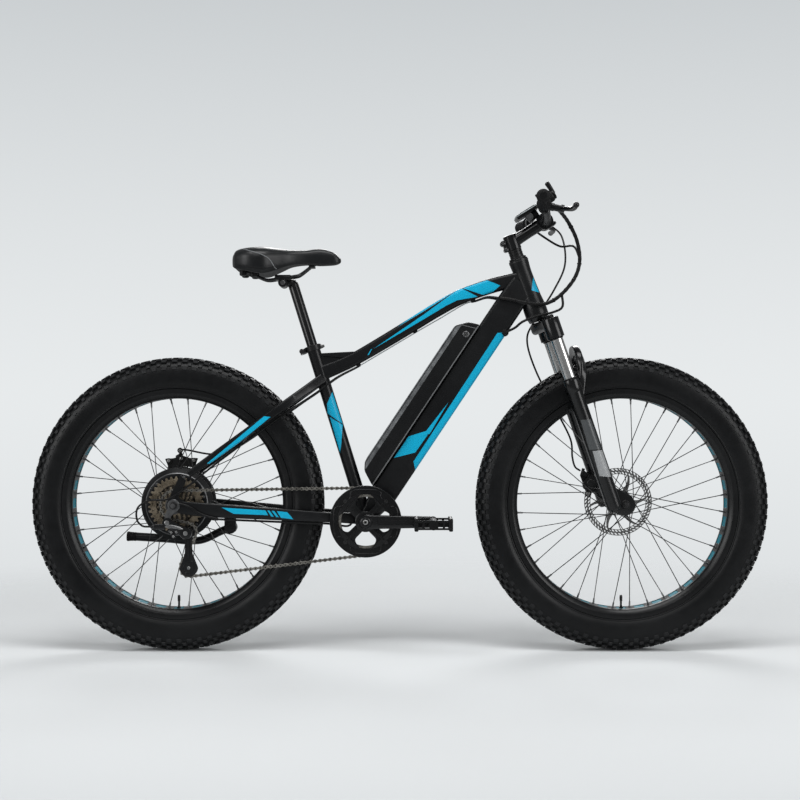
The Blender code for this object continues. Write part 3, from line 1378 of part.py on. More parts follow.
def make_grip(side):
    """Rubber grip, closed over the bar's end."""
    label = "right" if side == RIGHT else "left"
    inner = bar_point(side * GRIP_INNER)
    outer_end = bar_point(side * BAR_HALF_WIDTH)
    direction = (outer_end - inner).normalized()
    depth = (outer_end - inner).length + CLEARANCE
    length = depth + GRIP_END_WALL
    bore = bore_radius(BAR_RADIUS, CLEARANCE, 12)
    profile = [
        (bore, 0.0), (0.0185, 0.0), (0.0185, 0.005), (GRIP_RADIUS, 0.007), (GRIP_RADIUS - 0.0008, length * 0.5),
        (GRIP_RADIUS, length - 0.010), (GRIP_RADIUS - 0.002, length - 0.001), (0.0, length), (0.0, depth),
        (bore, depth),
    ]
    return turned("grip_" + label, profile, axis_matrix(inner, direction, X_AXIS), 14, rubber("grip_" + label))


STEM_SLEEVE_RADIUS = 0.0190
STEM_FOOT = HEAD_TUBE_LENGTH + 0.0270


def make_spacers():
    """Stack of headset spacers between the head tube and the stem."""
    bore = bore_radius(STEERER_RADIUS, CLEARANCE, 12)
    length = STEM_FOOT - HEAD_TUBE_LENGTH - 2 * CLEARANCE
    outer = 0.0178
    groove = 0.0168
    profile = [(bore, 0.0), (0.0225, 0.0), (0.0225, 0.005), (outer, 0.008), (outer, length * 0.54),
               (groove, length * 0.58), (outer, length * 0.62), (outer, length), (bore, length)]
    place = axis_matrix(steer_point(-HEAD_TUBE_LENGTH - CLEARANCE, 0.0), -STEER_DOWN)
    return turned("headset_spacers", profile, place, 14, black_metal("headset_spacers"))


def make_stem():
    """Adjustable-angle stem: steerer sleeve, rising arm and bar clamp."""
    top = STEERER_TOP + CLEARANCE
    sleeve = rod("stem", steer_point(-STEM_FOOT, 0.0), steer_point(-top - 0.0040, 0.0), STEM_SLEEVE_RADIUS,
                 sides=12, finish=black_metal("stem"))
    clamp_centre = Vector((BAR_CLAMP_X, 0.0, BAR_CLAMP_Z))
    root = steer_point(-STEM_FOOT - 0.0190, -0.0020)
    arm = rod("stem_arm", root, clamp_centre, 0.0150, sides=12)
    clamp = cross_rod("stem_clamp", clamp_centre, -0.0230, 0.0230, 0.0215, 12)
    lug_high = steer_point(-STEM_FOOT - 0.0240, -0.0240)
    lug_low = steer_point(-STEM_FOOT - 0.0060, -0.0215)
    unite(sleeve, arm, clamp, cross_rod("stem_lug_high", lug_high, -0.0130, 0.0130, 0.0070, 12),
          cross_rod("stem_lug_low", lug_low, -0.0130, 0.0130, 0.0060, 12))
    bore = rod("stem_bore", steer_point(-STEM_FOOT + 0.01, 0.0), steer_point(-top, 0.0),
               bore_radius(STEERER_RADIUS, CLEARANCE, 12), sides=12)
    bar_bore = cross_rod("stem_bar_bore", clamp_centre, -0.04, 0.04,
                         bore_radius(BAR_CENTRE_RADIUS, CLEARANCE, 12), 12)
    return cut(sleeve, bore, bar_bore)


def make_display():
    """Display slab on a bracket that stands on the stem's arm."""
    tilt = math.radians(DISPLAY_TILT)
    along = Vector((math.cos(tilt), 0.0, math.sin(tilt)))
    up = Vector((-math.sin(tilt), 0.0, math.cos(tilt)))
    centre = Vector((BAR_CLAMP_X - 0.0462, 0.0, BAR_CLAMP_Z + 0.0225))
    slab = block("display", centre, (DISPLAY_LENGTH, DISPLAY_WIDTH, DISPLAY_THICKNESS), along, up,
                 black_plastic("display"))
    clamp_centre = Vector((BAR_CLAMP_X, 0.0, BAR_CLAMP_Z))
    root = steer_point(-STEM_FOOT - 0.0190, -0.0020)
    arm_dir = (clamp_centre - root).normalized()
    arm_up = Vector((-arm_dir.z, 0.0, arm_dir.x))
    foot = clamp_centre - arm_dir * 0.0420 + arm_up * (0.0150 + CLEARANCE)
    top = centre + along * 0.0080
    height = (top - foot).dot(arm_up)
    bracket = block("display_bracket", foot + arm_up * height / 2, (0.0220, 0.0300, height), arm_dir, arm_up)
    return unite(slab, bracket)


def control_frame(side, reach):
    """Origin on the bar, outward bar direction, forward direction and upward normal of a control."""
    origin = bar_point(side * reach)
    outward = (bar_point(side * (reach + 0.02)) - origin).normalized()
    tilt = math.radians(-12.5)
    forward = Vector((math.cos(tilt), 0.0, math.sin(tilt)))
    forward = (forward - outward * forward.dot(outward)).normalized()
    normal = outward.cross(forward) * (-side)
    if normal.z < 0:
        normal = -normal
    return origin, outward, forward, normal


PERCH_OUTER = GRIP_INNER - 0.0200
PERCH_INNER = PERCH_OUTER - 0.0160


def lever_pivot(side):
    """Where a brake lever turns on its perch."""
    origin, outward, forward, normal = control_frame(side, (PERCH_INNER + PERCH_OUTER) / 2)
    return origin + forward * LEVER_LINE + outward * 0.0040


ADJUSTER_RADIUS = 0.0048


def adjuster_line(side):
    """Start, end and unit direction of a perch's adjuster."""
    origin, outward, forward, normal = control_frame(side, (PERCH_INNER + PERCH_OUTER) / 2)
    start = origin + forward * 0.0300 - outward * 0.0060
    end = origin + forward * 0.0380 - outward * 0.0400
    return start, end, (end - start).normalized()


def adjuster_exit(side):
    """The first two points of a cable that leaves the perch's adjuster."""
    start, end, along = adjuster_line(side)
    return end + along * (CLEARANCE + 0.0001), end + along * 0.0060


def make_perch(side):
    """Brake lever perch: a clamp on the bar and a forked body that holds the lever."""
    label = "right" if side == RIGHT else "left"
    ring = rod("brake_perch_" + label, bar_point(side * PERCH_INNER), bar_point(side * PERCH_OUTER), 0.0165,
               sides=12, finish=black_metal("brake_perch_" + label))
    origin, outward, forward, normal = control_frame(side, (PERCH_INNER + PERCH_OUTER) / 2)
    body = block("perch_body", origin + forward * 0.0325, (0.0370, 0.0180, 0.0160), forward, normal)
    adjuster_start, adjuster_end, along = adjuster_line(side)
    adjuster = rod("perch_adjuster", adjuster_start, adjuster_end, ADJUSTER_RADIUS, sides=10)
    unite(ring, body, adjuster)
    cut(ring, bar_bore("perch_bar_bore", side * PERCH_INNER, side * PERCH_OUTER, CLEARANCE))
    slot_centre = lever_pivot(side) + outward * 0.0080
    slot = block("perch_slot", slot_centre, (0.0460, 0.0500, 0.0080), forward, normal)
    return cut(ring, slot)


def make_brake_lever(side):
    """Brake lever blade with a ball end."""
    label = "right" if side == RIGHT else "left"
    base = lever_pivot(side)
    origin, outward, forward, normal = control_frame(side, (PERCH_INNER + PERCH_OUTER) / 2)
    run = []
    for ahead, out, width, height in ((-0.0040, -0.004, 0.012, 0.0068), (0.0080, 0.010, 0.013, 0.0068),
                                      (0.0220, 0.028, 0.013, 0.0068), (0.0300, 0.060, 0.012, 0.0070),
                                      (0.0330, 0.090, 0.011, 0.0080), (0.0345, 0.112, 0.010, 0.0080)):
        run.append((base + forward * ahead + outward * out, width, height))
    rings = []
    for index, (centre, width, height) in enumerate(run):
        step = (run[min(index + 1, len(run) - 1)][0] - run[max(index - 1, 0)][0]).normalized()
        across = step.cross(normal).normalized()
        rings.append([centre + across * a * width / 2 + normal * b * height / 2
                      for a, b in ((-1, -0.5), (-0.5, -1), (0.5, -1), (1, -0.5), (1, 0.5), (0.5, 1), (-0.5, 1),
                                   (-1, 0.5))])
    blade = loft("brake_lever_" + label, rings, black_metal("brake_lever_" + label))

    def build(work):
        bmesh.ops.create_uvsphere(work, u_segments=8, v_segments=6, radius=0.0080)

    ball = add_object("lever_ball", mesh_from(build), None, Matrix.Translation(run[-1][0]))
    return unite(blade, ball)


SHIFTER_OUTER = PERCH_INNER - 0.0080
SHIFTER_INNER = SHIFTER_OUTER - 0.0180


def shift_axis():
    """Pivot point, axis and rest direction of the shift lever."""
    origin = bar_point(-(SHIFTER_INNER + SHIFTER_OUTER) / 2)
    axis = Vector((0.85, 0.0, 0.52)).normalized()
    rest = Vector((-0.52, 0.0, 0.85)).normalized()
    return origin + axis * 0.0300 + rest * 0.0160, axis, rest


def make_shifter():
    """Thumb shifter body: a clamp ring and the round index housing."""
    ring = rod("shifter_body", bar_point(-SHIFTER_INNER), bar_point(-SHIFTER_OUTER), 0.0160, sides=12,
               finish=black_plastic("shifter_body"))
    place, axis, rest = shift_axis()
    origin = bar_point(-(SHIFTER_INNER + SHIFTER_OUTER) / 2)
    housing = rod("shifter_housing", place - axis * 0.0140, place + axis * 0.0020, 0.0150, sides=16)
    neck = block("shifter_neck", (origin + place) / 2 + axis * 0.001, (0.0260, 0.0150, 0.0180),
                 place - origin, Y_AXIS.cross(place - origin))
    unite(ring, housing, neck)
    return cut(ring, bar_bore("shifter_bar_bore", -SHIFTER_INNER, -SHIFTER_OUTER, CLEARANCE))


def make_shift_lever():
    """Shift lever that stands on the housing's face."""
    place, axis, rest = shift_axis()
    face = place + axis * (0.0020 + CLEARANCE)
    disc = rod("shift_lever", face, face + axis * 0.0060, 0.0120, sides=16, finish=black_plastic("shift_lever"))
    blade = block("shift_blade", face + axis * 0.0030 + rest * 0.0200, (0.0060, 0.0110, 0.0320), axis, rest)
    return unite(disc, blade)


THROTTLE_OUTER = GRIP_INNER - 0.0015
THROTTLE_SPLIT = THROTTLE_OUTER - 0.0100
THROTTLE_INNER = THROTTLE_SPLIT - 0.0065


def make_throttle():
    """Fixed half of the thumb throttle."""
    return bar_ring("throttle_body", -(THROTTLE_SPLIT + CLEARANCE), -THROTTLE_OUTER, 0.0185,
                    finish=black_plastic("throttle_body"))


def make_throttle_paddle():
    """Turning half of the throttle with its thumb paddle."""
    ring = rod("throttle_paddle", bar_point(-THROTTLE_INNER), bar_point(-THROTTLE_SPLIT), THROTTLE_RING_RADIUS,
               sides=12, finish=black_plastic("throttle_paddle"))
    centre = bar_point(-(THROTTLE_INNER + THROTTLE_SPLIT) / 2)
    along_bar = (bar_point(-THROTTLE_SPLIT) - bar_point(-THROTTLE_INNER)).normalized()
    out = Vector((-0.62, 0.0, 0.78))
    out = (out - along_bar * out.dot(along_bar)).normalized()
    stalk = block("paddle_stalk", centre + out * 0.0200, (0.0080, 0.0055, 0.0140), out.cross(along_bar), out)
    pad = block("paddle_pad", centre + out * 0.0270 + along_bar * 0.0050, (0.0060, 0.0160, 0.0120),
                out.cross(along_bar), out)
    unite(ring, stalk, pad)
    return cut(ring, bar_bore("paddle_bar_bore", -THROTTLE_INNER, -THROTTLE_SPLIT, 2 * CLEARANCE))


# Seat


def post_point(distance):
    """A point on the post's axis, measured up from the seat tube's mouth."""
    return seat_tube_point(SEAT_TUBE_LENGTH + distance)


def post_top():
    """Top of the straight post."""
    return post_point((POST_TOP_Z - post_point(0.0).z) / SEAT_UP.z)


RAIL_RUN = ((-0.3980, 0.9700), (-0.3720, 0.9640), (-0.3440, 0.9535), (-0.3180, 0.9555), (-0.2700, 0.9625),
            (-0.2550, 0.9680), (-0.2290, 0.9880))


def make_seatpost():
    """Seatpost with the clamp head that grips the saddle rails."""
    top = post_top()
    post = rod("seatpost", post_point(-POST_INSERT), top, POST_RADIUS, sides=16, finish=black_metal("seatpost"))
    head = Vector((-0.3010, 0.0, 0.9455))
    arm = block("post_arm", (top + head) / 2 + Vector((0.004, 0.0, -0.002)), (0.0400, 0.0240, 0.0180),
                top - head + Vector((0.0, 0.0, 0.004)))
    cradle = cross_rod("post_cradle", head, -0.0300, 0.0300, 0.0120, 12)
    clamp_low = block("post_clamp", head + Vector((0.0, 0.0, 0.0125)), (0.0420, 0.0560, 0.0120),
                      Vector((0.99, 0.0, 0.14)))
    bolt = rod("post_bolt", head - Z_AXIS * 0.018, head + Z_AXIS * 0.026, 0.0045, sides=10)
    unite(post, arm, cradle, clamp_low, bolt)
    for side in (RIGHT, LEFT):
        rail = made_mesh(wire("rail_clearance", rail_points(side), RAIL_RADIUS + CLEARANCE, 2))
        cut(post, rail)
    return post


def rail_points(side):
    """Saddle rail route on one side, drawn in towards the nose."""
    points = []
    for index, (x, z) in enumerate(RAIL_RUN):
        spread = RAIL_SPACING if index < 5 else RAIL_SPACING - 0.006 * (index - 4)
        points.append(Vector((x, side * spread, z)))
    return points


def saddle_station(share):
    """Half width, top height and underside height of the saddle at a share of its length from the rear."""
    table = (
        (0.00, 0.036, 0.9985, 0.9870), (0.05, 0.064, 1.0215, 0.9780), (0.16, 0.084, 1.0350, 0.9700),
        (0.30, 0.0840, 1.0365, 0.9640), (0.42, 0.0640, 1.0330, 0.9750), (0.54, 0.0410, 1.0300, 0.9880),
        (0.68, 0.0275, 1.0302, 0.9935), (0.82, 0.0225, 1.0340, 0.9905), (0.93, 0.0190, 1.0300, 0.9965),
        (1.00, 0.0090, 1.0140, 1.0020),
    )
    for first, second in zip(table, table[1:]):
        if share <= second[0]:
            t = (share - first[0]) / (second[0] - first[0])
            return [a + (b - a) * t for a, b in zip(first[1:], second[1:])]
    return list(table[-1][1:])


def make_saddle():
    """Padded saddle: a crowned cage with drawn-in sides, subdivided once."""
    sections = []
    width_scale = SADDLE_WIDTH / 0.164
    lift = SADDLE_TOP_Z - 1.0345
    for share in (0.0, 0.05, 0.16, 0.30, 0.42, 0.54, 0.68, 0.82, 0.93, 1.0):
        half, top, foot = saddle_station(share)
        half *= width_scale
        height = top - foot
        x = SADDLE_REAR_X + SADDLE_LENGTH * share
        ring = []
        for a, b in ((0.0, 0.97), (0.45, 1.0), (0.86, 0.86), (1.02, 0.42), (0.88, 0.03), (0.45, 0.10),
                     (0.0, 0.14)):
            ring.append((a, b))
        full = ring + [(-a, b) for a, b in reversed(ring[1:-1])]
        sections.append([Vector((x, a * half, foot + lift + b * height)) for a, b in full])
    saddle = loft("saddle", sections, material("saddle_cover", (0.022, 0.023, 0.025), 0.45))
    subdivide = saddle.modifiers.new("soften", "SUBSURF")
    subdivide.levels = 1
    subdivide.render_levels = 1
    return smooth(saddle, 60.0)


def make_saddle_rails():
    """Two steel rails with the blocks that hold them under the saddle."""
    right = made_mesh(wire("saddle_rails", rail_points(RIGHT), RAIL_RADIUS, 2))
    right.data.materials.append(black_metal("saddle_rails"))
    left = made_mesh(wire("rail_left", rail_points(LEFT), RAIL_RADIUS, 2))
    rear = block("rail_rear_block", Vector((-0.3900, 0.0, 0.9710)), (0.0240, 0.0700, 0.0080),
                 Vector((0.95, 0.0, -0.30)))
    nose = block("rail_nose_block", Vector((-0.2270, 0.0, 0.9878)), (0.0160, 0.0340, 0.0080),
                 Vector((0.80, 0.0, 0.30)))
    return unite(right, left, rear, nose)


def make_collar():
    """Split clamp collar round the seat tube's mouth, with a boss for the lever."""
    centre = seat_tube_point(SEAT_TUBE_LENGTH - 0.0075)
    bore = bore_radius(SEAT_TUBE_RADIUS, CLEARANCE, 16)
    profile = [(bore, -0.0070), (0.0215, -0.0070), (0.0215, 0.0070), (bore, 0.0070)]
    collar = turned("seat_collar", profile, axis_matrix(centre, SEAT_UP), 16, black_metal("seat_collar"))
    back = Vector((-SEAT_UP.z, 0.0, SEAT_UP.x))
    ear = block("collar_ear", centre + back * 0.0270, (0.0150, 0.0200, 0.0120), back, SEAT_UP)
    pin = cross_rod("collar_pin", centre + back * 0.0290, -0.0170, SEAT_PIN_END, 0.0040, 12)
    nut = cross_rod("collar_nut", centre + back * 0.0290, -0.0200, -0.0110, 0.0070, 12)
    return unite(collar, ear, pin, nut)


def collar_pin_place():
    """Centre of the quick-release pin in the side view."""
    centre = seat_tube_point(SEAT_TUBE_LENGTH - 0.0075)
    back = Vector((-SEAT_UP.z, 0.0, SEAT_UP.x))
    return centre + back * 0.0290


def seat_lever_place():
    """Centre of the cam barrel that bears on the quick-release pin's end."""
    return collar_pin_place() + Y_AXIS * (SEAT_PIN_END + CLEARANCE + SEAT_CAM_RADIUS)


def make_seat_lever():
    """Quick-release lever whose cam barrel turns beside the pin, folded forward along the collar."""
    centre = seat_lever_place()
    barrel = rod("seat_qr_lever", centre - SEAT_UP * 0.0070, centre + SEAT_UP * 0.0070, SEAT_CAM_RADIUS,
                 sides=12, finish=black_metal("seat_qr_lever"))
    ahead = Vector((SEAT_UP.z, 0.0, -SEAT_UP.x))
    blade = block("seat_lever_blade", centre + ahead * 0.0310 + Y_AXIS * 0.0030, (0.0540, 0.0060, 0.0110),
                  ahead, SEAT_UP)
    return unite(barrel, blade)


# Battery and stand


def make_battery():
    """Battery case that lies on the down tube, with slanted ends and bevelled edges."""
    base = -(DOWN_TUBE_DEPTH / 2 + CLEARANCE)
    top = base - BATTERY_DEPTH
    start = BATTERY_START
    end = start + BATTERY_LENGTH
    profile = [
        (start - 0.0310, base), (start - 0.0100, base - BATTERY_DEPTH * 0.76), (start + 0.0100, top),
        (end - 0.0360, top), (end - 0.0105, base - BATTERY_DEPTH * 0.54), (end, base),
    ]
    outline = []
    for distance, offset in profile:
        point = down_tube_point(distance, offset)
        outline.append((point.x, point.z))
    half = BATTERY_WIDTH / 2
    case = made_mesh(outline_plate("battery", [outline], -half, half))
    case.data.materials.append(black_plastic("battery"))
    bevel = case.modifiers.new("edges", "BEVEL")
    bevel.width = BATTERY_CORNER
    bevel.segments = 1
    bevel.limit_method = "ANGLE"
    bevel.angle_limit = math.radians(60.0)
    return case


def make_kickstand():
    """Kickstand leg, folded back along the left side."""
    pivot_place = Vector((REAR_AXLE.x + STAND_PIVOT_AHEAD, STAND_LINE, STAND_PIVOT_Z))
    knee = pivot_place + Vector((-0.0870, 0.004, -0.0360))
    toe = pivot_place + Vector((-0.2530, 0.006, -0.0260))
    foot_end = pivot_place + Vector((-0.2780, 0.006, -0.0250))
    hub = cross_rod("kickstand", pivot_place, STAND_LINE - 0.0110, STAND_LINE + 0.0100, 0.0140, 16,
                    black_metal("kickstand"))
    thigh = rod("stand_thigh", pivot_place, knee, 0.0100, STAND_RADIUS, sides=12)
    shin = rod("stand_shin", knee + Vector((0.006, 0.0, 0.0)), toe, STAND_RADIUS, sides=12)
    foot = rod("stand_foot", toe, foot_end, 0.0105, 0.0130, sides=12)
    unite(hub, thigh, shin, foot)
    bore = cross_rod("stand_bore", pivot_place, 0.08, 0.16, bore_radius(0.0050, 0.0006, 12), 12)
    return cut(hub, bore)


# Cables


def make_shift_cable():
    """Shift housing from the head tube, under the top tube, to the rear derailleur."""
    route = [
        Vector((0.2544, -0.0330, 0.9060)), Vector((0.2250, -0.0200, 0.9090)), Vector((0.1960, -0.0090, 0.9000)),
        Vector((0.1660, -0.0090, 0.8914)), Vector((0.1055, -0.0090, 0.8560)), Vector((0.0449, -0.0090, 0.8210)),
        Vector((-0.0300, -0.0090, 0.7764)), Vector((-0.1054, -0.0090, 0.7319)), Vector((-0.1620, -0.0240, 0.7020)),
        Vector((-0.2100, -0.0260, 0.6660)), Vector((-0.2500, -0.0330, 0.6390)), Vector((-0.3000, -0.0570, 0.6050)),
        Vector((-0.4600, -0.0840, 0.4870)), Vector((-0.5300, -0.0990, 0.4300)), Vector((-0.5800, -0.1090, 0.3960)),
        Vector((-0.6280, -0.1120, 0.3920)), Vector((-0.6580, -0.1120, 0.3740)), Vector((-0.6610, -0.1100, 0.3440)),
        Vector((-0.6480, -0.1070, 0.3275)), Vector((-0.6320, -0.1058, 0.3255)), Vector((-0.6174, -0.1058, 0.3255)),
    ]
    return wire("shift_cable", smooth_route(route, 28), CABLE_RADIUS, 1, black_plastic("shift_cable"))


def make_rear_brake_cable():
    """Brake housing from the head tube, along the left of the frame, to the rear caliper."""
    route = [
        Vector((0.2544, 0.0330, 0.9060)), Vector((0.2250, 0.0200, 0.9090)), Vector((0.1960, 0.0090, 0.9000)),
        Vector((0.1660, 0.0090, 0.8914)), Vector((0.1055, 0.0090, 0.8560)), Vector((0.0449, 0.0090, 0.8210)),
        Vector((-0.0300, 0.0090, 0.7764)), Vector((-0.1054, 0.0090, 0.7319)), Vector((-0.1620, 0.0240, 0.7020)),
        Vector((-0.2100, 0.0260, 0.6660)), Vector((-0.2500, 0.0330, 0.6390)), Vector((-0.3000, 0.0570, 0.6050)),
        Vector((-0.4300, 0.0730, 0.5180)), Vector((-0.4900, 0.0790, 0.5010)), Vector((-0.5600, 0.0790, 0.5120)),
        Vector((-0.5780, 0.0785, 0.5130)),
    ]
    return wire("rear_brake_cable", smooth_route(route, 25), CABLE_RADIUS, 1, black_plastic("rear_brake_cable"))


def make_motor_cable():
    """Motor lead from the axle's end, under the right chain stay, to the bottom bracket."""
    wall = REAR_DROPOUT_INNER + DROPOUT_THICKNESS
    start = REAR_AXLE + Vector((0.0150, -wall - 0.0080, 0.0060))
    route = [start, start + Vector((0.0250, 0.0, -0.0080)), Vector((-0.5000, -wall - 0.0050, 0.3560)),
             Vector((-0.4560, -wall, 0.3430))]
    for centre, width, depth, corner in reversed(chain_stay_stations(RIGHT)[2:5]):
        route.append(centre - Z_AXIS * (depth / 2 + 0.0044) + X_AXIS * 0.004)
    route.append(Vector((BRACKET_X - 0.0400, -0.0440, BRACKET_Z - 0.0150)))
    return wire("motor_cable", smooth_route(route, 16), 0.0028, 1, black_plastic("motor_cable"))


def make_cable_loom():
    """Wrapped loom from the controls, round the front of the head tube, to the frame."""
    mouth, straight = adjuster_exit(RIGHT)
    main = [
        straight, Vector((0.4250, -0.0920, 1.0920)), Vector((0.4500, -0.0600, 1.0500)), Vector((0.4590, -0.0450, 1.0000)),
        Vector((0.4460, -0.0420, 0.9550)), Vector((0.4100, -0.0430, 0.9120)), Vector((0.3700, -0.0440, 0.8900)),
        Vector((0.3200, -0.0430, 0.8930)), Vector((0.2800, -0.0380, 0.9020)), Vector((0.2560, -0.0335, 0.9057)),
    ]
    trunk_route = [mouth] + smooth_route(main, 19)
    trunk = made_mesh(wire("cable_loom", trunk_route, 0.0048, 1))
    trunk.data.materials.append(black_plastic("cable_loom"))
    power = [
        trunk_route[8], Vector((0.4350, -0.0390, 0.9150)), Vector((0.4150, -0.0430, 0.8820)),
        Vector((0.3900, -0.0445, 0.8680)), Vector((0.3550, -0.0440, 0.8600)), Vector((0.3150, -0.0400, 0.8450)),
        Vector((0.2960, -0.0350, 0.8300)),
    ]
    perch_face, outward, forward, normal = control_frame(LEFT, PERCH_INNER)
    drop = BAR_RADIUS + 0.0030 + CLEARANCE
    branch_end = perch_face - normal * drop - outward * (CLEARANCE + 0.0001)
    left = [
        trunk_route[6], Vector((0.4500, 0.0100, 1.0420)), Vector((0.4200, 0.0640, 1.0480)),
        Vector((0.3820, 0.1140, 1.0780)), branch_end - outward * 0.0060,
    ]
    unite(trunk, made_mesh(wire("loom_power", smooth_route(power, 11), 0.0032, 1)),
          made_mesh(wire("loom_left", smooth_route(left, 9) + [branch_end], 0.0030, 1)))
    return trunk


def make_front_brake_cable():
    """Front brake housing from the left lever to the front caliper."""
    mouth, straight = adjuster_exit(LEFT)
    route = [
        straight, Vector((0.4280, 0.0920, 1.0760)), Vector((0.4330, 0.0600, 1.0000)),
        Vector((0.4020, 0.0480, 0.9300)), Vector((0.3520, 0.0600, 0.8500)), Vector((0.3350, 0.0780, 0.8000)),
        Vector((0.3600, 0.0930, 0.7200)), Vector((0.4120, 0.1000, 0.6200)), Vector((0.4500, 0.0880, 0.5420)),
        Vector((0.4530, 0.0680, 0.4950)), Vector((0.4590, 0.0585, 0.4690)), Vector((0.4732, 0.0580, 0.4584)),
    ]
    return wire("front_brake_cable", [mouth] + smooth_route(route, 25), CABLE_RADIUS, 1,
                black_plastic("front_brake_cable"))


def radial_from(centre, place):
    """Unit direction in the side view from a wheel's centre to a place."""
    return Vector((place.x - centre.x, 0.0, place.z - centre.z)).normalized()


def build_frame():
    """Pieces that are fixed to the frame."""
    make_head_tube()
    make_top_tube()
    make_down_tube()
    make_seat_tube()
    make_bracket_shell()
    for side in (RIGHT, LEFT):
        make_seat_stay(side)
        make_chain_stay(side)
    make_rear_axle()
    radial = Vector((-0.20, 0.0, 0.98)).normalized()
    make_caliper("rear_brake_caliper", REAR_AXLE + radial * (ROTOR_RADIUS - 0.002), radial, REAR_ROTOR_LINE,
                 MOTOR_LEFT_FACE + RUNNING_GAP, REAR_DROPOUT_INNER - CLEARANCE)
    make_derailleur()
    make_chain()
    make_collar()
    make_shift_cable()
    make_rear_brake_cable()
    make_motor_cable()


def build_drive():
    """Freewheel, cranks, pedals and the derailleur's cage."""
    carry(pivot("freewheel_pivot", REAR_AXLE), make_freewheel())
    crank_pivot = pivot("crank_pivot", BRACKET)
    carry(crank_pivot, make_crank_right(), make_crank_left(), make_chainring())
    for side, label in ((RIGHT, "right"), (LEFT, "left")):
        place = BRACKET + X_AXIS * (-side * CRANK_LENGTH) + Y_AXIS * side * (CRANK_OUTER_LINE + PEDAL_WIDTH / 2)
        carry(pivot("pedal_pivot_" + label, place, crank_pivot), make_pedal(side))
    guide, tension = pulley_places()
    cage_pivot = pivot("cage_pivot", guide - Y_AXIS * CHAIN_LINE)
    carry(cage_pivot, make_cage())
    carry(pivot("guide_pulley_pivot", guide - Y_AXIS * CHAIN_LINE, cage_pivot), make_pulley("guide_pulley", guide))
    carry(pivot("tension_pulley_pivot", tension - Y_AXIS * CHAIN_LINE, cage_pivot),
          make_pulley("tension_pulley", tension))


def build_rear_wheel():
    """Motor wheel: everything that turns with the rear tyre."""
    carry(pivot("rear_wheel_pivot", REAR_AXLE), make_tyre("rear_tyre", REAR_AXLE),
          make_rim("rear_rim", REAR_AXLE, MOTOR_RADIUS, REAR_FLANGE_LINE, REAR_CROSS_ANGLE),
          make_motor(), make_rotor("rear_rotor", REAR_AXLE, REAR_ROTOR_LINE))


def build_steering():
    """Steering, controls, sliding fork and front wheel."""
    steering = pivot("steering_pivot", HEAD_BOTTOM)
    carry(steering, make_fork_crown(), make_spacers(), make_stem(), make_handlebar(), make_grip(RIGHT),
          make_grip(LEFT), make_perch(RIGHT), make_perch(LEFT), make_shifter(), make_throttle(), make_display(),
          make_cable_loom())
    for side, label in ((RIGHT, "right"), (LEFT, "left")):
        carry(pivot("brake_lever_pivot_" + label, lever_pivot(side), steering), make_brake_lever(side))
    carry(pivot("shift_lever_pivot", shift_axis()[0], steering), make_shift_lever())
    throttle_place = bar_point(-(THROTTLE_INNER + THROTTLE_SPLIT) / 2)
    carry(pivot("throttle_pivot", throttle_place, steering), make_throttle_paddle())
    lowers = pivot("fork_slide", steer_point(LEG_TOP, FORK_OFFSET), steering)
    tab_centre = steer_point(LEG_BOTTOM - 0.068, FORK_OFFSET - 0.024)
    radial = radial_from(FRONT_AXLE, tab_centre)
    caliper_centre = FRONT_AXLE + radial * (ROTOR_RADIUS - 0.002)
    carry(lowers, make_fork_lowers(), make_front_axle(),
          make_caliper("front_brake_caliper", caliper_centre, radial, FRONT_ROTOR_LINE, CALIPER_INNER_LINE,
                       CALIPER_OUTER_LINE),
          make_front_brake_cable())
    carry(pivot("front_wheel_pivot", FRONT_AXLE, lowers), make_tyre("front_tyre", FRONT_AXLE),
          make_rim("front_rim", FRONT_AXLE, FRONT_FLANGE_RADIUS, FRONT_FLANGE_LINE, FRONT_CROSS_ANGLE),
          make_front_hub(),
          make_rotor("front_rotor", FRONT_AXLE, FRONT_ROTOR_LINE))


def build_seat():
    """Seatpost, saddle and the quick release."""
    carry(pivot("seatpost_slide", post_point(0.0)), make_seatpost(), make_saddle(), make_saddle_rails())
    carry(pivot("seat_lever_pivot", seat_lever_place()), make_seat_lever())


def build_extras():
    """Battery and kickstand."""
    carry(pivot("battery_slide", down_tube_point(BATTERY_START, -DOWN_TUBE_DEPTH / 2)), make_battery())
    stand_place = Vector((REAR_AXLE.x + STAND_PIVOT_AHEAD, STAND_LINE, STAND_PIVOT_Z))
    carry(pivot("kickstand_pivot", stand_place), make_kickstand())


clear_scene()
build_frame()
build_rear_wheel()
build_drive()
build_steering()
build_seat()
build_extras()
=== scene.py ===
"""Fat-tyre electric bicycle: smooth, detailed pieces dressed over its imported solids.

Forward is +X, the drive side is -Y, up is +Z and lengths are metres, as in the solids. Each piece
is a surface worked out on a grid with numpy. It rides on the body of the solid that it stands
for, and its finish is a tree of shader nodes that reads Object coordinates or a point attribute.
"""

import logging
import math
from collections.abc import Callable, Sequence
from dataclasses import dataclass, field, replace
from enum import Enum

import bpy
import numpy as np
from mathutils import Matrix


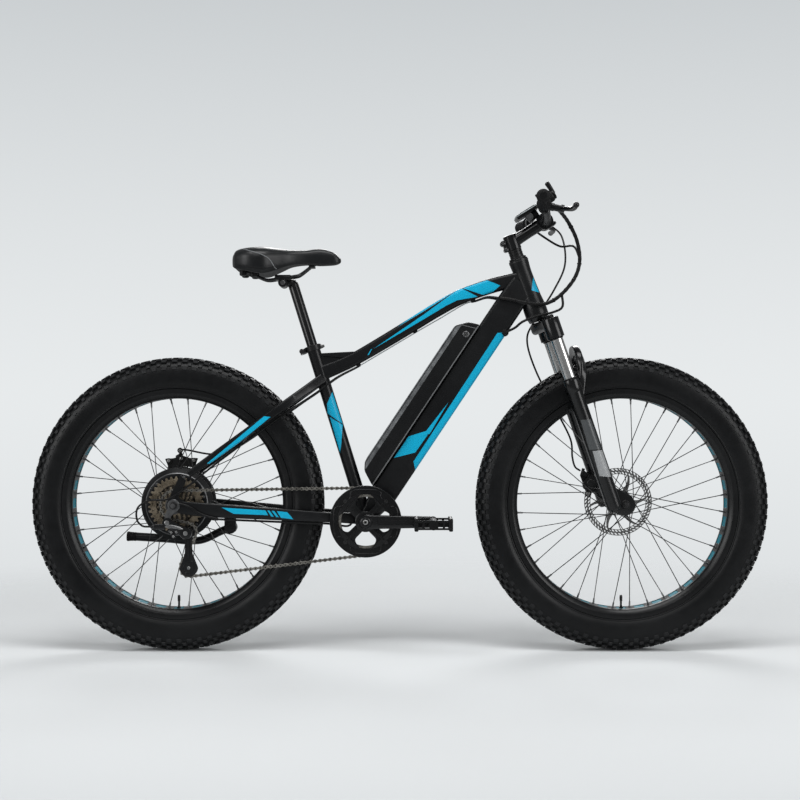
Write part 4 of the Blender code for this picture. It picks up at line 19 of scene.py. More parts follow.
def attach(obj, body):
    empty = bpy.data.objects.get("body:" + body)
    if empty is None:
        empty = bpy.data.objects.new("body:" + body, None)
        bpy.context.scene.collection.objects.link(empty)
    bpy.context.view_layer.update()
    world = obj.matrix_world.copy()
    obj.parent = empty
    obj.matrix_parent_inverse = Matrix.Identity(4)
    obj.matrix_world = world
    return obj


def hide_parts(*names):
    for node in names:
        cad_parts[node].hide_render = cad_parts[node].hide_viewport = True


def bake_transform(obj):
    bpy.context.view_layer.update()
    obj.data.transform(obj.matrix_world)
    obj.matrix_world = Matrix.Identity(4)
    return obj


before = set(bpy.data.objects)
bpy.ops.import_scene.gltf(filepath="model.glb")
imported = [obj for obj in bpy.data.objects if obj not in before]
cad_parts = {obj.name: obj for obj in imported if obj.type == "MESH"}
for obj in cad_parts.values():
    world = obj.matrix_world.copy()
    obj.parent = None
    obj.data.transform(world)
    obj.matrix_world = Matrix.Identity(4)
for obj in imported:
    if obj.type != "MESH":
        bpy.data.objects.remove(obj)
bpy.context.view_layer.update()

Array = np.ndarray
Colour = tuple[float, float, float]
LOG = logging.getLogger("bicycle")

X_AXIS = np.array((1.0, 0.0, 0.0))
Y_AXIS = np.array((0.0, 1.0, 0.0))
Z_AXIS = np.array((0.0, 0.0, 1.0))
TAU = 2.0 * math.pi

TYRE_RADIUS = 0.3775
WHEELBASE = 1.142
HEAD_ANGLE = math.radians(19.0)
SEAT_ANGLE = math.radians(17.3)
REAR_AXLE = np.array((-WHEELBASE / 2, 0.0, TYRE_RADIUS))
FRONT_AXLE = np.array((WHEELBASE / 2, 0.0, TYRE_RADIUS))
BRACKET = np.array((-0.087, 0.0, 0.336))
HEAD_FOOT = np.array((0.355, 0.0, 0.861))
STEER_DOWN = np.array((math.sin(HEAD_ANGLE), 0.0, -math.cos(HEAD_ANGLE)))
STEER_AHEAD = np.array((math.cos(HEAD_ANGLE), 0.0, math.sin(HEAD_ANGLE)))
SEAT_UP = np.array((-math.sin(SEAT_ANGLE), 0.0, math.cos(SEAT_ANGLE)))
SEAT_BACK = np.array((-math.cos(SEAT_ANGLE), 0.0, -math.sin(SEAT_ANGLE)))
DOWN_ALONG = np.array((0.5545, 0.0, 0.8322)) / math.hypot(0.5545, 0.8322)
DOWN_BELOW = np.array((DOWN_ALONG[2], 0.0, -DOWN_ALONG[0]))
CHAIN_PITCH = 0.0127
CHAIN_LINE = -0.0705
GUIDE_AXIS = np.array((-0.5385, CHAIN_LINE, 0.309))
TENSION_AXIS = np.array((-0.5355, CHAIN_LINE, 0.2185))


class Side(Enum):
    """The two sides of the bicycle, by the sign of y."""

    RIGHT = -1
    LEFT = 1

    @property
    def word(self) -> str:
        """The side's word in the names of solids."""
        return self.name.lower()


def vec(x: float, y: float, z: float) -> Array:
    """A point or direction as an array."""
    return np.array((x, y, z), float)


def mm(*rows: Sequence[float], mirrored: bool = False) -> Array:
    """Rows of millimetres as metres; mirrored adds them in reverse with their second value negated."""
    table = np.array(rows, float) / 1000.0
    return np.vstack((table, table[::-1] * np.array((1.0, -1.0)))) if mirrored else table


def unit(direction: Array) -> Array:
    """Directions scaled to length one, along the last axis."""
    length = np.linalg.norm(direction, axis=-1, keepdims=True)
    return direction / np.maximum(length, 1e-12)


def steer_point(down: float, ahead: float = 0.0, side: float = 0.0) -> Array:
    """A point given along the steering axis from the head tube's foot, ahead of it and sideways."""
    return HEAD_FOOT + STEER_DOWN * down + STEER_AHEAD * ahead + Y_AXIS * side


def seat_point(distance: float, back: float = 0.0, side: float = 0.0) -> Array:
    """A point given up the seat tube from the bottom bracket, behind its axis and sideways."""
    return BRACKET + SEAT_UP * distance + SEAT_BACK * back + Y_AXIS * side


def down_point(distance: float, below: float = 0.0, side: float = 0.0) -> Array:
    """A point given along the down tube from the bottom bracket, below its line and sideways."""
    return BRACKET + DOWN_ALONG * distance + DOWN_BELOW * below + Y_AXIS * side


@dataclass
class Shape:
    """A surface as points and faces, with one value for each point that finishes can read."""

    points: Array
    quads: Array = field(default_factory=lambda: np.zeros((0, 4), int))
    lids: list[list[int]] = field(default_factory=list)
    flow: Array | None = None

    def __post_init__(self) -> None:
        """Give each point a flow of zero where none is stated."""
        if self.flow is None:
            self.flow = np.zeros(len(self.points))

    def __add__(self, other: "Shape") -> "Shape":
        """Both surfaces as one."""
        shift = len(self.points)
        lids = self.lids + [[index + shift for index in lid] for lid in other.lids]
        return Shape(np.vstack((self.points, other.points)), np.vstack((self.quads, other.quads + shift)), lids,
                     np.concatenate((self.flow, other.flow)))

    def facing_out(self) -> "Shape":
        """The closed surface with its faces turned outwards, by the sign of its signed volume."""
        a, b, c, d = (self.points[self.quads[:, k]] for k in range(4))
        volume = float(np.sum(np.cross(a, b) * c) + np.sum(np.cross(a, c) * d))
        for lid in self.lids:
            ring = self.points[lid]
            volume += float(np.sum(np.cross(ring[1:-1], ring[2:]) @ ring[0]))
        if volume >= 0:
            return self
        return Shape(self.points, self.quads[:, ::-1], [lid[::-1] for lid in self.lids], self.flow)

    def tagged(self, value: float) -> "Shape":
        """The same surface with one flow value all over."""
        return Shape(self.points, self.quads, self.lids, np.full(len(self.points), value))

    def mirrored(self) -> "Shape":
        """The surface on the other side of the bicycle, its faces turned back outwards."""
        points = self.points * np.array((1.0, -1.0, 1.0))
        return Shape(points, self.quads[:, ::-1], [lid[::-1] for lid in self.lids], self.flow)

    def sided(self, side: Side) -> "Shape":
        """The surface, made for the left, on the side that is asked for."""
        return self if side is Side.LEFT else self.mirrored()

    def repeated(self, turns: Array, shifts: Array) -> "Shape":
        """Copies of the surface, all at once: each point is turned by a matrix and then shifted.

        Args:
            turns: Rotation matrices, (copies, 3, 3), whose columns are the local axes.
            shifts: Places, (copies, 3).

        Returns:
            The copies as one surface.
        """
        copies = len(shifts)
        points = np.einsum("kij,pj->kpi", turns, self.points) + shifts[:, None, :]
        offsets = np.arange(copies) * len(self.points)
        quads = (self.quads[None] + offsets[:, None, None]).reshape(-1, 4)
        lids = [[index + offset for index in lid] for offset in offsets.tolist() for lid in self.lids]
        return Shape(points.reshape(-1, 3), quads, lids, np.tile(self.flow, copies))


def joined(shapes: Sequence[Shape]) -> Shape:
    """Several surfaces as one."""
    total = shapes[0]
    for shape in shapes[1:]:
        total = total + shape
    return total


def axes(direction: Array, side: Array = Y_AXIS) -> Array:
    """Columns x, y, z of a frame whose z runs along direction, with y as near side as it can be."""
    z_dir = unit(np.asarray(direction, float))
    y_dir = side - z_dir * (side @ z_dir)
    if np.linalg.norm(y_dir) < 1e-6:
        y_dir = X_AXIS - z_dir * (X_AXIS @ z_dir)
    y_dir = unit(y_dir)
    return np.stack((np.cross(y_dir, z_dir), y_dir, z_dir), axis=1)


def skin(rows: Array, looped: bool = False, capped: bool = True, flow: Array | None = None) -> Shape:
    """Stretch a closed skin over rows of points.

    Point (i, j) is joined to (i, j+1), (i+1, j+1) and (i+1, j), and each row closes on itself.

    Args:
        rows: Points, (rows, count, 3).
        looped: Whether the last row joins the first, as in a ring.
        capped: Whether a flat lid closes the first and the last row.
        flow: One value for each row, which finishes can read.

    Returns:
        The surface with its faces outwards.
    """
    rows = np.asarray(rows, float)
    height, count = rows.shape[:2]
    low = np.arange(height if looped else height - 1)
    high = (low + 1) % height
    near = np.arange(count)
    far = (near + 1) % count
    quads = np.stack((low[:, None] * count + near, low[:, None] * count + far, high[:, None] * count + far,
                      high[:, None] * count + near), axis=-1).reshape(-1, 4)
    lids = []
    if capped and not looped:
        lids = [near[::-1].tolist(), (near + (height - 1) * count).tolist()]
    values = None if flow is None else np.repeat(np.asarray(flow, float), count)
    return Shape(rows.reshape(-1, 3), quads, lids, values).facing_out()


def curve(points: Sequence[Array] | Array, count: int, looped: bool = False) -> Array:
    """Points on a Catmull-Rom curve: each span blends its four neighbours by a cubic in t.

    Args:
        points: The points that the curve passes through, of any dimension.
        count: How many points come back, evenly spaced in t.
        looped: Whether the curve closes on itself.

    Returns:
        The curve's points, (count, dimension).
    """
    given = np.asarray(points, float)
    if looped:
        ends = np.vstack((given[-1:], given, given[:2]))
        place = np.arange(count) * len(given) / count
    else:
        ends = np.vstack((2 * given[0] - given[1], given, 2 * given[-1] - given[-2]))
        place = np.linspace(0.0, len(given) - 1.0, count)
    span = np.minimum(place.astype(int), len(ends) - 4)
    t = (place - span)[:, None]
    a, b, c, d = (ends[span + k] for k in range(4))
    return 0.5 * (2 * b + (c - a) * t + (2 * a - 5 * b + 4 * c - d) * t ** 2 + (3 * b - a - 3 * c + d) * t ** 3)


def even(path: Array, count: int) -> Array:
    """The same line with its points spaced evenly by length."""
    length = np.concatenate(([0.0], np.cumsum(np.linalg.norm(np.diff(path, axis=0), axis=1))))
    target = np.linspace(0.0, length[-1], count)
    return np.stack([np.interp(target, length, path[:, k]) for k in range(path.shape[1])], axis=1)


def circle(count: int, phase: float = 0.0) -> Array:
    """Unit circle as (count, 2): the cosine and sine of evenly spaced angles."""
    return circle_at(phase + np.arange(count) * TAU / count)


def circle_at(angle: Array) -> Array:
    """Unit (x, z) directions at the given angles."""
    return np.stack((np.cos(angle), np.sin(angle)), axis=1)


def oval(half_width: float, half_depth: float, power: float = 2.0, count: int = 24) -> Array:
    """A superellipse, (count, 2): |x/a| and |y/b| raised to the power add up to one."""
    ring = circle(count, TAU / (2 * count))
    shaped = np.sign(ring) * np.abs(ring) ** (2.0 / power)
    return shaped * np.array((half_width, half_depth))


def rounded(width: float, depth: float, corner: float, steps: int = 4) -> Array:
    """A rectangle with quarter-round corners, (4 * (steps + 1), 2), round its middle."""
    turn = np.linspace(0.0, math.pi / 2, steps + 1)
    quarter = np.arange(4)[:, None] * math.pi / 2 + turn
    signs = np.array(((1, 1), (-1, 1), (-1, -1), (1, -1)), float)[:, None, :]
    middle = signs * np.array((width / 2 - corner, depth / 2 - corner))
    return (middle + corner * np.stack((np.cos(quarter), np.sin(quarter)), axis=-1)).reshape(-1, 2)


def sweep(path: Array, section: Array, hint: Array | None = None, scale: Array | None = None, looped: bool = False,
          capped: bool = True) -> Shape:
    """Carry a section along a path: point = path + section x * across + section y * over.

    Across is the hint made square to the path's run, and over is the run crossed with across.

    Args:
        path: Stations, (k, 3).
        section: One section (n, 2) for all stations, or one for each, (k, n, 2).
        hint: The direction that the section's x follows; without one, the direction that the
            path leans towards least.
        scale: A factor on the section at each station.
        looped: Whether the path closes on itself.
        capped: Whether flat lids close the ends.

    Returns:
        The surface, whose flow is the distance along the path.
    """
    path = np.asarray(path, float)
    if looped:
        run = unit(np.roll(path, -1, axis=0) - np.roll(path, 1, axis=0))
    else:
        run = unit(np.gradient(path, axis=0))
    if hint is None:
        hint = np.linalg.eigh(run.T @ run)[1][:, 0]
    across = unit(hint - run * (run @ hint)[:, None])
    over = np.cross(run, across)
    section = np.asarray(section, float)
    if section.ndim == 2:
        section = np.broadcast_to(section, (len(path), *section.shape))
    if scale is not None:
        section = section * np.asarray(scale, float)[:, None, None]
    rows = (path[:, None] + section[..., :1] * across[:, None] + section[..., 1:] * over[:, None])
    travel = np.concatenate(([0.0], np.cumsum(np.linalg.norm(np.diff(path, axis=0), axis=1))))
    return skin(rows, looped, capped, travel)


def tube(path: Array, radius: float | Array, sides: int = 12, dome: bool = True) -> Shape:
    """A round tube along a path; each end closes through two rows that shrink like a dome."""
    path = np.asarray(path, float)
    radii = np.broadcast_to(np.asarray(radius, float), (len(path),)).copy()
    if dome:
        first, last = unit(path[0] - path[1]), unit(path[-1] - path[-2])
        a, b = radii[0], radii[-1]
        path = np.vstack((path[:1], path[0] - first * a * 0.5, path[1:-1], path[-1] - last * b * 0.5, path[-1:]))
        radii = np.concatenate(([a * 0.72, a], radii[1:-1], [b, b * 0.72]))
    return sweep(path, circle(sides), scale=radii)


def turned(profile: Sequence[tuple[float, float]] | Array, origin: Array, direction: Array, steps: int = 32,
           ring: bool = False, phase: float = 0.0) -> Shape:
    """Turn a profile of (radius, height) round an axis: point = origin + radius * (cos, sin) + height.

    Args:
        profile: The (radius, height) points in order, ends on small radii get a flat lid.
        origin: Where height is zero.
        direction: The axis.
        steps: Points round the axis.
        ring: Whether the profile closes on itself.
        phase: Where the first point lies, in radians.

    Returns:
        The closed surface.
    """
    profile = np.asarray(profile, float)
    basis = axes(direction)
    spin = circle(steps, phase) @ basis[:, :2].T
    rows = origin + profile[:, None, :1] * spin + profile[:, None, 1:] * basis[:, 2]
    return skin(rows, looped=ring, capped=not ring)


def rod(start: Array, end: Array, radius: float, sides: int = 24, edge: float = 0.0008, end_radius: float
        | None = None) -> Shape:
    """A round bar between two points with its two rims broken by a small chamfer."""
    tip = radius if end_radius is None else end_radius
    length = float(np.linalg.norm(end - start))
    profile = ((radius - edge, 0.0), (radius, edge), (tip, length - edge), (tip - edge, length))
    return turned(profile, start, end - start, sides)


def block(centre: Array, size: Sequence[float], along: Array = X_AXIS, up: Array = Z_AXIS, corner: float = 0.002,
          edge: float = 0.001) -> Shape:
    """A box of (along, side, up) with rounded long edges and chamfered ends."""
    up = unit(np.asarray(up, float))
    along = unit(along - up * (along @ up))
    across = np.cross(up, along)
    corner = min(corner, size[1] * 0.49, size[2] * 0.49)
    outer = rounded(size[1], size[2], corner)
    inner = rounded(size[1] - 2 * edge, size[2] - 2 * edge, max(corner - edge, 0.0002))
    half = size[0] / 2
    layers = ((inner, -half), (outer, -half + edge), (outer, half - edge), (inner, half))
    return skin(np.array([centre + along * x + ring[:, :1] * across + ring[:, 1:] * up for ring, x in layers]))


def inset(outline: Array, depth: float) -> Array:
    """A closed outline moved inwards by depth, along the mean of its two edges' normals."""
    after = unit(np.roll(outline, -1, axis=0) - outline)
    before = np.roll(after, 1, axis=0)
    normal = unit(np.stack((-(after + before)[:, 1], (after + before)[:, 0]), axis=1))
    area = np.sum(outline[:, 0] * np.roll(outline[:, 1], -1) - outline[:, 1] * np.roll(outline[:, 0], -1))
    return outline + normal * depth * (1.0 if area > 0 else -1.0)


def plate(outline: Sequence[tuple[float, float]] | Array, y_from: float, y_to: float, edge: float = 0.0006,
          steps: int = 1) -> Shape:
    """A flat plate: a side-view outline of (x, z) carried across, with its rims chamfered or rounded.

    Args:
        outline: The closed outline.
        y_from: One face.
        y_to: The other face.
        edge: How far the rim's chamfer or round reaches in.
        steps: One for a chamfer, more for a quarter-round.

    Returns:
        The closed surface.
    """
    outline = np.asarray(outline, float)
    low, high = min(y_from, y_to), max(y_from, y_to)
    turn = np.linspace(0.0, math.pi / 2, steps + 1)
    rows = [np.insert(inset(outline, edge * (1 - math.sin(t))), 1, low + edge * (1 - math.cos(t)), axis=1)
            for t in turn]
    rows += [np.insert(inset(outline, edge * (1 - math.sin(t))), 1, high - edge * (1 - math.cos(t)), axis=1)
             for t in turn[::-1]]
    return skin(np.array(rows))


def band(outer: Array, inner: Array, y_from: float, y_to: float, edge: float = 0.0004) -> Shape:
    """A flat ring between two side-view outlines of equal count, with its rims chamfered."""
    low, high = min(y_from, y_to), max(y_from, y_to)
    outer_in, inner_out = inset(outer, edge), inset(inner, -edge)
    rows = [np.insert(flat, 1, y, axis=1) for flat, y in ((outer_in, low), (outer, low + edge), (outer, high - edge),
                                                          (outer_in, high), (inner_out, high), (inner, high - edge),
                                                          (inner, low + edge), (inner_out, low))]
    return skin(np.array(rows), looped=True)


def disc(centre: Array, radius: float, count: int = 64, phase: float = 0.0) -> Array:
    """A side-view circle of (x, z) round a point."""
    return centre[[0, 2]] + radius * circle(count, phase)


def bolt(centre: Array, direction: Array, radius: float, height: float) -> Shape:
    """A socket-head screw: a chamfered head whose rim steps down into a six-sided recess."""
    hexagon = np.repeat(circle(6), 2, axis=0)
    hexagon = (hexagon + np.roll(hexagon, -1, axis=0)) / 2
    basis = axes(direction)
    rows = []
    for flat, share, lift in ((circle(12), 1.0, 0.0), (circle(12), 1.0, height * 0.8), (circle(12), 0.86, height),
                              (hexagon, 0.56, height), (hexagon, 0.52, height * 0.35)):
        rows.append(centre + radius * share * flat @ basis[:, :2].T + lift * basis[:, 2])
    return skin(np.array(rows))


def nut(centre: Array, direction: Array, radius: float, height: float) -> Shape:
    """A six-sided nut with a domed top: hexagon rows, then round rows that shrink."""
    hexagon = np.repeat(circle(6), 4, axis=0)
    share = np.tile(np.arange(4) / 4.0, 6)[:, None]
    hexagon = hexagon * (1 - share) + np.roll(hexagon, -4, axis=0) * share
    basis = axes(direction)
    rows = []
    for flat, size, lift in ((hexagon, 1.0, 0.0), (hexagon, 1.0, height * 0.75), (circle(24), 0.86, height * 0.9),
                             (circle(24), 0.55, height), (circle(24), 0.3, height)):
        rows.append(centre + radius * size * flat @ basis[:, :2].T + lift * basis[:, 2])
    return skin(np.array(rows))


def new_group(name: str, inputs: Sequence[tuple[str, str, object]],
              outputs: Sequence[tuple[str, str]]) -> tuple[bpy.types.NodeTree, bpy.types.Node, bpy.types.Node]:
    """An empty shader node group with its sockets.

    Args:
        name: The group's name.
        inputs: (name, socket type, default) of each input.
        outputs: (name, socket type) of each output.

    Returns:
        The group with its input and output nodes.
    """
    group = bpy.data.node_groups.new(name, "ShaderNodeTree")
    for label, kind, default in inputs:
        socket = group.interface.new_socket(name=label, in_out="INPUT", socket_type=kind)
        socket.default_value = default
    for label, kind in outputs:
        group.interface.new_socket(name=label, in_out="OUTPUT", socket_type=kind)
    return group, group.nodes.new("NodeGroupInput"), group.nodes.new("NodeGroupOutput")


def feed(tree: bpy.types.NodeTree, node: bpy.types.Node, inputs: dict[int | str, object]) -> None:
    """Link inputs of a node to sockets, or set them to plain values.

    Args:
        tree: The tree that the node is in.
        node: The node.
        inputs: A socket or a value for each input's name or number.
    """
    for key, value in inputs.items():
        if isinstance(value, bpy.types.NodeSocket):
            tree.links.new(value, node.inputs[key])
        else:
            node.inputs[key].default_value = value


def made_node(tree: bpy.types.NodeTree, kind: str, inputs: dict[int | str, object] | None = None,
              **settings: object) -> bpy.types.Node:
    """A new node in a shader tree.

    Args:
        tree: The tree that it goes into.
        kind: Its type's name.
        inputs: A socket or a value for each input's name or number, set after the settings.
        settings: The node's own properties.

    Returns:
        The node.
    """
    node = tree.nodes.new(kind)
    for name, value in settings.items():
        setattr(node, name, value)
    feed(tree, node, inputs or {})
    return node


def math_node(tree: bpy.types.NodeTree, operation: str, *values: object, clamp: bool = False) -> bpy.types.NodeSocket:
    """A Math node fed by sockets or numbers; its result."""
    return made_node(tree, "ShaderNodeMath", dict(enumerate(values)), operation=operation, use_clamp=clamp).outputs[0]


def mix_colour(tree: bpy.types.NodeTree, share: object, first: object, second: object) -> bpy.types.NodeSocket:
    """A Mix node between two colours, each a socket or a plain colour; its result."""
    ends = [value if isinstance(value, bpy.types.NodeSocket) else (*value, 1.0) for value in (first, second)]
    return made_node(tree, "ShaderNodeMix", {0: share, 6: ends[0], 7: ends[1]}, data_type="RGBA").outputs[2]


def object_place(tree: bpy.types.NodeTree) -> bpy.types.NodeSocket:
    """The Object coordinates of a shaded point."""
    return tree.nodes.new("ShaderNodeTexCoord").outputs["Object"]


class Effects:
    """The shader node groups that several finishes share, each built once."""

    def __init__(self) -> None:
        """Build every group."""
        self.mottle = self.build_mottle()
        self.grain = self.build_grain()
        self.wear = self.build_wear()
        self.area = self.build_area()

    @staticmethod
    def build_mottle() -> bpy.types.NodeTree:
        """Slow change of tone over a surface: two noises of Object coordinates, one fine, one broad."""
        group, source, sink = new_group("tone_mottle", (("Scale", "NodeSocketFloat", 6.0),
                                                        ("Contrast", "NodeSocketFloat", 1.0)),
                                        (("Value", "NodeSocketFloat"),))
        place, scale = object_place(group), source.outputs["Scale"]
        broad = made_node(group, "ShaderNodeTexNoise", {"Vector": place, "Scale": scale, "Detail": 4.0})
        close = math_node(group, "MULTIPLY", scale, 9.0)
        fine = made_node(group, "ShaderNodeTexNoise", {"Vector": place, "Scale": close, "Detail": 3.0})
        both = math_node(group, "ADD", math_node(group, "MULTIPLY", broad.outputs[0], 0.7),
                         math_node(group, "MULTIPLY", fine.outputs[0], 0.3))
        spread = math_node(group, "MULTIPLY", math_node(group, "SUBTRACT", both, 0.5), source.outputs["Contrast"])
        feed(group, sink, {0: math_node(group, "MULTIPLY_ADD", spread, 3.0, 0.5, clamp=True)})
        return group

    @staticmethod
    def build_grain() -> bpy.types.NodeTree:
        """Fine surface texture: noise on stretched Object coordinates, and cells for a pebbled skin."""
        group, source, sink = new_group("surface_grain", (("Scale", "NodeSocketFloat", 600.0),
                                                          ("Stretch", "NodeSocketVector", (1.0, 1.0, 1.0)),
                                                          ("Pebble", "NodeSocketFloat", 0.0)),
                                        (("Height", "NodeSocketFloat"),))
        stretch = made_node(group, "ShaderNodeVectorMath", {0: object_place(group), 1: source.outputs["Stretch"]},
                            operation="MULTIPLY")
        where = {"Vector": stretch.outputs[0], "Scale": source.outputs["Scale"]}
        noise = made_node(group, "ShaderNodeTexNoise", {**where, "Detail": 2.0})
        cells = made_node(group, "ShaderNodeTexVoronoi", where)
        blend = made_node(group, "ShaderNodeMix", {0: source.outputs["Pebble"], 2: noise.outputs[0],
                                                   3: cells.outputs["Distance"]})
        feed(group, sink, {0: blend.outputs[0]})
        return group

    @staticmethod
    def build_wear() -> bpy.types.NodeTree:
        """Specks and rubs where a coat is thin: a patchy noise cut by a threshold."""
        group, source, sink = new_group("rubbed_specks", (("Scale", "NodeSocketFloat", 140.0),
                                                          ("Cover", "NodeSocketFloat", 0.02)),
                                        (("Mask", "NodeSocketFloat"),))
        noise = made_node(group, "ShaderNodeTexNoise", {"Vector": object_place(group), "Detail": 6.0,
                                                        "Scale": source.outputs["Scale"], "Roughness": 0.7})
        level = math_node(group, "SUBTRACT", 0.76, source.outputs["Cover"])
        edge = math_node(group, "SUBTRACT", noise.outputs[0], level)
        feed(group, sink, {0: math_node(group, "MULTIPLY", edge, 30.0, clamp=True)})
        return group

    @staticmethod
    def build_area() -> bpy.types.NodeTree:
        """A crisp painted area in the side view: the least signed distance to six edges, cut at zero.

        Each edge is a vector (a, b, c), and a * x + b * z + c is the distance inside it. Points
        nearer the middle plane than Inner stay bare.
        """
        inputs = [(f"Edge {k}", "NodeSocketVector", (0.0, 0.0, 1.0)) for k in range(6)]
        group, source, sink = new_group("painted_area", (*inputs, ("Inner", "NodeSocketFloat", 0.0)),
                                        (("Mask", "NodeSocketFloat"),))
        split = made_node(group, "ShaderNodeSeparateXYZ", {0: object_place(group)})
        flat = made_node(group, "ShaderNodeCombineXYZ", {0: split.outputs[0], 1: split.outputs[2], 2: 1.0})
        least = math_node(group, "SUBTRACT", math_node(group, "ABSOLUTE", split.outputs[1]), source.outputs["Inner"])
        for k in range(6):
            dot = made_node(group, "ShaderNodeVectorMath", {0: flat.outputs[0], 1: source.outputs[k]},
                            operation="DOT_PRODUCT")
            least = math_node(group, "MINIMUM", least, dot.outputs["Value"])
        feed(group, sink, {0: math_node(group, "MULTIPLY_ADD", least, 3000.0, 0.5, clamp=True)})
        return group


EFFECTS = Effects()


@dataclass(frozen=True)
class Patch:
    """A painted area: its convex corners in the side view, its colour and how far in it reaches."""

    corners: Array
    colour: Colour
    inner: float = 0.0

    def edges(self) -> list[tuple[float, float, float]]:
        """Each side of the area as (a, b, c), with a unit normal that points inwards."""
        ring = np.array(self.corners)
        after = np.roll(ring, -1, axis=0)
        area = np.sum(ring[:, 0] * after[:, 1] - ring[:, 1] * after[:, 0])
        run = unit(after - ring) * (1.0 if area > 0 else -1.0)
        normal = np.stack((-run[:, 1], run[:, 0]), axis=1)
        return [(float(n[0]), float(n[1]), float(-n @ p)) for n, p in zip(normal, ring)]


@dataclass(frozen=True)
class Finish:
    """How a surface looks: two tones that drift into each other, gloss, texture and wear."""

    name: str
    tone: Colour
    shade: Colour
    roughness: float
    metallic: float = 0.0
    specular: float = 0.5
    coat: float = 0.0
    spread: float = 0.1
    mottle: float = 7.0
    grain: float = 900.0
    stretch: tuple[float, float, float] = (1.0, 1.0, 1.0)
    pebble: float = 0.0
    depth: float = 0.1
    worn: Colour = (0.2, 0.2, 0.2)
    cover: float = 0.0
    patches: tuple[Patch, ...] = ()
    outward: bool = False
    flow_colour: Colour | None = None
    flow_roughness: float = 0.5

    def material(self) -> bpy.types.Material:
        """The finish as a material, made once for each name.

        Returns:
            A material whose colour, roughness and normal all vary over the surface.
        """
        found = bpy.data.materials.get(self.name)
        if found:
            return found
        made = bpy.data.materials.new(self.name)
        made.use_nodes = True
        tree = made.node_tree
        shader = tree.nodes["Principled BSDF"]
        mottle = self.placed(tree, EFFECTS.mottle, Scale=self.mottle)
        colour = mix_colour(tree, mottle, self.tone, self.shade)
        rough = math_node(tree, "MULTIPLY_ADD", mottle, self.spread, self.roughness - self.spread / 2)
        if self.cover > 0.0:
            specks = self.placed(tree, EFFECTS.wear, Cover=self.cover)
            colour = mix_colour(tree, specks, colour, self.worn)
        for patch in self.patches:
            values = {f"Edge {k}": edge for k, edge in enumerate(patch.edges())}
            mask = self.placed(tree, EFFECTS.area, Inner=patch.inner, **values)
            if self.outward:
                mask = math_node(tree, "MULTIPLY", mask, self.tag(tree))
            tint = mix_colour(tree, mottle, patch.colour, tuple(c * 0.9 for c in patch.colour))
            colour = mix_colour(tree, mask, colour, tint)
        if self.flow_colour is not None:
            mask = self.tag(tree)
            colour = mix_colour(tree, mask, colour, self.flow_colour)
            rough = math_node(tree, "ADD", math_node(tree, "MULTIPLY", rough, math_node(tree, "SUBTRACT", 1.0, mask)),
                              math_node(tree, "MULTIPLY", mask, self.flow_roughness))
        height = self.placed(tree, EFFECTS.grain, Scale=self.grain, Stretch=self.stretch, Pebble=self.pebble)
        bump = made_node(tree, "ShaderNodeBump", {"Strength": self.depth, "Distance": 0.0006, "Height": height})
        feed(tree, shader, {"Base Color": colour, "Roughness": rough, "Metallic": self.metallic,
                            "Specular IOR Level": self.specular, "Coat Weight": self.coat, "Coat Roughness": 0.12,
                            "Normal": bump.outputs[0]})
        return made

    @staticmethod
    def tag(tree: bpy.types.NodeTree) -> bpy.types.NodeSocket:
        """A crisp mask from the mesh's own flow attribute."""
        flow = made_node(tree, "ShaderNodeAttribute", attribute_name="flow")
        return math_node(tree, "MULTIPLY_ADD", flow.outputs["Fac"], 12.0, -5.5, clamp=True)

    @staticmethod
    def placed(tree: bpy.types.NodeTree, group: bpy.types.NodeTree, **values: object) -> bpy.types.NodeSocket:
        """A shared effect in a material with its own values; its first output."""
        return made_node(tree, "ShaderNodeGroup", node_tree=group, inputs=values).outputs[0]


TEAL: Colour = (0.004, 0.34, 0.545)

SATIN_BLACK = Finish("satin_black_paint", (0.0026, 0.0029, 0.0034), (0.0052, 0.0056, 0.0062), 0.3, specular=0.24,
                     grain=1500.0, depth=0.015)
GLOSS_BLACK = Finish("gloss_black_paint", (0.0016, 0.0018, 0.0021), (0.0034, 0.0037, 0.0042), 0.2, specular=0.36,
                     grain=900.0, depth=0.012)
ANODISED = Finish("black_anodised_alloy", (0.005, 0.0051, 0.0054), (0.01, 0.0102, 0.0106), 0.32, metallic=0.08,
                  specular=0.24, grain=1800.0, depth=0.02, worn=(0.12, 0.12, 0.13), cover=0.015)
BRUSHED_BLACK = Finish("brushed_black_alloy", (0.01, 0.01, 0.0104), (0.018, 0.018, 0.0187), 0.3, metallic=0.12,
                       specular=0.28, grain=1100.0, stretch=(1.0, 0.06, 1.0), depth=0.03, worn=(0.14, 0.14, 0.15),
                       cover=0.015)
MOULDED = Finish("moulded_black_plastic", (0.0036, 0.0038, 0.0041), (0.007, 0.0072, 0.0076), 0.44, specular=0.15,
                 grain=1400.0, depth=0.1)
SMOOTH_PLASTIC = Finish("smooth_black_plastic", (0.002, 0.0022, 0.0025), (0.0042, 0.0044, 0.0048), 0.25, specular=0.24,
                        grain=2200.0, depth=0.02)
TYRE_RUBBER = Finish("tyre_rubber", (0.0022, 0.0024, 0.0027), (0.0052, 0.0056, 0.0061), 0.38, specular=0.17, spread=0.2,
                     mottle=5.0, grain=1300.0, depth=0.12, worn=(0.03, 0.029, 0.028), cover=0.035,
                     flow_colour=(0.0125, 0.013, 0.0138), flow_roughness=0.42)
GRIP_RUBBER = Finish("grip_rubber", (0.0052, 0.0053, 0.0056), (0.0092, 0.0093, 0.0097), 0.56, specular=0.12,
                     grain=1100.0, pebble=0.6, depth=0.3)
HOUSING = Finish("cable_housing", (0.0026, 0.0027, 0.0029), (0.0052, 0.0053, 0.0056), 0.32, specular=0.22, grain=1600.0,
                 depth=0.02)
WRAP = Finish("loom_wrap", (0.0034, 0.0034, 0.0037), (0.007, 0.007, 0.0074), 0.42, specular=0.18, grain=800.0,
              depth=0.1)
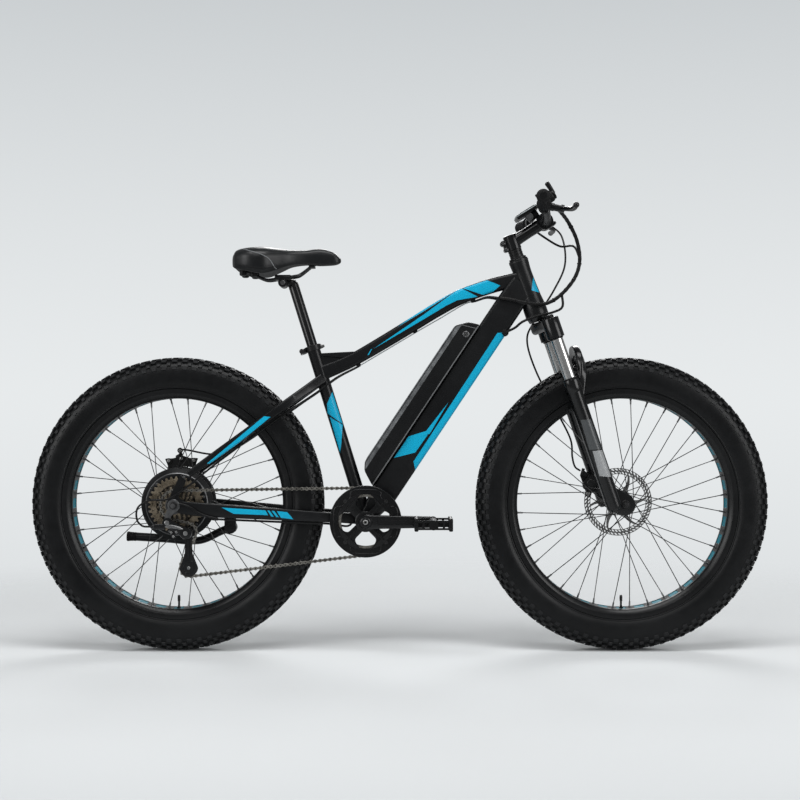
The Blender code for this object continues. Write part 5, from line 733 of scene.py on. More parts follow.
CHROME = Finish("polished_chrome", (0.46, 0.46, 0.46), (0.54, 0.54, 0.53), 0.19, metallic=1.0, spread=0.04, grain=900.0,
                stretch=(1.0, 1.0, 0.1), depth=0.01)
STEEL = Finish("zinc_plated_steel", (0.26, 0.26, 0.26), (0.36, 0.36, 0.35), 0.3, metallic=1.0, grain=900.0, depth=0.08,
               worn=(0.14, 0.13, 0.12), cover=0.03)
DULL_STEEL = Finish("dull_steel", (0.085, 0.086, 0.088), (0.145, 0.146, 0.148), 0.34, metallic=0.9, mottle=30.0,
                    grain=900.0, depth=0.1, worn=(0.05, 0.05, 0.05), cover=0.03)
ROTOR_STEEL = Finish("rotor_steel", (0.17, 0.17, 0.17), (0.27, 0.27, 0.265), 0.3, metallic=1.0, mottle=20.0,
                     grain=1400.0, stretch=(1.0, 0.2, 1.0), depth=0.12)
SPOKE_STEEL = Finish("black_spoke_steel", (0.0026, 0.0028, 0.003), (0.0065, 0.0067, 0.007), 0.34, metallic=0.1,
                     mottle=30.0, grain=1500.0, depth=0.02)
OILED_BRONZE = Finish("oiled_bronze", (0.11, 0.087, 0.06), (0.35, 0.296, 0.222), 0.3, metallic=0.95, spread=0.24,
                      mottle=70.0, grain=900.0, depth=0.2, worn=(0.012, 0.01, 0.008), cover=0.17,
                      flow_colour=(0.045, 0.04, 0.034), flow_roughness=0.3)
CHAIN_STEEL = Finish("oiled_chain_steel", (0.13, 0.124, 0.112), (0.3, 0.288, 0.262), 0.28, metallic=0.95, spread=0.2,
                     mottle=90.0, grain=1200.0, depth=0.1, worn=(0.02, 0.018, 0.016), cover=0.1,
                     flow_colour=(0.022, 0.021, 0.02), flow_roughness=0.4)
SADDLE_VINYL = Finish("saddle_vinyl", (0.0022, 0.0026, 0.0032), (0.0044, 0.0051, 0.006), 0.35, specular=0.31,
                      mottle=9.0, grain=1500.0, pebble=0.75, depth=0.16, flow_colour=(0.0045, 0.0048, 0.0052),
                      flow_roughness=0.5)
GLASS_BLACK = Finish("display_glass", (0.01, 0.014, 0.015), (0.014, 0.02, 0.022), 0.08, specular=0.5, coat=1.0,
                     spread=0.03, grain=600.0, depth=0.01)
RIM_ALLOY = Finish("rim_alloy", (0.0024, 0.0026, 0.0029), (0.005, 0.0053, 0.0057), 0.3, metallic=0.05, specular=0.26,
                   grain=1400.0, depth=0.02, flow_colour=(0.006, 0.16, 0.215), flow_roughness=0.5)
CAST_GREY = Finish("cast_grey_alloy", (0.075, 0.076, 0.078), (0.17, 0.172, 0.175), 0.3, metallic=0.9, mottle=45.0,
                   grain=900.0, depth=0.12, worn=(0.03, 0.03, 0.03), cover=0.05)
SILVER_ALLOY = Finish("cast_silver_alloy", (0.2, 0.2, 0.2), (0.32, 0.32, 0.32), 0.32, metallic=1.0, mottle=40.0,
                      grain=900.0, depth=0.15, worn=(0.06, 0.06, 0.06), cover=0.06)


def painted(name: str, *patches: Patch, outward: bool = False) -> Finish:
    """The frame's satin black paint with its own painted areas, on tagged sides only if outward."""
    return replace(SATIN_BLACK, name=name, patches=patches, outward=outward)


PALE_EDGE = Finish("pale_edge_strip", (0.3, 0.33, 0.34), (0.36, 0.39, 0.4), 0.3, grain=900.0, depth=0.04)
GREY_PLASTIC = Finish("grey_plastic", (0.085, 0.088, 0.09), (0.12, 0.124, 0.127), 0.45, specular=0.3, grain=1400.0,
                      depth=0.1)
PIPING = Finish("saddle_piping", (0.1, 0.106, 0.112), (0.24, 0.25, 0.258), 0.4, specular=0.35, grain=1500.0, depth=0.1)
BATTERY_CASE = Finish("battery_case_black", (0.0034, 0.0037, 0.0041), (0.006, 0.0064, 0.0069), 0.28, specular=0.22,
                      grain=1600.0, depth=0.02)
HATCHED = Finish("hatched_grey_strip", (0.05, 0.053, 0.056), (0.17, 0.178, 0.184), 0.4, metallic=0.3, specular=0.3,
                 mottle=60.0, grain=520.0, stretch=(3.0, 1.0, 1.0), depth=0.5)


@dataclass
class Workshop:
    """Turns shapes into named pieces that ride on the bodies, and keeps count of them."""

    made: int = 0
    faces: int = 0

    def piece(self, name: str, shape: Shape, finish: Finish, body: str, nodes: Sequence[str] = (), crease: float = 30.0,
              soften: int = 0) -> bpy.types.Object:
        """Make a piece, dress it and set it on its body.

        Args:
            name: The piece's name.
            shape: Its surface, in place.
            finish: What it is made of.
            body: The body that it moves with; an empty name leaves it free for a blend.
            nodes: The solids that it stands for, which are hidden.
            crease: Faces that meet more sharply than this many degrees keep a hard edge.
            soften: Levels of subdivision.

        Returns:
            The new object, whose mesh holds its place.
        """
        mesh = bpy.data.meshes.new(name)
        mesh.from_pydata(shape.points.tolist(), [], shape.quads.tolist() + shape.lids)
        mesh.attributes.new("flow", "FLOAT", "POINT").data.foreach_set("value", shape.flow.astype(np.float32))
        mesh.shade_smooth()
        mesh.set_sharp_from_angle(angle=math.radians(crease))
        mesh.materials.append(finish.material())
        item = bpy.data.objects.new(name, mesh)
        bpy.context.scene.collection.objects.link(item)
        if soften:
            modifier = item.modifiers.new("soften", "SUBSURF")
            modifier.levels = soften
            modifier.render_levels = soften
        if body:
            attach(item, body)
        if nodes:
            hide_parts(*nodes)
        self.made += 1
        self.faces += len(mesh.polygons)
        LOG.info("%s: %d faces on %s", name, len(mesh.polygons), body or "two bodies")
        return item


@dataclass
class Assembly:
    """A sub-assembly, which hands its shapes to the workshop as pieces."""

    shop: Workshop

    def add(self, name: str, shape: Shape, finish: Finish, body: str, nodes: Sequence[str] = (), crease: float = 30.0,
            soften: int = 0) -> bpy.types.Object:
        """Have the workshop make a piece."""
        return self.shop.piece(name, shape, finish, body, nodes, crease, soften)


def round_angle(radius: float | Array, angle: Array, y: float | Array = 0.0) -> Array:
    """Points at a radius and angle in the side view: (radius cos angle, y, radius sin angle)."""
    radius, angle, y = np.broadcast_arrays(radius, angle, y)
    return np.stack((radius * np.cos(angle), y, radius * np.sin(angle)), axis=-1)


@dataclass
class Wheel(Assembly):
    """A spoked wheel: fat knobbled tyre, deep rim with windows, crossed spokes and brake rotor."""

    end: str
    axle: Array
    flange_radius: float
    flange_line: float
    cross: float
    rotor_line: float
    steps: int = 216
    knobs: int = 84
    casing: tuple[tuple[float, float], ...] = ((0.2845, 0.036), (0.29, 0.0366), (0.2952, 0.0371), (0.2962, 0.039),
                                               (0.2978, 0.0404), (0.2994, 0.0406), (0.3006, 0.0402), (0.3022, 0.0413),
                                               (0.306, 0.0435), (0.311, 0.0453), (0.318, 0.0466), (0.325, 0.0472),
                                               (0.333, 0.0474), (0.34, 0.047), (0.346, 0.0458), (0.352, 0.0434),
                                               (0.357, 0.0402), (0.362, 0.0356), (0.366, 0.0298), (0.3692, 0.0228),
                                               (0.3712, 0.0156), (0.3722, 0.008), (0.3726, 0.0))
    rim_side: tuple[tuple[float, float], ...] = ((0.2735, 0.0295), (0.2805, 0.0368), (0.2946, 0.0372), (0.2952, 0.0385),
                                                 (0.2946, 0.0398), (0.2835, 0.04), (0.2822, 0.0396), (0.2728, 0.0319),
                                                 (0.2712, 0.03), (0.2704, 0.027), (0.27, 0.019), (0.27, 0.0184))

    @property
    def body(self) -> str:
        """The body that turns with the wheel."""
        return f"{self.end}_wheel"

    def build(self) -> None:
        """Build the pieces that both wheels have."""
        self.tyre()
        self.rim()
        self.spokes()
        self.rotor()

    def knob(self, across: float, length: float, height: float) -> Shape:
        """One tread block: three square rows, sunk foot, shoulder and a slightly smaller top."""
        square = np.array(((1, 1), (-1, 1), (-1, -1), (1, -1)), float) * np.array((across, length)) / 2
        layers = ((1.12, -0.0022), (1.0, height - 0.0006), (0.88, height))
        block_shape = skin(np.array([np.column_stack((square * share, np.full(4, lift))) for share, lift in layers]))
        block_shape.flow = np.repeat((0.0, 0.0, 1.0), 4)
        return block_shape

    def tread_row(self, radius: float, y: float, tilt: float, size: tuple[float, float, float], shift: float) -> Shape:
        """A row of tread blocks round the tyre, each leaning outwards by the tilt.

        Args:
            radius: Casing radius under the blocks.
            y: Their distance from the middle plane, with its sign.
            tilt: Lean of the block's normal from the radial direction, in degrees.
            size: Across, along and height of a block.
            shift: Share of a pitch that the row starts later by.

        Returns:
            The row's blocks as one surface.
        """
        angle = (np.arange(self.knobs) + shift) * TAU / self.knobs
        radial, along = round_angle(1.0, angle), round_angle(1.0, angle + math.pi / 2)
        lean = math.radians(tilt) * math.copysign(1.0, y)
        normal = radial * math.cos(lean) + Y_AXIS * math.sin(lean)
        across = Y_AXIS * math.cos(lean) - radial * math.sin(lean)
        turns = np.stack((across, along, normal), axis=-1)
        return self.knob(*size).repeated(turns, self.axle + radius * radial + Y_AXIS * y)

    def tyre(self) -> None:
        """The casing, a ring carried round the axle, with ten staggered rows of blocks on it."""
        half = np.array(self.casing)
        profile = np.vstack((half, half[-2::-1] * np.array((1.0, -1.0))))
        shape = turned(profile, self.axle, Y_AXIS, self.steps, ring=True)
        rows = ((0.3722, 0.0078, 5.0, (0.01, 0.0135, 0.0036), 0.0), (0.3693, 0.0215, 20.0, (0.01, 0.012, 0.0048), 0.5),
                (0.364, 0.0325, 40.0, (0.0095, 0.0125, 0.0052), 0.0),
                (0.357, 0.0402, 60.0, (0.008, 0.009, 0.0036), 0.5),
                (0.3482, 0.0449, 74.0, (0.0085, 0.012, 0.0017), 0.0))
        for radius, y, tilt, size, shift in rows:
            for sign in (1, -1):
                late = shift + (0.25 if sign < 0 else 0.0)
                shape = shape + self.tread_row(radius, y * sign, tilt, size, late)
        self.add(f"{self.end}_tyre_tread", shape, TYRE_RUBBER, self.body, (f"{self.end}_tyre",), 35)

    def rim(self) -> None:
        """The rim as one ring, with painted recesses between the spoke heads, and its valve.

        Radius = profile radius + 1.4 mm where both the angle and the width lie inside a recess.
        """
        side = np.array(self.rim_side)
        profile = np.vstack((side, side[::-1] * np.array((1.0, -1.0))))
        offsets = np.array((0.0, 2.5, 2.75, 4.0, 5.0, 6.0, 7.25, 7.5))
        angle = np.radians((np.arange(36)[:, None] * 10.0 + offsets).ravel())
        open_angle = np.tile(np.isin(offsets, (0.0, 2.5, 7.5)), 36)
        open_width = np.abs(profile[:, 1]) < 0.0187
        window = open_angle[:, None] & open_width[None, :]
        radius = profile[None, :, 0] + np.where(window, 0.0014, 0.0)
        rows = self.axle + round_angle(radius, angle[:, None], profile[None, :, 1])
        shape = skin(rows, looped=True)
        shape.flow = window.astype(float).ravel()
        foot = self.axle - Z_AXIS * 0.2715
        valve = turned(mm((3.4, 0), (3.4, 6), (2.7, 6.5), (2.7, 18), (3.6, 18.5), (3.8, 30), (3, 34)), foot, Z_AXIS, 14)
        lock = turned(mm((5, -0.5), (5.6, 0), (5.6, 3), (4.5, 3.6)), foot, Z_AXIS, 14)
        self.add(f"{self.end}_rim_ring", shape + valve + lock, RIM_ALLOY, self.body, (f"{self.end}_rim",))

    def spokes(self) -> None:
        """Thirty-six spokes with an elbow in the flange, and their nipples in the rim."""
        wires: list[Shape] = []
        ends: list[Shape] = []
        for side in Side:
            sign = side.value
            for index in range(18):
                hub = math.radians(5.0 + (index + (0.5 if side is Side.LEFT else 0.0)) * 20.0)
                lean = 1 if index % 2 else -1
                far = hub + lean * math.radians(self.cross)
                near_y = sign * self.flange_line + lean * 0.0016
                start = self.axle + round_angle(self.flange_radius - 0.0035, hub, near_y + lean * 0.001)
                bend = self.axle + round_angle(self.flange_radius + 0.0005, hub, near_y + lean * 0.0012)
                stop = self.axle + round_angle(0.2706, far, sign * 0.01 + lean * 0.0016)
                run = unit(stop - bend)
                wires.append(sweep(np.array((start, bend, bend + run * 0.004, stop)), circle(7) * 0.00115))
                ends.append(turned(mm((1.2, -15), (2.1, -14.5), (2.3, -3), (3, -2.6), (3, 1.2)), stop, run, 8))
        self.add(f"{self.end}_spokes", joined(wires), SPOKE_STEEL, self.body, (), 40)
        self.add(f"{self.end}_nipples", joined(ends), DULL_STEEL, self.body, (), 40)

    def rotor_cell(self, middle: float, half: float, count: int, skew: float, start: float) -> Shape:
        """A ring of rotor cells, each a sheared polar square round a hole.

        Angle = cell + (u + skew v) half a cell, radius = middle + v half; the cell's rim is the
        square u, v and its hole a circle 0.62 of its half height in radius, joined front and back.
        """
        turn = np.arange(16) * TAU / 16
        ray = circle_at(turn)
        square = ray / np.max(np.abs(ray), axis=1, keepdims=True)
        arc = TAU / count
        hole = ray * 0.62 * np.array((half * 2 / (arc * middle), 1.0))
        cells = start + np.arange(count) * arc
        layers = []
        for flat, y in ((hole, 0.001), (hole, -0.001), (square, -0.001), (square, 0.001)):
            angle = cells[:, None] + (flat[None, :, 0] + skew * flat[None, :, 1]) * arc / 2
            radius = middle + flat[None, :, 1] * half
            layers.append(round_angle(radius, angle, y))
        rows = np.stack(layers, axis=1)
        return joined([skin(cell, looped=True) for cell in rows])

    def rotor(self) -> None:
        """The brake rotor: two slanted rows of holes, six arms, a carrier ring and its screws."""
        place = self.axle + Y_AXIS * self.rotor_line
        arc = TAU / 54
        shape = self.rotor_cell(0.0764, 0.004, 54, 0.9, 0.0) + self.rotor_cell(0.0845, 0.0041, 54, 0.9, 0.9 * arc)
        for index in range(6):
            base = math.radians(60.0 * index)
            radii = np.linspace(0.029, 0.0728, 9)
            share = (radii - radii[0]) / (radii[-1] - radii[0])
            low = base + np.radians(-14.0 + 20.0 * share ** 0.8 - 9.0 * share * (1 - share))
            high = base + math.radians(10.0) - np.radians(5.0 * np.sin(math.pi * share))
            low = np.minimum(low, high - 0.006 / radii)
            ring = np.vstack((round_angle(radii, low)[:, [0, 2]], round_angle(radii, high)[::-1][:, [0, 2]]))
            shape = shape + plate(ring, -0.0009, 0.0009, 0.0002)
        carrier = band(disc(np.zeros(3), 0.03, 48), disc(np.zeros(3), 0.013, 48), -0.0009, 0.0009, 0.0002)
        angles = np.radians(30.0 + 60.0 * np.arange(6))
        screws = joined([bolt(round_angle(0.022, angle, 0.0009), Y_AXIS, 0.004, 0.0022) for angle in angles])
        shape = shape + carrier
        shape.points = shape.points + place
        screws.points = screws.points + place
        self.add(f"{self.end}_rotor_disc", shape, ROTOR_STEEL, self.body, (f"{self.end}_rotor",))
        self.add(f"{self.end}_rotor_screws", screws, STEEL, self.body)


@dataclass
class FrontHub(Assembly):
    """The front hub: a waisted barrel between two flanges."""

    def build(self) -> None:
        """Turn the barrel with its flanges and end caps."""
        profile = mm((6.2, -64), (10, -64), (10.5, -63.5), (11.2, -60), (18, -42), (18.6, -40.5), (29, -36.2),
                     (30, -35.2), (30, -32.8), (29, -32), (19, -29), (16.8, -25.5), (15.8, -18), (15.4, 0), (15.8, 18),
                     (16.8, 25.5), (19, 29), (29, 32), (30, 32.8), (30, 35.2), (29.2, 36), (22.5, 38), (22, 50),
                     (21, 51.2), (11.5, 51.2), (10.5, 52.5), (10.5, 63), (9.8, 64), (6.2, 64))
        shape = turned(profile, FRONT_AXLE, Y_AXIS, 56)
        seal = mm((9, 0), (13.6, 0.4), (13.6, 2), (12, 3), (9, 3.4))
        seals = joined([turned(seal, FRONT_AXLE + Y_AXIS * y, Y_AXIS * math.copysign(1.0, y), 40)
                        for y in (-0.056, 0.0545)])
        self.add("front_hub_shell", shape, GLOSS_BLACK, "front_wheel", ("front_hub",), 32)
        self.add("front_hub_seals", seals, DULL_STEEL, "front_wheel", (), 32)


@dataclass
class HubMotor(Assembly):
    """The rear hub motor: a ribbed drum with flanges, side covers and cover screws."""

    ribs: int = 7

    def build(self) -> None:
        """Turn the drum and its covers, and set the screws round each cover."""
        profile = [(0.0075, -0.0835), (0.0155, -0.0835), (0.0165, -0.0825), (0.0165, -0.0425), (0.03, -0.0408),
                   (0.042, -0.0418), (0.044, -0.0428), (0.07, -0.0424), (0.075, -0.0418), (0.078, -0.0405),
                   (0.08, -0.0385), (0.091, -0.0322), (0.0925, -0.0312), (0.0925, -0.0288), (0.0915, -0.028),
                   (0.0858, -0.0264)]
        for index in range(self.ribs):
            y = -0.024 + index * 0.008
            profile += [(0.085, y - 0.0022), (0.0838, y - 0.0012), (0.0838, y + 0.0012), (0.085, y + 0.0022)]
        profile += [(0.0858, 0.0264), (0.0915, 0.028), (0.0925, 0.0288), (0.0925, 0.0312), (0.0915, 0.0322),
                    (0.088, 0.0345), (0.082, 0.054), (0.0805, 0.0562), (0.078, 0.0574), (0.07, 0.058), (0.048, 0.058),
                    (0.046, 0.0572), (0.028, 0.0572), (0.024, 0.058), (0.024, 0.064), (0.0232, 0.0647),
                    (0.0125, 0.0647), (0.012, 0.0655), (0.012, 0.074), (0.0112, 0.0747), (0.0075, 0.0747)]
        shape = turned(profile, REAR_AXLE, Y_AXIS, 96)
        rim = turned(mm((78.2, -41.2), (80, -40.2), (80.6, -39.2), (79.6, -38.8), (77.8, -40)), REAR_AXLE, Y_AXIS, 96,
                     ring=True)
        screws = []
        for radius, y, sign in ((0.0715, -0.042, -1.0), (0.0735, 0.0576, 1.0)):
            for index in range(6):
                place = REAR_AXLE + round_angle(radius, math.radians(15 + 60 * index), y)
                screws.append(bolt(place, Y_AXIS * sign, 0.0034, 0.0016))
        self.add("motor_drum", shape, replace(SATIN_BLACK, name="motor_paint", roughness=0.44, specular=0.12),
                 "rear_wheel", ("hub_motor",), 28)
        self.add("motor_edge_ring", rim, DULL_STEEL, "rear_wheel", (), 32)
        self.add("motor_cover_screws", joined(screws), DULL_STEEL, "rear_wheel")


Station = tuple[float, float, float, float, float, float]


def stay(stations: Sequence[Station], count: int = 36, steps: int = 4) -> Shape:
    """A tube of changing box section, smoothed along its length.

    Each station is (x, y, z, width, depth, corner); centres and sizes follow one Catmull-Rom curve.
    """
    line = curve(np.array(stations), count)
    sections = np.array([rounded(row[3], row[4], min(row[5], row[3] * 0.45, row[4] * 0.45), steps) for row in line])
    return sweep(line[:, :3], sections, hint=Y_AXIS)


def outer_face(shape: Shape, middle: Callable[[Array], Array]) -> Shape:
    """The shape with its outward half tagged: 1 where |y| is past the middle line's y at that x."""
    shape.flow = (np.abs(shape.points[:, 1]) > middle(shape.points[:, 0]) + 0.0015).astype(float)
    return shape


def straight_tube(start: Array, end: Array, sizes: Sequence[tuple[float, float, float, float]],
                  steps: int = 5) -> Shape:
    """A box tube on a straight line; each size is (share of the line, width, depth, corner)."""
    path = np.array([start + (end - start) * size[0] for size in sizes])
    sections = np.array([rounded(size[1], size[2], size[3], steps) for size in sizes])
    return sweep(path, sections, hint=Y_AXIS)


def cable(points: Sequence[tuple[float, float, float]] | Array, radius: float, sides: int = 12,
          spacing: float = 0.006) -> Shape:
    """A round cable on the Catmull-Rom curve through its points, with rings at an even spacing."""
    fine = curve(np.asarray(points, float), len(points) * 16)
    length = float(np.sum(np.linalg.norm(np.diff(fine, axis=0), axis=1)))
    return tube(even(fine, max(6, int(length / spacing))), radius, sides)


@dataclass
class MainFrame(Assembly):
    """The welded frame: main tubes, stays, dropouts and what is fixed to them."""

    head_profile: tuple[tuple[float, float], ...] = ((0.029, 0.0), (0.03, 0.001), (0.03, 0.021), (0.0296, 0.025),
                                                     (0.028, 0.038), (0.0265, 0.05), (0.0252, 0.07), (0.0242, 0.09),
                                                     (0.0235, 0.114), (0.0236, 0.124), (0.0245, 0.137), (0.025, 0.141),
                                                     (0.025, 0.153), (0.0242, 0.154))

    def build(self) -> None:
        """Build the frame's pieces, front to back."""
        self.head_tube()
        self.top_tube()
        self.seat_tube()
        self.down_tube()
        self.bracket_shell()
        for side in Side:
            self.chain_stay(side)
            self.seat_stay(side)
        self.rear_axle()
        self.caliper()
        self.seat_collar()
        self.cables()

    def head_tube(self) -> None:
        """The flared head tube, its two brushed rings and the painted wedge on its sides."""
        paint = painted("head_tube_paint", Patch(mm((343.8, 965.1), (337.7, 925.7), (361.6, 919.8)), TEAL, 0.012))
        shape = turned(self.head_profile, HEAD_FOOT, -STEER_DOWN, 56)
        ring = turned(mm((24.6, 146.2), (25.6, 146.6), (25.8, 148), (25.6, 150), (24.6, 150.4)), HEAD_FOOT, -STEER_DOWN,
                      56, ring=True)
        foot = turned(mm((29.6, 3), (30.6, 3.4), (30.6, 5), (29.6, 5.4)), HEAD_FOOT, -STEER_DOWN, 56, ring=True)
        self.add("head_tube_shell", shape, paint, "frame", ("head_tube",))
        self.add("head_tube_rings", ring + foot, BRUSHED_BLACK, "frame")

    def top_tube(self) -> None:
        """The rising, striped top tube with its web at the seat tube, its cable stops and the grommet below it."""
        stripes = (Patch(mm((-68.9, 775.3), (63, 865.2), (63, 852.9)), TEAL, 0.01),
                   Patch(mm((62.4, 852.7), (62.4, 865), (129, 913.6), (116.2, 885)), TEAL, 0.01),
                   Patch(mm((115.6, 885), (128.6, 913.3), (150, 929), (157, 932.3), (148.4, 901.3)), TEAL, 0.01),
                   Patch(mm((147.8, 900.8), (156.4, 932.5), (200.4, 909.6)), TEAL, 0.01),
                   Patch(mm((-5, 833), (64.3, 884), (148, 931), (148, 928), (64.3, 874.5)), TEAL, 0.01),
                   Patch(mm((161.3, 931.8), (223.3, 952.4), (257.8, 938.7), (239.5, 922.5), (214, 914.3)), TEAL, 0.01),
                   Patch(mm((-83.8, 759.1), (-75, 774.2), (-71.4, 776.3), (-80.2, 760.1)), TEAL, 0.01))
        paint = painted("top_tube_paint", *stripes)
        stations = mm((-206, 0, 711.5, 30, 39, 7), (-160, 0, 730, 31.5, 35.5, 7), (-115, 0, 751, 33, 34, 7),
                      (-40, 0, 794.5, 34.5, 35, 8), (34, 0, 839.5, 36, 36, 8), (95, 0, 877, 36, 37, 8),
                      (156, 0, 910, 36, 38, 8), (224, 0, 935, 36, 38, 8), (280, 0, 950, 35, 37, 8),
                      (322, 0, 959, 34, 36, 8))
        web = plate(mm((-219.3, 760.9), (-205.7, 717), (-150, 730), (-124, 760)), -0.0105, 0.0105, 0.002)
        fold = plate(mm((-215, 764), (-211, 756), (-130, 750), (-112, 766), (-120, 769)), -0.013, 0.013, 0.0025)
        shape = stay(stations, 64, 5)
        self.add("top_tube_shell", shape + web + fold, paint, "frame", ("top_tube",))
        stops = [block(vec(x, y, z), (0.012, 0.0062, 0.0085), vec(0.83, 0, 0.55), vec(-0.55, 0, 0.83), 0.0025, 0.001)
                 for x, z in ((0.188, 0.902), (0.039, 0.8215), (-0.108, 0.736)) for y in (-0.009, 0.009)]
        self.add("cable_stops", joined(stops), MOULDED, "frame", (), 32)
        sleeve = turned(mm((3, 0), (10, 0), (10, 1.4), (7.2, 3.2), (5.6, 9), (3, 9.6)), vec(0.269, -0.0262, 0.817),
                        -Y_AXIS, 28)
        self.add("power_grommet", sleeve, MOULDED, "frame")

    def seat_tube(self) -> None:
        """The round seat tube, striped above its middle."""
        stripes = (Patch(mm((-174.6, 665.1), (-147.8, 582.4), (-186.9, 610), (-188.2, 632.9)), TEAL, 0.004),
                   Patch(mm((-181.3, 600.7), (-147.8, 580.1), (-151.4, 527), (-154.7, 508.7)), TEAL, 0.004))
        paint = painted("seat_tube_paint", *stripes)
        profile = mm((16, 0), (17, 1), (17, 455), (17.6, 457), (17.6, 469), (16.8, 470), (13.8, 470))
        shape = turned(profile, BRACKET, SEAT_UP, 40)
        self.add("seat_tube_shell", shape, paint, "frame", ("seat_tube",))

    def down_tube(self) -> None:
        """The deep box down tube behind the battery, with its long stripe and short blocks."""
        stripes = (Patch(mm((250.1, 816.2), (275.3, 818.5), (301, 818.5), (60, 456), (39.1, 463.3), (34.8, 486.4)),
                         TEAL, 0.012), Patch(mm((123.8, 637.6), (76.1, 557.2), (66.9, 564.4)), TEAL, 0.018),
                   Patch(mm((14.8, 539.8), (21.7, 550.6), (66.9, 564.4), (76.1, 557.2)), TEAL, 0.018),
                   Patch(mm((-15.8, 495.4), (16, 541.3), (71.5, 555.2), (39.1, 509.2)), TEAL, 0.018))
        paint = painted("down_tube_paint", *stripes)
        sizes = ((0.0, 0.052, 0.04, 0.006), (0.035, 0.053, 0.046, 0.007), (0.085, 0.057, 0.064, 0.009),
                 (0.1, 0.058, 0.0696, 0.0075), (0.3, 0.058, 0.0696, 0.0075), (0.55, 0.058, 0.0696, 0.0075),
                 (0.824, 0.058, 0.0696, 0.0075), (0.9, 0.0545, 0.0696, 0.0075), (0.965, 0.047, 0.068, 0.0075),
                 (1.0, 0.041, 0.064, 0.0075))
        shape = straight_tube(BRACKET, down_point(0.73), sizes)
        self.add("down_tube_shell", shape, paint, "frame", ("down_tube",), 28)

    def bracket_shell(self) -> None:
        """The bottom bracket shell with its notched cups."""
        profile = mm((14, -54), (17, -54), (18, -53.2), (18, -50.5), (21.5, -50), (22.5, -49), mirrored=True)
        shape = turned(profile, BRACKET, Y_AXIS, 44)
        self.add("bracket_shell", shape, SATIN_BLACK, "frame", ("bottom_bracket_shell",))

    def dropout(self, side: Side) -> Shape:
        """The flat rear end that holds the axle: a round foot drawn up to the seat stay."""
        x, z = REAR_AXLE[0], REAR_AXLE[2]
        turn = np.radians(np.linspace(150.0, 340.0, 26))
        foot = REAR_AXLE[[0, 2]] + 0.0185 * circle_at(turn)
        rest = np.array(((x + 0.026, z + 0.014), (x + 0.016, z + 0.0165), (x + 0.012, z + 0.022), (-0.542, 0.434),
                         (-0.54, 0.442), (-0.554, 0.4545), (-0.5605, 0.443)))
        return plate(np.vstack((foot, rest)), 0.0875, 0.0955, 0.0012).sided(side)

    def chain_stay(self, side: Side) -> None:
        """One chain stay: a box tube that widens past the tyre, with its dropout."""
        stripes = (Patch(mm((-449.4, 372.4), (-341, 364.8), (-333.5, 352.4), (-420.3, 356.5)), TEAL, 0.03),
                   Patch(mm((-336, 364.3), (-330.2, 364.1), (-319.5, 348.4), (-325.9, 348.9)), TEAL, 0.03),
                   Patch(mm((-325.1, 363.3), (-318.3, 362.8), (-306.6, 346.9), (-313.7, 347.6)), TEAL, 0.03),
                   Patch(mm((-312.2, 362.6), (-285.9, 359.8), (-270.2, 341.5), (-301.6, 345.3)), TEAL, 0.03))
        paint = painted("chain_stay_paint", *stripes, outward=True)
        stations = mm((-87, 40, 340, 18, 30, 5), (-122, 45, 342, 16, 28, 5), (-185, 59.2, 346, 12.5, 25, 4),
                      (-250, 65.5, 350, 14, 28, 4), (-360, 76, 357.3, 14, 31.5, 4), (-469, 86.5, 364.6, 14, 35, 4),
                      (-535, 91.5, 370.5, 9, 33, 2.5), (-563, 91.5, 375.5, 8, 30, 2.5))
        line = np.array(stations)[::-1]
        shape = outer_face(stay(stations, 48), lambda x: np.interp(x, line[:, 0], line[:, 1])).sided(side)
        shape = shape + self.dropout(side)
        if side is Side.LEFT:
            x, z = REAR_AXLE[0], REAR_AXLE[2]
            tab = plate(((x - 0.012, z + 0.01), (x + 0.006, z + 0.03), (-0.554, 0.431), (x - 0.002, z + 0.093),
                         (x - 0.03, z + 0.098), (x - 0.036, z + 0.086)), 0.0875, 0.0955, 0.0012)
            stand = block(vec(-0.449, 0.093, 0.331), (0.03, 0.015, 0.07), corner=0.004, edge=0.0015)
            pin = rod(vec(-0.449, 0.09, 0.306), vec(-0.449, 0.129, 0.306), 0.005, 20)
            shape = shape + tab + stand + pin
        self.add(f"chain_stay_{side.word}_shell", shape, paint, "frame", (f"chain_stay_{side.word}",))

    def seat_stay(self, side: Side) -> None:
        """One seat stay: a thin box tube from the seat tube round the tyre to the dropout."""
        paint = painted("seat_stay_paint", Patch(mm((-487, 483.8), (-473.5, 481.5), (-327.7, 601), (-344, 603)), TEAL,
                                                 0.02), outward=True)
        slope = 0.7267

        def at(x: float) -> float:
            """Height of the stay's line at x."""
            return 0.6988 + (x + 0.2) * slope

        rows = ((-0.2, 0.012, 0.02, 0.026), (-0.235, 0.03, 0.018, 0.024), (-0.285, 0.064, 0.016, 0.022),
                (-0.37, 0.076, 0.014, 0.021), (-0.46, 0.086, 0.012, 0.02), (-0.534, 0.0912, 0.01, 0.018))
        stations = tuple((x, y, at(x), width, depth, 0.0045) for x, y, width, depth in rows)
        line = np.array(stations)[::-1]
        shape = outer_face(stay(stations, 44), lambda x: np.interp(x, line[:, 0], line[:, 1])).sided(side)
        eye = turned(mm((3, -0.6), (5.8, -0.4), (5.8, 0.6), (3, 0.9)), vec(-0.27, 0.0645, at(-0.27) + 0.002), Y_AXIS,
                     20).sided(side)
        self.add(f"seat_stay_{side.word}_shell", shape, paint, "frame", (f"seat_stay_{side.word}",))
        self.add(f"seat_stay_{side.word}_eyelet", eye, DULL_STEEL, "frame")

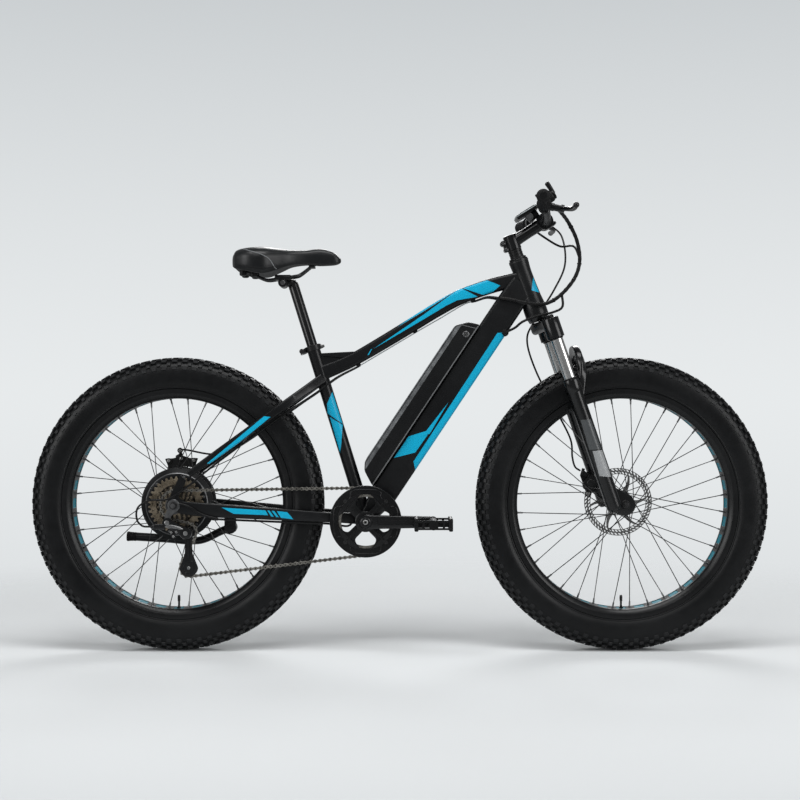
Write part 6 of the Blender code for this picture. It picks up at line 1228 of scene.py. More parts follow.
    def rear_axle(self) -> None:
        """The threaded axle with a nut on each side and a washer on the left."""
        thread = turned([(0.0056 + 0.0004 * (k % 2), -0.1135 + 0.00075 * k) for k in range(18)]
                        + [(0.006, -0.099), (0.006, 0.094)] + [(0.0056 + 0.0004 * (k % 2), 0.1008 + 0.00075 * k)
                                                               for k in range(18)], REAR_AXLE, Y_AXIS, 20)
        nuts = (nut(REAR_AXLE - Y_AXIS * 0.1001, -Y_AXIS, 0.0105, 0.0095) + nut(REAR_AXLE + Y_AXIS * 0.0975, Y_AXIS,
                                                                                0.0105, 0.0085))
        washer = turned(mm((6.2, 0), (15, 0), (15.5, 0.5), (15.5, 1.6), (15, 2), (6.2, 2)), REAR_AXLE + Y_AXIS * 0.0957,
                        Y_AXIS, 36)
        self.add("rear_axle_bar", thread + washer, DULL_STEEL, "frame", ("rear_axle",), 28)
        self.add("rear_axle_nuts", nuts, BRUSHED_BLACK, "frame", (), 28)

    def caliper(self) -> None:
        """The rear brake caliper over its rotor, on its slotted bracket, with the cable's arm and clamp."""
        radial = unit(vec(-0.2, 0.0, 0.98))
        shapes = caliper_shapes(REAR_AXLE + radial * 0.087, radial, 0.0595, 0.0872, 0.066)
        spots = [round_angle(0.1125, math.radians(turn)) for turn in (74.0, 91.0, 108.0)]
        clamp_place = vec(-0.5795, 0.0752, 0.511)
        angles = np.radians(np.concatenate((np.linspace(70.0, 112.0, 24), np.linspace(112.0, 70.0, 12))))
        radii = np.concatenate((0.1185 + 0.0022 * np.cos(np.linspace(0.0, 4 * math.pi, 24)), np.full(12, 0.093)))
        bracket = plate(REAR_AXLE[[0, 2]] + radii[:, None] * circle_at(angles), 0.0568, 0.0606, 0.001)
        boss = mm((3.4, 0), (6.6, 0.4), (7, 1.2), (7, 5.2), (3.4, 5.6))
        bosses = joined([turned(boss, REAR_AXLE + spot + Y_AXIS * 0.0582, -Y_AXIS, 28) for spot in spots])
        arm = sweep(curve(np.array(((-0.593, 0.08, 0.47), (-0.588, 0.08, 0.488), (-0.58, 0.0795, 0.503),
                                    (-0.578, 0.0785, 0.512))), 16), rounded(0.0085, 0.0052, 0.002, 4), hint=Y_AXIS)
        clamp = turned(mm((3, 0), (7, 0.6), (7.4, 1.4), (7.4, 5), (7, 5.8), (3, 6.2)), clamp_place, Y_AXIS, 28)
        heads = joined([bolt(REAR_AXLE + spot + Y_AXIS * 0.0526, -Y_AXIS, 0.0042, 0.0016) for spot in spots]
                       + [bolt(clamp_place, -Y_AXIS, 0.004, 0.0016)])
        shapes = (shapes[0] + bracket + bosses + arm + clamp, shapes[1] + heads)
        self.add("rear_caliper_body", shapes[0], ANODISED, "frame", ("rear_brake_caliper",))
        self.add("rear_caliper_screws", shapes[1], STEEL, "frame")

    def seat_collar(self) -> None:
        """The split collar with its rear ear, pin and nut."""
        centre = vec(-0.2245, 0.0, 0.7776)
        ring = turned(mm((17.8, -7), (20.8, -7), (21.5, -6.2), mirrored=True), centre, SEAT_UP, 44)
        ear = block(centre + SEAT_BACK * 0.026, (0.017, 0.02, 0.012), SEAT_BACK, SEAT_UP, 0.003, 0.0012)
        place = centre + SEAT_BACK * 0.029
        pin = rod(place - Y_AXIS * 0.017, place + Y_AXIS * 0.0215, 0.004, 20)
        cap = turned(mm((4, 0), (7, 0.8), (7, 6), (6, 8), (3, 9)), place - Y_AXIS * 0.011, -Y_AXIS, 24)
        self.add("seat_collar_ring", ring + ear, ANODISED, "frame", ("seat_collar",))
        self.add("seat_collar_pin", pin + cap, BRUSHED_BLACK, "frame")

    def cables(self) -> None:
        """The shift cable, the rear brake cable and the motor lead, with bare wire between stops."""
        front = mm((254.4, -33, 906), (225, -20, 909), (196, -9, 900), (166, -9, 891.4), (105.5, -9, 856),
                   (44.9, -9, 821), (-30, -9, 776.4), (-105.4, -9, 731.9))
        back_right = mm((-162, -24, 702), (-210, -26, 666), (-250, -33, 639), (-300, -57, 605), (-460, -84, 487),
                        (-530, -99, 430), (-580, -109, 396), (-628, -112, 392), (-658, -112, 374), (-661, -110, 344),
                        (-648, -107, 327.5), (-632, -105.8, 325.5), (-617.4, -105.8, 325.5))
        back_left = mm((-162, 24, 702), (-210, 26, 666), (-250, 33, 639), (-300, 57, 605), (-430, 73, 518),
                       (-490, 79, 501), (-560, 79, 512), (-578, 78.5, 513))
        self.bare_cable("shift_cable_housing", "shift_cable", np.vstack((front, back_right)))
        across = front * np.array((1.0, -1.0, 1.0))
        self.bare_cable("rear_brake_cable_housing", "rear_brake_cable", np.vstack((across, back_left)))
        lead = mm((-556, -103.5, 383.5), (-531, -103.5, 375.5), (-500, -100.5, 356), (-456, -95.5, 343),
                  (-465, -86.5, 342.7), (-246, -65.5, 331.6), (-181, -59.2, 329.1), (-140, -48, 322.2),
                  (-127, -45.5, 325), (-121.5, -45.5, 334))
        self.add("motor_lead", cable(lead, 0.0028), HOUSING, "frame", ("motor_cable",), 40)

    def bare_cable(self, name: str, node: str, points: Array) -> None:
        """A cable whose run under the top tube, from x 0.186 to -0.106, is a thin bare wire.

        Radius = 2.5 mm in the housing and 1.2 mm between the stops.
        """
        fine = curve(points, len(points) * 16)
        length = float(np.sum(np.linalg.norm(np.diff(fine, axis=0), axis=1)))
        line = even(fine, int(length / 0.005))
        bare = (line[:, 0] < 0.186) & (line[:, 0] > -0.106)
        first, last = int(np.argmax(bare)), len(bare) - int(np.argmax(bare[::-1]))
        front, back = line[:first + 1], line[last - 1:]
        housing = tube(front, 0.0025) + tube(back, 0.0025)
        self.shop.piece(name, housing, HOUSING, "frame", (node,), 40)
        self.add(f"{name}_wire", tube(line[first:last], 0.0012, 8), PALE_EDGE, "frame", (), 40)


def caliper_shapes(centre: Array, radial: Array, y_in: float, y_out: float, rotor: float) -> tuple[Shape, Shape]:
    """A disc brake caliper astride its rotor.

    Args:
        centre: Middle of the caliper in the side view.
        radial: Direction away from the axle.
        y_in: Its inner face.
        y_out: Its outer face.
        rotor: The rotor's line, which runs through the slot.

    Returns:
        The body and its steel screws.
    """
    along = np.cross(Y_AXIS, radial)
    flat = centre * np.array((1.0, 0.0, 1.0))

    def spot(across: float, over: float = 0.0, ahead: float = 0.0) -> Array:
        """A point across the bicycle, away from the axle and along the rim."""
        return flat + Y_AXIS * across + radial * over + along * ahead

    outline = mm((-22, -13), (-18, -17), (18, -17), (22, -13), (22, 8), (13, 16.5), (-13, 16.5), (-22, 8))
    ring = flat[[0, 2]] + outline[:, :1] * along[[0, 2]] + outline[:, 1:] * radial[[0, 2]]
    parts = []
    for low, high in ((y_in, rotor - 0.0021), (rotor + 0.0021, y_out)):
        parts += [plate(ring, low, high, 0.0022),
                  block(spot((low + high) / 2, 0.004), (0.03, high - low + 0.0005, 0.016), along, radial, 0.002,
                        0.0015)]
    ears = ((-0.0265, -0.009), (0.0255, 0.001))
    parts.append(turned(mm((4, 0), (10.5, 0.8), (11, 2), (11, 4), (9, 5.4), (3, 5.8)), spot(y_in + 0.0004, 0.0005),
                        -Y_AXIS, 32))
    parts += [turned(mm((3.6, 0), (7.2, 0.4), (7.8, 1.2), (7.8, 6), (7, 6.8), (3.6, 7)), spot(y_in - 0.0006, z, x),
                     Y_AXIS, 28) for x, z in ears]
    parts.append(block(spot(y_in + 0.003, -0.006), (0.05, 0.0056, 0.007), unit(along * 0.052 + radial * 0.01),
                       unit(radial * 0.052 - along * 0.01), 0.002, 0.001))
    parts.append(rod(spot(y_out - 0.006, 0.03, 0.004), spot(y_out - 0.006, 0.036, 0.022), 0.0042, 18))
    parts.append(block(spot(rotor, 0.0125), (0.026, 0.012, 0.008), along, radial, 0.001, 0.001))
    parts.append(turned(mm((4, 0), (8.5, 1), (8.5, 4.8), (7, 6), (3, 6.4)), spot(y_out - 0.0064), Y_AXIS, 28))
    parts.append(block(spot(y_out - 0.006, 0.022, 0.012), (0.012, 0.006, 0.026), along, radial, 0.0025, 0.001))
    screws = [bolt(spot(y_in - 0.0006, z, x), -Y_AXIS, 0.0044, 0.0018) for x, z in ears]
    screws += [bolt(spot(y_out - 0.0015, -0.01, x), Y_AXIS, 0.0034, 0.0014) for x in (-0.015, 0.015)]
    return joined(parts), joined(screws)


def pitch_radius(teeth: int) -> float:
    """Radius at which a chain's rollers sit: half the chain pitch over the sine of half a tooth."""
    return CHAIN_PITCH / (2.0 * math.sin(math.pi / teeth))


def toothed(centre: Array, teeth: int, tip: float, root: float, share: float = 0.17, phase: float = 0.0) -> Array:
    """A sprocket's outline: radius = root + tooth height * a smooth ramp down from each tooth's middle.

    Args:
        centre: The sprocket's axis.
        teeth: How many teeth it has.
        tip: Radius at the tips.
        root: Radius between the teeth.
        share: Half the tooth's width at its tip, as a share of a pitch.
        phase: Angle of the first tooth.

    Returns:
        Twelve (x, z) points for each tooth.
    """
    count = teeth * 12
    turn = np.arange(count) / 12.0
    off = np.abs(turn - np.round(turn))
    ramp = np.clip((share + 0.2 - off) / 0.26, 0.0, 1.0)
    ramp = ramp * ramp * (3 - 2 * ramp)
    radius = root + (tip - root) * ramp
    angle = phase + turn * TAU / teeth
    return centre[[0, 2]] + radius[:, None] * circle_at(angle)


@dataclass
class Freewheel(Assembly):
    """Seven toothed sprockets on a body, stepped out to the smallest."""

    teeth: tuple[int, ...] = (14, 16, 18, 20, 22, 24, 34)
    lines: tuple[float, ...] = (-0.0805, -0.0755, -0.0705, -0.0655, -0.0605, -0.0555, -0.0505)

    def build(self) -> None:
        """Build the sprockets and their body."""
        shapes = []
        for index, (teeth, line) in enumerate(zip(self.teeth, self.lines)):
            reach = pitch_radius(teeth)
            outer = toothed(REAR_AXLE, teeth, reach + 0.0026, reach - 0.0037, phase=math.pi / teeth)
            hole = 0.05 if teeth > 30 else max(0.0205, reach - 0.0125)
            ring = band(outer, disc(REAR_AXLE, hole, len(outer)), line - 0.0009, line + 0.0009, 0.0003)
            shapes.append(ring.tagged(float(index % 2)))
        arms = []
        for index in range(6):
            angle = math.radians(20 + 60 * index)
            flat = np.vstack((round_angle(0.02, angle + np.array((-0.25, 0.25)))[:, [0, 2]],
                              round_angle(0.053, angle + np.array((0.3, 0.16)))[:, [0, 2]]))
            arms.append(plate(REAR_AXLE[[0, 2]] + flat, -0.0513, -0.0497, 0.0002))
            for line, reach in ((-0.0555, 0.041), (-0.0605, 0.037), (-0.0655, 0.033)):
                flat = np.vstack((round_angle(0.02, angle + np.array((0.35, 0.75)))[:, [0, 2]],
                                  round_angle(reach, angle + np.array((0.7, 0.45)))[:, [0, 2]]))
                arms.append(plate(REAR_AXLE[[0, 2]] + flat, line - 0.0008, line + 0.0008, 0.0002))
        body = turned(mm((13, -87), (21.5, -87), (22.5, -86), (22.5, -83), (21.8, -81.5), (21.8, -47), (23.5, -46),
                         (23.5, -44.5), (13, -44.5)), REAR_AXLE, Y_AXIS, 48)
        lock = turned(mm((12, 0), (17.5, 0), (18.5, 0.8), (18.5, 2.2), (12, 2.6)), REAR_AXLE - Y_AXIS * 0.0868, -Y_AXIS,
                      40)
        self.add("sprockets", joined(shapes + arms), OILED_BRONZE, "freewheel", ("freewheel",), 28)
        self.add("sprocket_body", body + lock, DULL_STEEL, "freewheel")


@dataclass
class Chain(Assembly):
    """The roller chain, laid round the chainring, the third sprocket and both jockey wheels."""

    def route(self) -> Array:
        """The pitch line, closed: ninety points on the arc round each wheel, which straight runs join."""
        wheels = ((BRACKET[0], BRACKET[2], 0.084972, 1), (REAR_AXLE[0], REAR_AXLE[2], pitch_radius(18), 1),
                  (GUIDE_AXIS[0], GUIDE_AXIS[2], pitch_radius(11), -1), (TENSION_AXIS[0], TENSION_AXIS[2],
                                                                         pitch_radius(11), 1))
        runs = []
        for index, (x1, z1, r1, t1) in enumerate(wheels):
            x2, z2, r2, t2 = wheels[(index + 1) % len(wheels)]
            gap = math.hypot(x2 - x1, z2 - z1)
            runs.append(math.atan2(z2 - z1, x2 - x1) - math.asin((t2 * r2 - t1 * r1) / gap))
        lines = []
        for index, (x, z, radius, turn) in enumerate(wheels):
            before, after = runs[index - 1], runs[index]
            bend = (after - before) % TAU
            if turn < 0:
                bend -= TAU
            angle = before + np.linspace(0.0, bend, 90)
            lines.append(np.stack((x + turn * radius * np.sin(angle), np.full(90, CHAIN_LINE),
                                   z - turn * radius * np.cos(angle)), axis=1))
        return np.vstack((*lines, lines[0][:1]))

    def build(self) -> None:
        """Lay out the links: each stands midway between two pins, along the line that joins them."""
        route = self.route()
        length = float(np.sum(np.linalg.norm(np.diff(route, axis=0), axis=1)))
        count = 2 * round(length / CHAIN_PITCH / 2)
        pins = even(route, count + 1)[:-1]
        after = np.roll(pins, -1, axis=0)
        run = unit(after - pins)
        pitch = float(np.mean(np.linalg.norm(after - pins, axis=1)))
        up = np.cross(run, Y_AXIS)
        turns = np.stack((run, np.broadcast_to(Y_AXIS, run.shape), up), axis=-1)
        middle = (pins + after) / 2
        angle = np.radians(np.array((50, 90, 130, 180, 230, 270, 310)))
        lobe = circle_at(angle) * np.array((0.0042, 0.0047))
        left = lobe + np.array((-pitch / 2, 0))
        right = -lobe + np.array((pitch / 2, 0))
        waist = np.array(((0.0, -0.0024),))
        outline = np.vstack((left, waist, right, -waist))
        outer = joined([plate(outline, y, y + 0.0009 * s, 0.0001) for y, s in ((0.0024, 1), (-0.0024, -1))])
        inner = joined([plate(outline * 0.97, y, y + 0.0008 * s, 0.0001) for y, s in ((0.0014, 1), (-0.0014, -1))])
        pin = turned(mm((1.8, -3.4), (1.8, 3.4)), np.zeros(3), Y_AXIS, 7)
        roller = turned(mm((3.8, -1.3), (3.8, 1.3)), np.zeros(3), Y_AXIS, 10)
        plates = outer.repeated(turns[::2], middle[::2]) + inner.repeated(turns[1::2], middle[1::2])
        axles = pin.tagged(1.0).repeated(turns, pins) + roller.tagged(1.0).repeated(turns, pins)
        for item in (self.add("chain_plates", plates, CHAIN_STEEL, "", ("chain",)),
                     self.add("chain_rollers", axles, CHAIN_STEEL, "", (), 40)):
            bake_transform(item)


@dataclass
class Crankset(Assembly):
    """The chainring with its guard, both cranks and the spindle between them."""

    def build(self) -> None:
        """Build the ring, the guard with its raised lobed rib, the spider, the cranks and the bolts."""
        reach = pitch_radius(42)
        outer = toothed(BRACKET, 42, reach + 0.0026, reach - 0.0037, phase=math.pi / 42)
        ring = band(outer, disc(BRACKET, 0.062, len(outer)), -0.0716, -0.0694, 0.0003)
        guard = band(disc(BRACKET, 0.091, 128), disc(BRACKET, 0.069, 128), -0.0783, -0.075, 0.001)
        web = self.spider()
        lip = turned(mm((89.3, -78.7), (90.5, -79), (91.2, -78.5), (91.4, -77), (90.5, -76)), BRACKET, Y_AXIS, 128,
                     ring=True)
        arms, bosses, bolts = [], [], []
        for index in range(4):
            angle = math.radians(45 + 90 * index)
            out = round_angle(1.0, angle)
            arms.append(block(BRACKET + out * 0.044 - Y_AXIS * 0.0826, (0.044, 0.002, 0.006), out,
                              np.cross(out, Y_AXIS), 0.0008, 0.0008))
            place = BRACKET + out * 0.073
            bosses.append(turned(mm((4, 0), (6, 0.6), (6, 10), (5, 10.6)), place - Y_AXIS * 0.082 + Y_AXIS * 0.001,
                                 Y_AXIS, 20))
            bolts.append(bolt(place - Y_AXIS * 0.0806, -Y_AXIS, 0.0044, 0.0014))
        self.add("chainring_teeth", ring, CHAIN_STEEL, "crankset", ("chainring",))
        rim = mm((-39.5, 60), (-38.5, 72.5), (-29, 79.5), (0, 81.2), (29, 79.5), (38.5, 72.5), (39.5, 60))
        path = np.vstack([BRACKET - Y_AXIS * 0.0786 + rim[:, :1] * round_angle(1.0, angle + math.pi / 2)
                          + rim[:, 1:] * round_angle(1.0, angle) for angle in np.arange(4) * math.pi / 2])
        rib = sweep(curve(path, 160, looped=True), circle(8) * 0.0017, hint=Y_AXIS, looped=True)
        self.add("chain_guard", guard + lip + rib + web + joined(arms) + joined(bosses), SMOOTH_PLASTIC, "crankset")
        self.add("chainring_bolts", joined(bolts), BRUSHED_BLACK, "crankset")
        self.crank(Side.RIGHT)
        self.crank(Side.LEFT)

    def spider(self) -> Shape:
        """The four-armed web: each arm is a smooth outline through (radius, degrees from its middle)."""
        half = ((0.033, 21.0), (0.052, 15.0), (0.064, 27.0), (0.0715, 36.0), (0.0715, 18.0))
        spots = np.array((*half, (0.0715, 0.0), *((reach, -turn) for reach, turn in half[::-1]), (0.017, -34.0)))
        spots = np.insert(spots, 0, (0.017, 34.0), axis=0)
        parts = []
        for index in range(4):
            lean = math.radians(45 + 90 * index)
            outline = round_angle(spots[:, 0], lean + np.radians(spots[:, 1]))[:, [0, 2]]
            parts.append(plate(BRACKET[[0, 2]] + curve(outline, 72, looped=True), -0.0818, -0.0782, 0.001, 2))
        return joined(parts) + turned(mm((12, -85), (24, -84.8), (26.2, -83.6), (26.6, -80), (26.2, -77.5), (12, -77)),
                                      BRACKET, Y_AXIS, 56)

    def crank(self, side: Side) -> None:
        """One crank: a tapering arm with quarter-round edges, its boss and pedal eye."""
        ahead = -side.value
        root = np.radians(np.linspace(95.0, 265.0, 20))
        tip = np.radians(np.linspace(-85.0, 85.0, 18))
        outline = np.vstack((0.018 * circle_at(root), np.array((0.17, 0.0)) + 0.0142 * circle_at(tip)))
        outline = outline * np.array((ahead, 1.0)) + BRACKET[[0, 2]]
        arm = plate(outline, 0.0862, 0.0998, 0.0035, 4)
        rib_line = mm((30, -7), (30, 7), (145, 5.2), (145, -5.2))
        rib = plate(rib_line * np.array((ahead, 1.0)) + BRACKET[[0, 2]], 0.099, 0.1004, 0.001)
        eye_place = BRACKET + X_AXIS * 0.17 * ahead
        boss = turned(mm((12, 58), (16, 58.5), (16.5, 60), (17.2, 85), (17.2, 100), (16, 101.8), (12, 102)),
                      BRACKET * np.array((1, 0, 1)), Y_AXIS, 40)
        eye = turned(mm((11, 85.8), (14.2, 86.4), (14.2, 99.6), (11, 100.2)), eye_place * np.array((1, 0, 1)), Y_AXIS,
                     36)
        shape = (arm + rib + boss + eye).sided(side)
        cap = bolt(BRACKET + Y_AXIS * 0.1016, Y_AXIS, 0.0062, 0.0032)
        collar = turned(mm((7.5, 0), (11.8, 0.4), (12.4, 1.2), (11, 2), (7.5, 1.6)), BRACKET + Y_AXIS * 0.1014, Y_AXIS,
                        36)
        shape = shape + collar.sided(side)
        spindle = turned(mm((4.5, 100), (5.5, 100.4), (5.5, 193), (4.5, 194)), eye_place * np.array((1, 0, 1)), Y_AXIS,
                         20).sided(side)
        if side is Side.LEFT:
            spindle = spindle + turned(mm((8.5, -85), (8.5, 70)), BRACKET, Y_AXIS, 24)
        self.add(f"crank_{side.word}_arm", shape, GLOSS_BLACK, "crankset", (f"crank_{side.word}",))
        self.add(f"crank_{side.word}_cap", cap.sided(side), STEEL, "crankset")
        self.add(f"crank_{side.word}_spindle", spindle, DULL_STEEL, "crankset")


@dataclass
class Pedal(Assembly):
    """A platform pedal: barrel, two bars with studs, end plates and reflectors."""

    side: Side

    def build(self) -> None:
        """Build the pedal on its spindle, made for the left and then turned to its side."""
        x = 0.083 if self.side is Side.RIGHT else -0.257
        middle = vec(x, 0.149, BRACKET[2])
        barrel = turned(mm((6.2, -44), (10, -44), (11.2, -43), (12.5, -38), (12.5, 38), (11.2, 43), (6.2, 44)), middle,
                        Y_AXIS, 32)
        parts = [barrel]
        for y, length in ((0.106, 0.091), (0.1925, 0.091)):
            for up in (-0.0093, 0.0093):
                parts.append(block(vec(x, y, middle[2] + up), (length, 0.005, 0.005), corner=0.0012, edge=0.001))
            parts.append(turned(mm((6, -3), (11.8, -2.8), (12.4, -1.8), mirrored=True), vec(x, y, middle[2]), Y_AXIS,
                                32))
            for offset in (-0.025, 0.025):
                parts.append(block(vec(x + offset, y, middle[2]), (0.006, 0.0044, 0.019), corner=0.001, edge=0.0008))
        for offset in (-0.0425, 0.0425):
            parts.append(block(vec(x + offset, 0.149, middle[2]), (0.09, 0.01, 0.0316), Y_AXIS, Z_AXIS, 0.003, 0.0012))
        for y in (0.127, 0.149, 0.171):
            parts.append(block(vec(x, y, middle[2]), (0.08, 0.004, 0.013), corner=0.0012, edge=0.001))
        studs = []
        for offset in (-0.0425, 0.0425):
            for y in (0.113, 0.131, 0.149, 0.167, 0.185):
                for up in (1.0, -1.0):
                    studs.append(turned(mm((2.2, 0), (2.2, 0.4), (1.6, 0.6)),
                                        vec(x + offset, y, middle[2] + up * 0.0154), Z_AXIS * up, 10))
        cap = turned(mm((6, 0), (9.2, 0.4), (9.2, 1.6), (4, 2.2)), vec(x, 0.1926, middle[2]), Y_AXIS, 28)
        word = self.side.word
        body = f"pedal_{word}"
        self.add(f"{body}_platform", joined(parts).sided(self.side), MOULDED, body, (body,))
        self.add(f"{body}_studs", (joined(studs) + cap).sided(self.side), STEEL, body)


@dataclass
class Derailleur(Assembly):
    """The rear derailleur: grey hook, black link with a silver face, pivots, cage and two toothed jockey wheels."""

    def build(self) -> None:
        """Build the fixed parts, the cage that swings and its wheels."""
        self.fixed()
        self.cage()
        self.wheel(GUIDE_AXIS, "guide_pulley")
        self.wheel(TENSION_AXIS, "tension_pulley")

    def fixed(self) -> None:
        """The hook on the axle, the body link and the guide's knuckle, on the frame."""
        x, z = REAR_AXLE[0], REAR_AXLE[2]
        turn = np.radians(np.linspace(-30.0, 200.0, 30))
        top = REAR_AXLE[[0, 2]] + 0.016 * circle_at(turn)
        foot = curve([(x - 0.0158, z - 0.009), (x - 0.02, z - 0.02), (x - 0.0225, z - 0.034), (x - 0.024, z - 0.046),
                      (x - 0.017, z - 0.053), (x - 0.008, z - 0.048), (x - 0.0085, z - 0.036), (x - 0.0045, z - 0.026),
                      (x + 0.007, z - 0.016)], 30)
        hook = plate(np.vstack((top, foot)), -0.0998, -0.0958, 0.001)
        notch = plate(REAR_AXLE[[0, 2]] + 0.0098 * circle(28), -0.1012, -0.099, 0.0008)
        upper = vec(-0.585, 0.0, 0.3355)
        lower = GUIDE_AXIS * np.array((1, 0, 1))
        pivot = turned(mm((8, -113.8), (11.2, -113.4), (12, -112.2), (12, -98.5), (11.2, -97.8)), upper, Y_AXIS, 32)
        knuckle = turned(mm((9.5, -113.8), (14, -113.2), (15.2, -111), (15.2, -85), (13.5, -83), (13.5, -78),
                            (12.7, -77.1)), lower, Y_AXIS, 36)
        start, end = upper[[0, 2]], lower[[0, 2]]
        run = unit(end - start)
        over = np.array((-run[1], run[0]))
        middle = (start + end) / 2
        sides = curve([start - over * 0.0105 - run * 0.004, start - over * 0.011 + run * 0.01, middle - over * 0.0105,
                       end - over * 0.0125, end + run * 0.008, end + over * 0.0125, middle + over * 0.01,
                       start + over * 0.0095 + run * 0.006, start - run * 0.0095], 48, looped=True)
        link = plate(sides, -0.1128, -0.1003, 0.002, 2)
        crescent = curve([(-0.5905, 0.3265), (-0.58, 0.33), (-0.566, 0.329), (-0.55, 0.3235), (-0.544, 0.319),
                          (-0.556, 0.319), (-0.57, 0.3215), (-0.583, 0.3225)], 40, looped=True)
        face = plate(crescent, -0.1146, -0.1124, 0.0008)
        arm = plate(curve([(-0.586, 0.324), (-0.578, 0.318), (-0.574, 0.305), (-0.569, 0.296), (-0.564, 0.299),
                           (-0.568, 0.312), (-0.57, 0.321)], 30, looped=True), -0.112, -0.106, 0.0012)
        stop = block(vec(-0.604, -0.1058, 0.3255), (0.026, 0.011, 0.014), corner=0.003, edge=0.0012)
        barrel = rod(vec(-0.6165, -0.1058, 0.3255), vec(-0.6235, -0.1058, 0.3255), 0.0043, 16, 0.0006)
        bolts = (bolt(upper - Y_AXIS * 0.1138, -Y_AXIS, 0.0062, 0.0016)
                 + bolt(lower - Y_AXIS * 0.1136, -Y_AXIS, 0.0055, 0.0014))
        spots = ((-0.5745, 0.3115), (-0.569, 0.301), (-0.562, 0.312))
        small = joined([bolt(vec(px, -0.1124, pz), -Y_AXIS, 0.003, 0.0014) for px, pz in spots])
        self.add("derailleur_hook", hook, CAST_GREY, "frame", ("rear_derailleur",), 28)
        self.add("derailleur_body", pivot + knuckle + link + arm + notch + stop + barrel, GLOSS_BLACK, "frame")
        self.add("derailleur_face", face + bolts + small, SILVER_ALLOY, "frame", (), 28)

    def cage(self) -> None:
        """Two cage plates round both jockey wheels, with their bolts."""
        guide, tension = GUIDE_AXIS[[0, 2]], TENSION_AXIS[[0, 2]]
        top = np.radians(np.linspace(0.0, 180.0, 16))
        low = np.radians(np.linspace(180.0, 360.0, 18))
        middle = (guide + tension) / 2
        outline = np.vstack((guide + 0.013 * circle_at(top), (middle + np.array((-0.0078, 0.014)))[None],
                             (middle + np.array((-0.0088, -0.012)))[None], tension + 0.0225 * circle_at(low),
                             (middle + np.array((0.0098, -0.01)))[None], (middle + np.array((0.0088, 0.016)))[None]))
        plates = plate(outline, -0.0768, -0.0753, 0.0004) + plate(outline, -0.0657, -0.0642, 0.0004)
        guard = joined([block(vec(tension[0] + dx, CHAIN_LINE, tension[1] + dz), (0.01, 0.0115, 0.0035), corner=0.001,
                              edge=0.0005) for dx, dz in ((0.0, -0.0172), (-0.016, -0.006))])
        rib = plate(np.array((middle + (-0.003, 0.03), middle + (0.0032, 0.03), middle + (0.0042, -0.022), middle
                              + (-0.0036, -0.022))), -0.079, -0.0764, 0.0008)
        hoop = band(tension + 0.0195 * circle(48), tension + 0.014 * circle(48), -0.0786, -0.0764, 0.0006)
        plates = plates + rib + hoop
        flats = [axis * np.array((1, 0, 1)) for axis in (GUIDE_AXIS, TENSION_AXIS)]
        screws = joined([bolt(flat - Y_AXIS * 0.0768, -Y_AXIS, 0.004, 0.0018)
                         + rod(flat - Y_AXIS * 0.0765, flat - Y_AXIS * 0.0645, 0.0026, 14, 0.0003) for flat in flats])
        self.add("cage_plates", plates + guard, GLOSS_BLACK, "derailleur_cage", ("derailleur_cage",))
        self.add("cage_screws", screws, STEEL, "derailleur_cage")

    def wheel(self, axis: Array, body: str) -> None:
        """A jockey wheel: eleven teeth, a dished web and a bright bush."""
        reach = pitch_radius(11)
        outer = toothed(axis, 11, 0.024, reach - 0.0042, phase=0.1)
        outer = axis[[0, 2]] + (outer - axis[[0, 2]]) * (0.02 / 0.024)
        ring = band(outer, disc(axis, 0.012, len(outer)), CHAIN_LINE - 0.0012, CHAIN_LINE + 0.0012, 0.0004)
        web = band(disc(axis, 0.0135, 40), disc(axis, 0.0052, 40), CHAIN_LINE - 0.002, CHAIN_LINE + 0.002, 0.0006)
        bush = band(disc(axis, 0.0056, 24), disc(axis, 0.003, 24), CHAIN_LINE - 0.0036, CHAIN_LINE + 0.0036, 0.0004)
        self.add(f"{body}_wheel", ring + web, SMOOTH_PLASTIC, body, (body,))
        self.add(f"{body}_bush", bush, STEEL, body)


HAND_OUT = {Side.RIGHT: unit(vec(-0.1115, -0.99352, 0.02202)), Side.LEFT: unit(vec(-0.1115, 0.99352, 0.02202))}
HAND_AHEAD = {Side.RIGHT: unit(vec(0.96991, -0.11363, -0.21533)), Side.LEFT: unit(vec(0.96991, 0.11363, -0.21533))}
HAND_UP = {Side.RIGHT: unit(vec(0.21644, -0.00265, 0.97629)), Side.LEFT: unit(vec(0.21644, 0.00265, 0.97629))}
BAR_STOPS = ((0.0, 0.0, 0.0), (0.04, 0.0, 0.0), (0.09, 0.08, 0.22), (0.14, 0.32, 0.72), (0.17, 0.46, 0.84),
             (0.336, 1.0, 1.0))


def bar_points(y: Array) -> Array:
    """Points on the handlebar's axis: x = 0.373 - 0.0345 sweep and z = 1.104 + 0.023 rise, both by |y|."""
    reach, sweep_share, rise = np.array(BAR_STOPS).T
    away = np.abs(y)
    return np.stack((0.373 - 0.0345 * np.interp(away, reach, sweep_share), y,
                     1.104 + 0.023 * np.interp(away, reach, rise)), axis=-1)


def bar_point(y: float) -> Array:
    """One point on the handlebar's axis."""
    return bar_points(np.array((y,)))[0]


def blade(stops: Array, count: int, origin: Array, along: Array, across: Array, power: float, hint: Array) -> Shape:
    """A lever's blade: a superellipse section carried along a smooth path.

    Args:
        stops: Rows of (distance along, distance across, section width, section height).
        count: How many stations the curve through them has.
        origin: Where both distances are zero.
        along: The first distance's direction.
        across: The second distance's direction.
        power: The section's power.
        hint: The direction that the section's width follows.

    Returns:
        The blade.
    """
    line = curve(stops, count)
    path = origin + line[:, :1] * along + line[:, 1:2] * across
    sections = np.array([oval(width / 2, height / 2, power, 20) for width, height in line[:, 2:]])
    return sweep(path, sections, hint=hint)


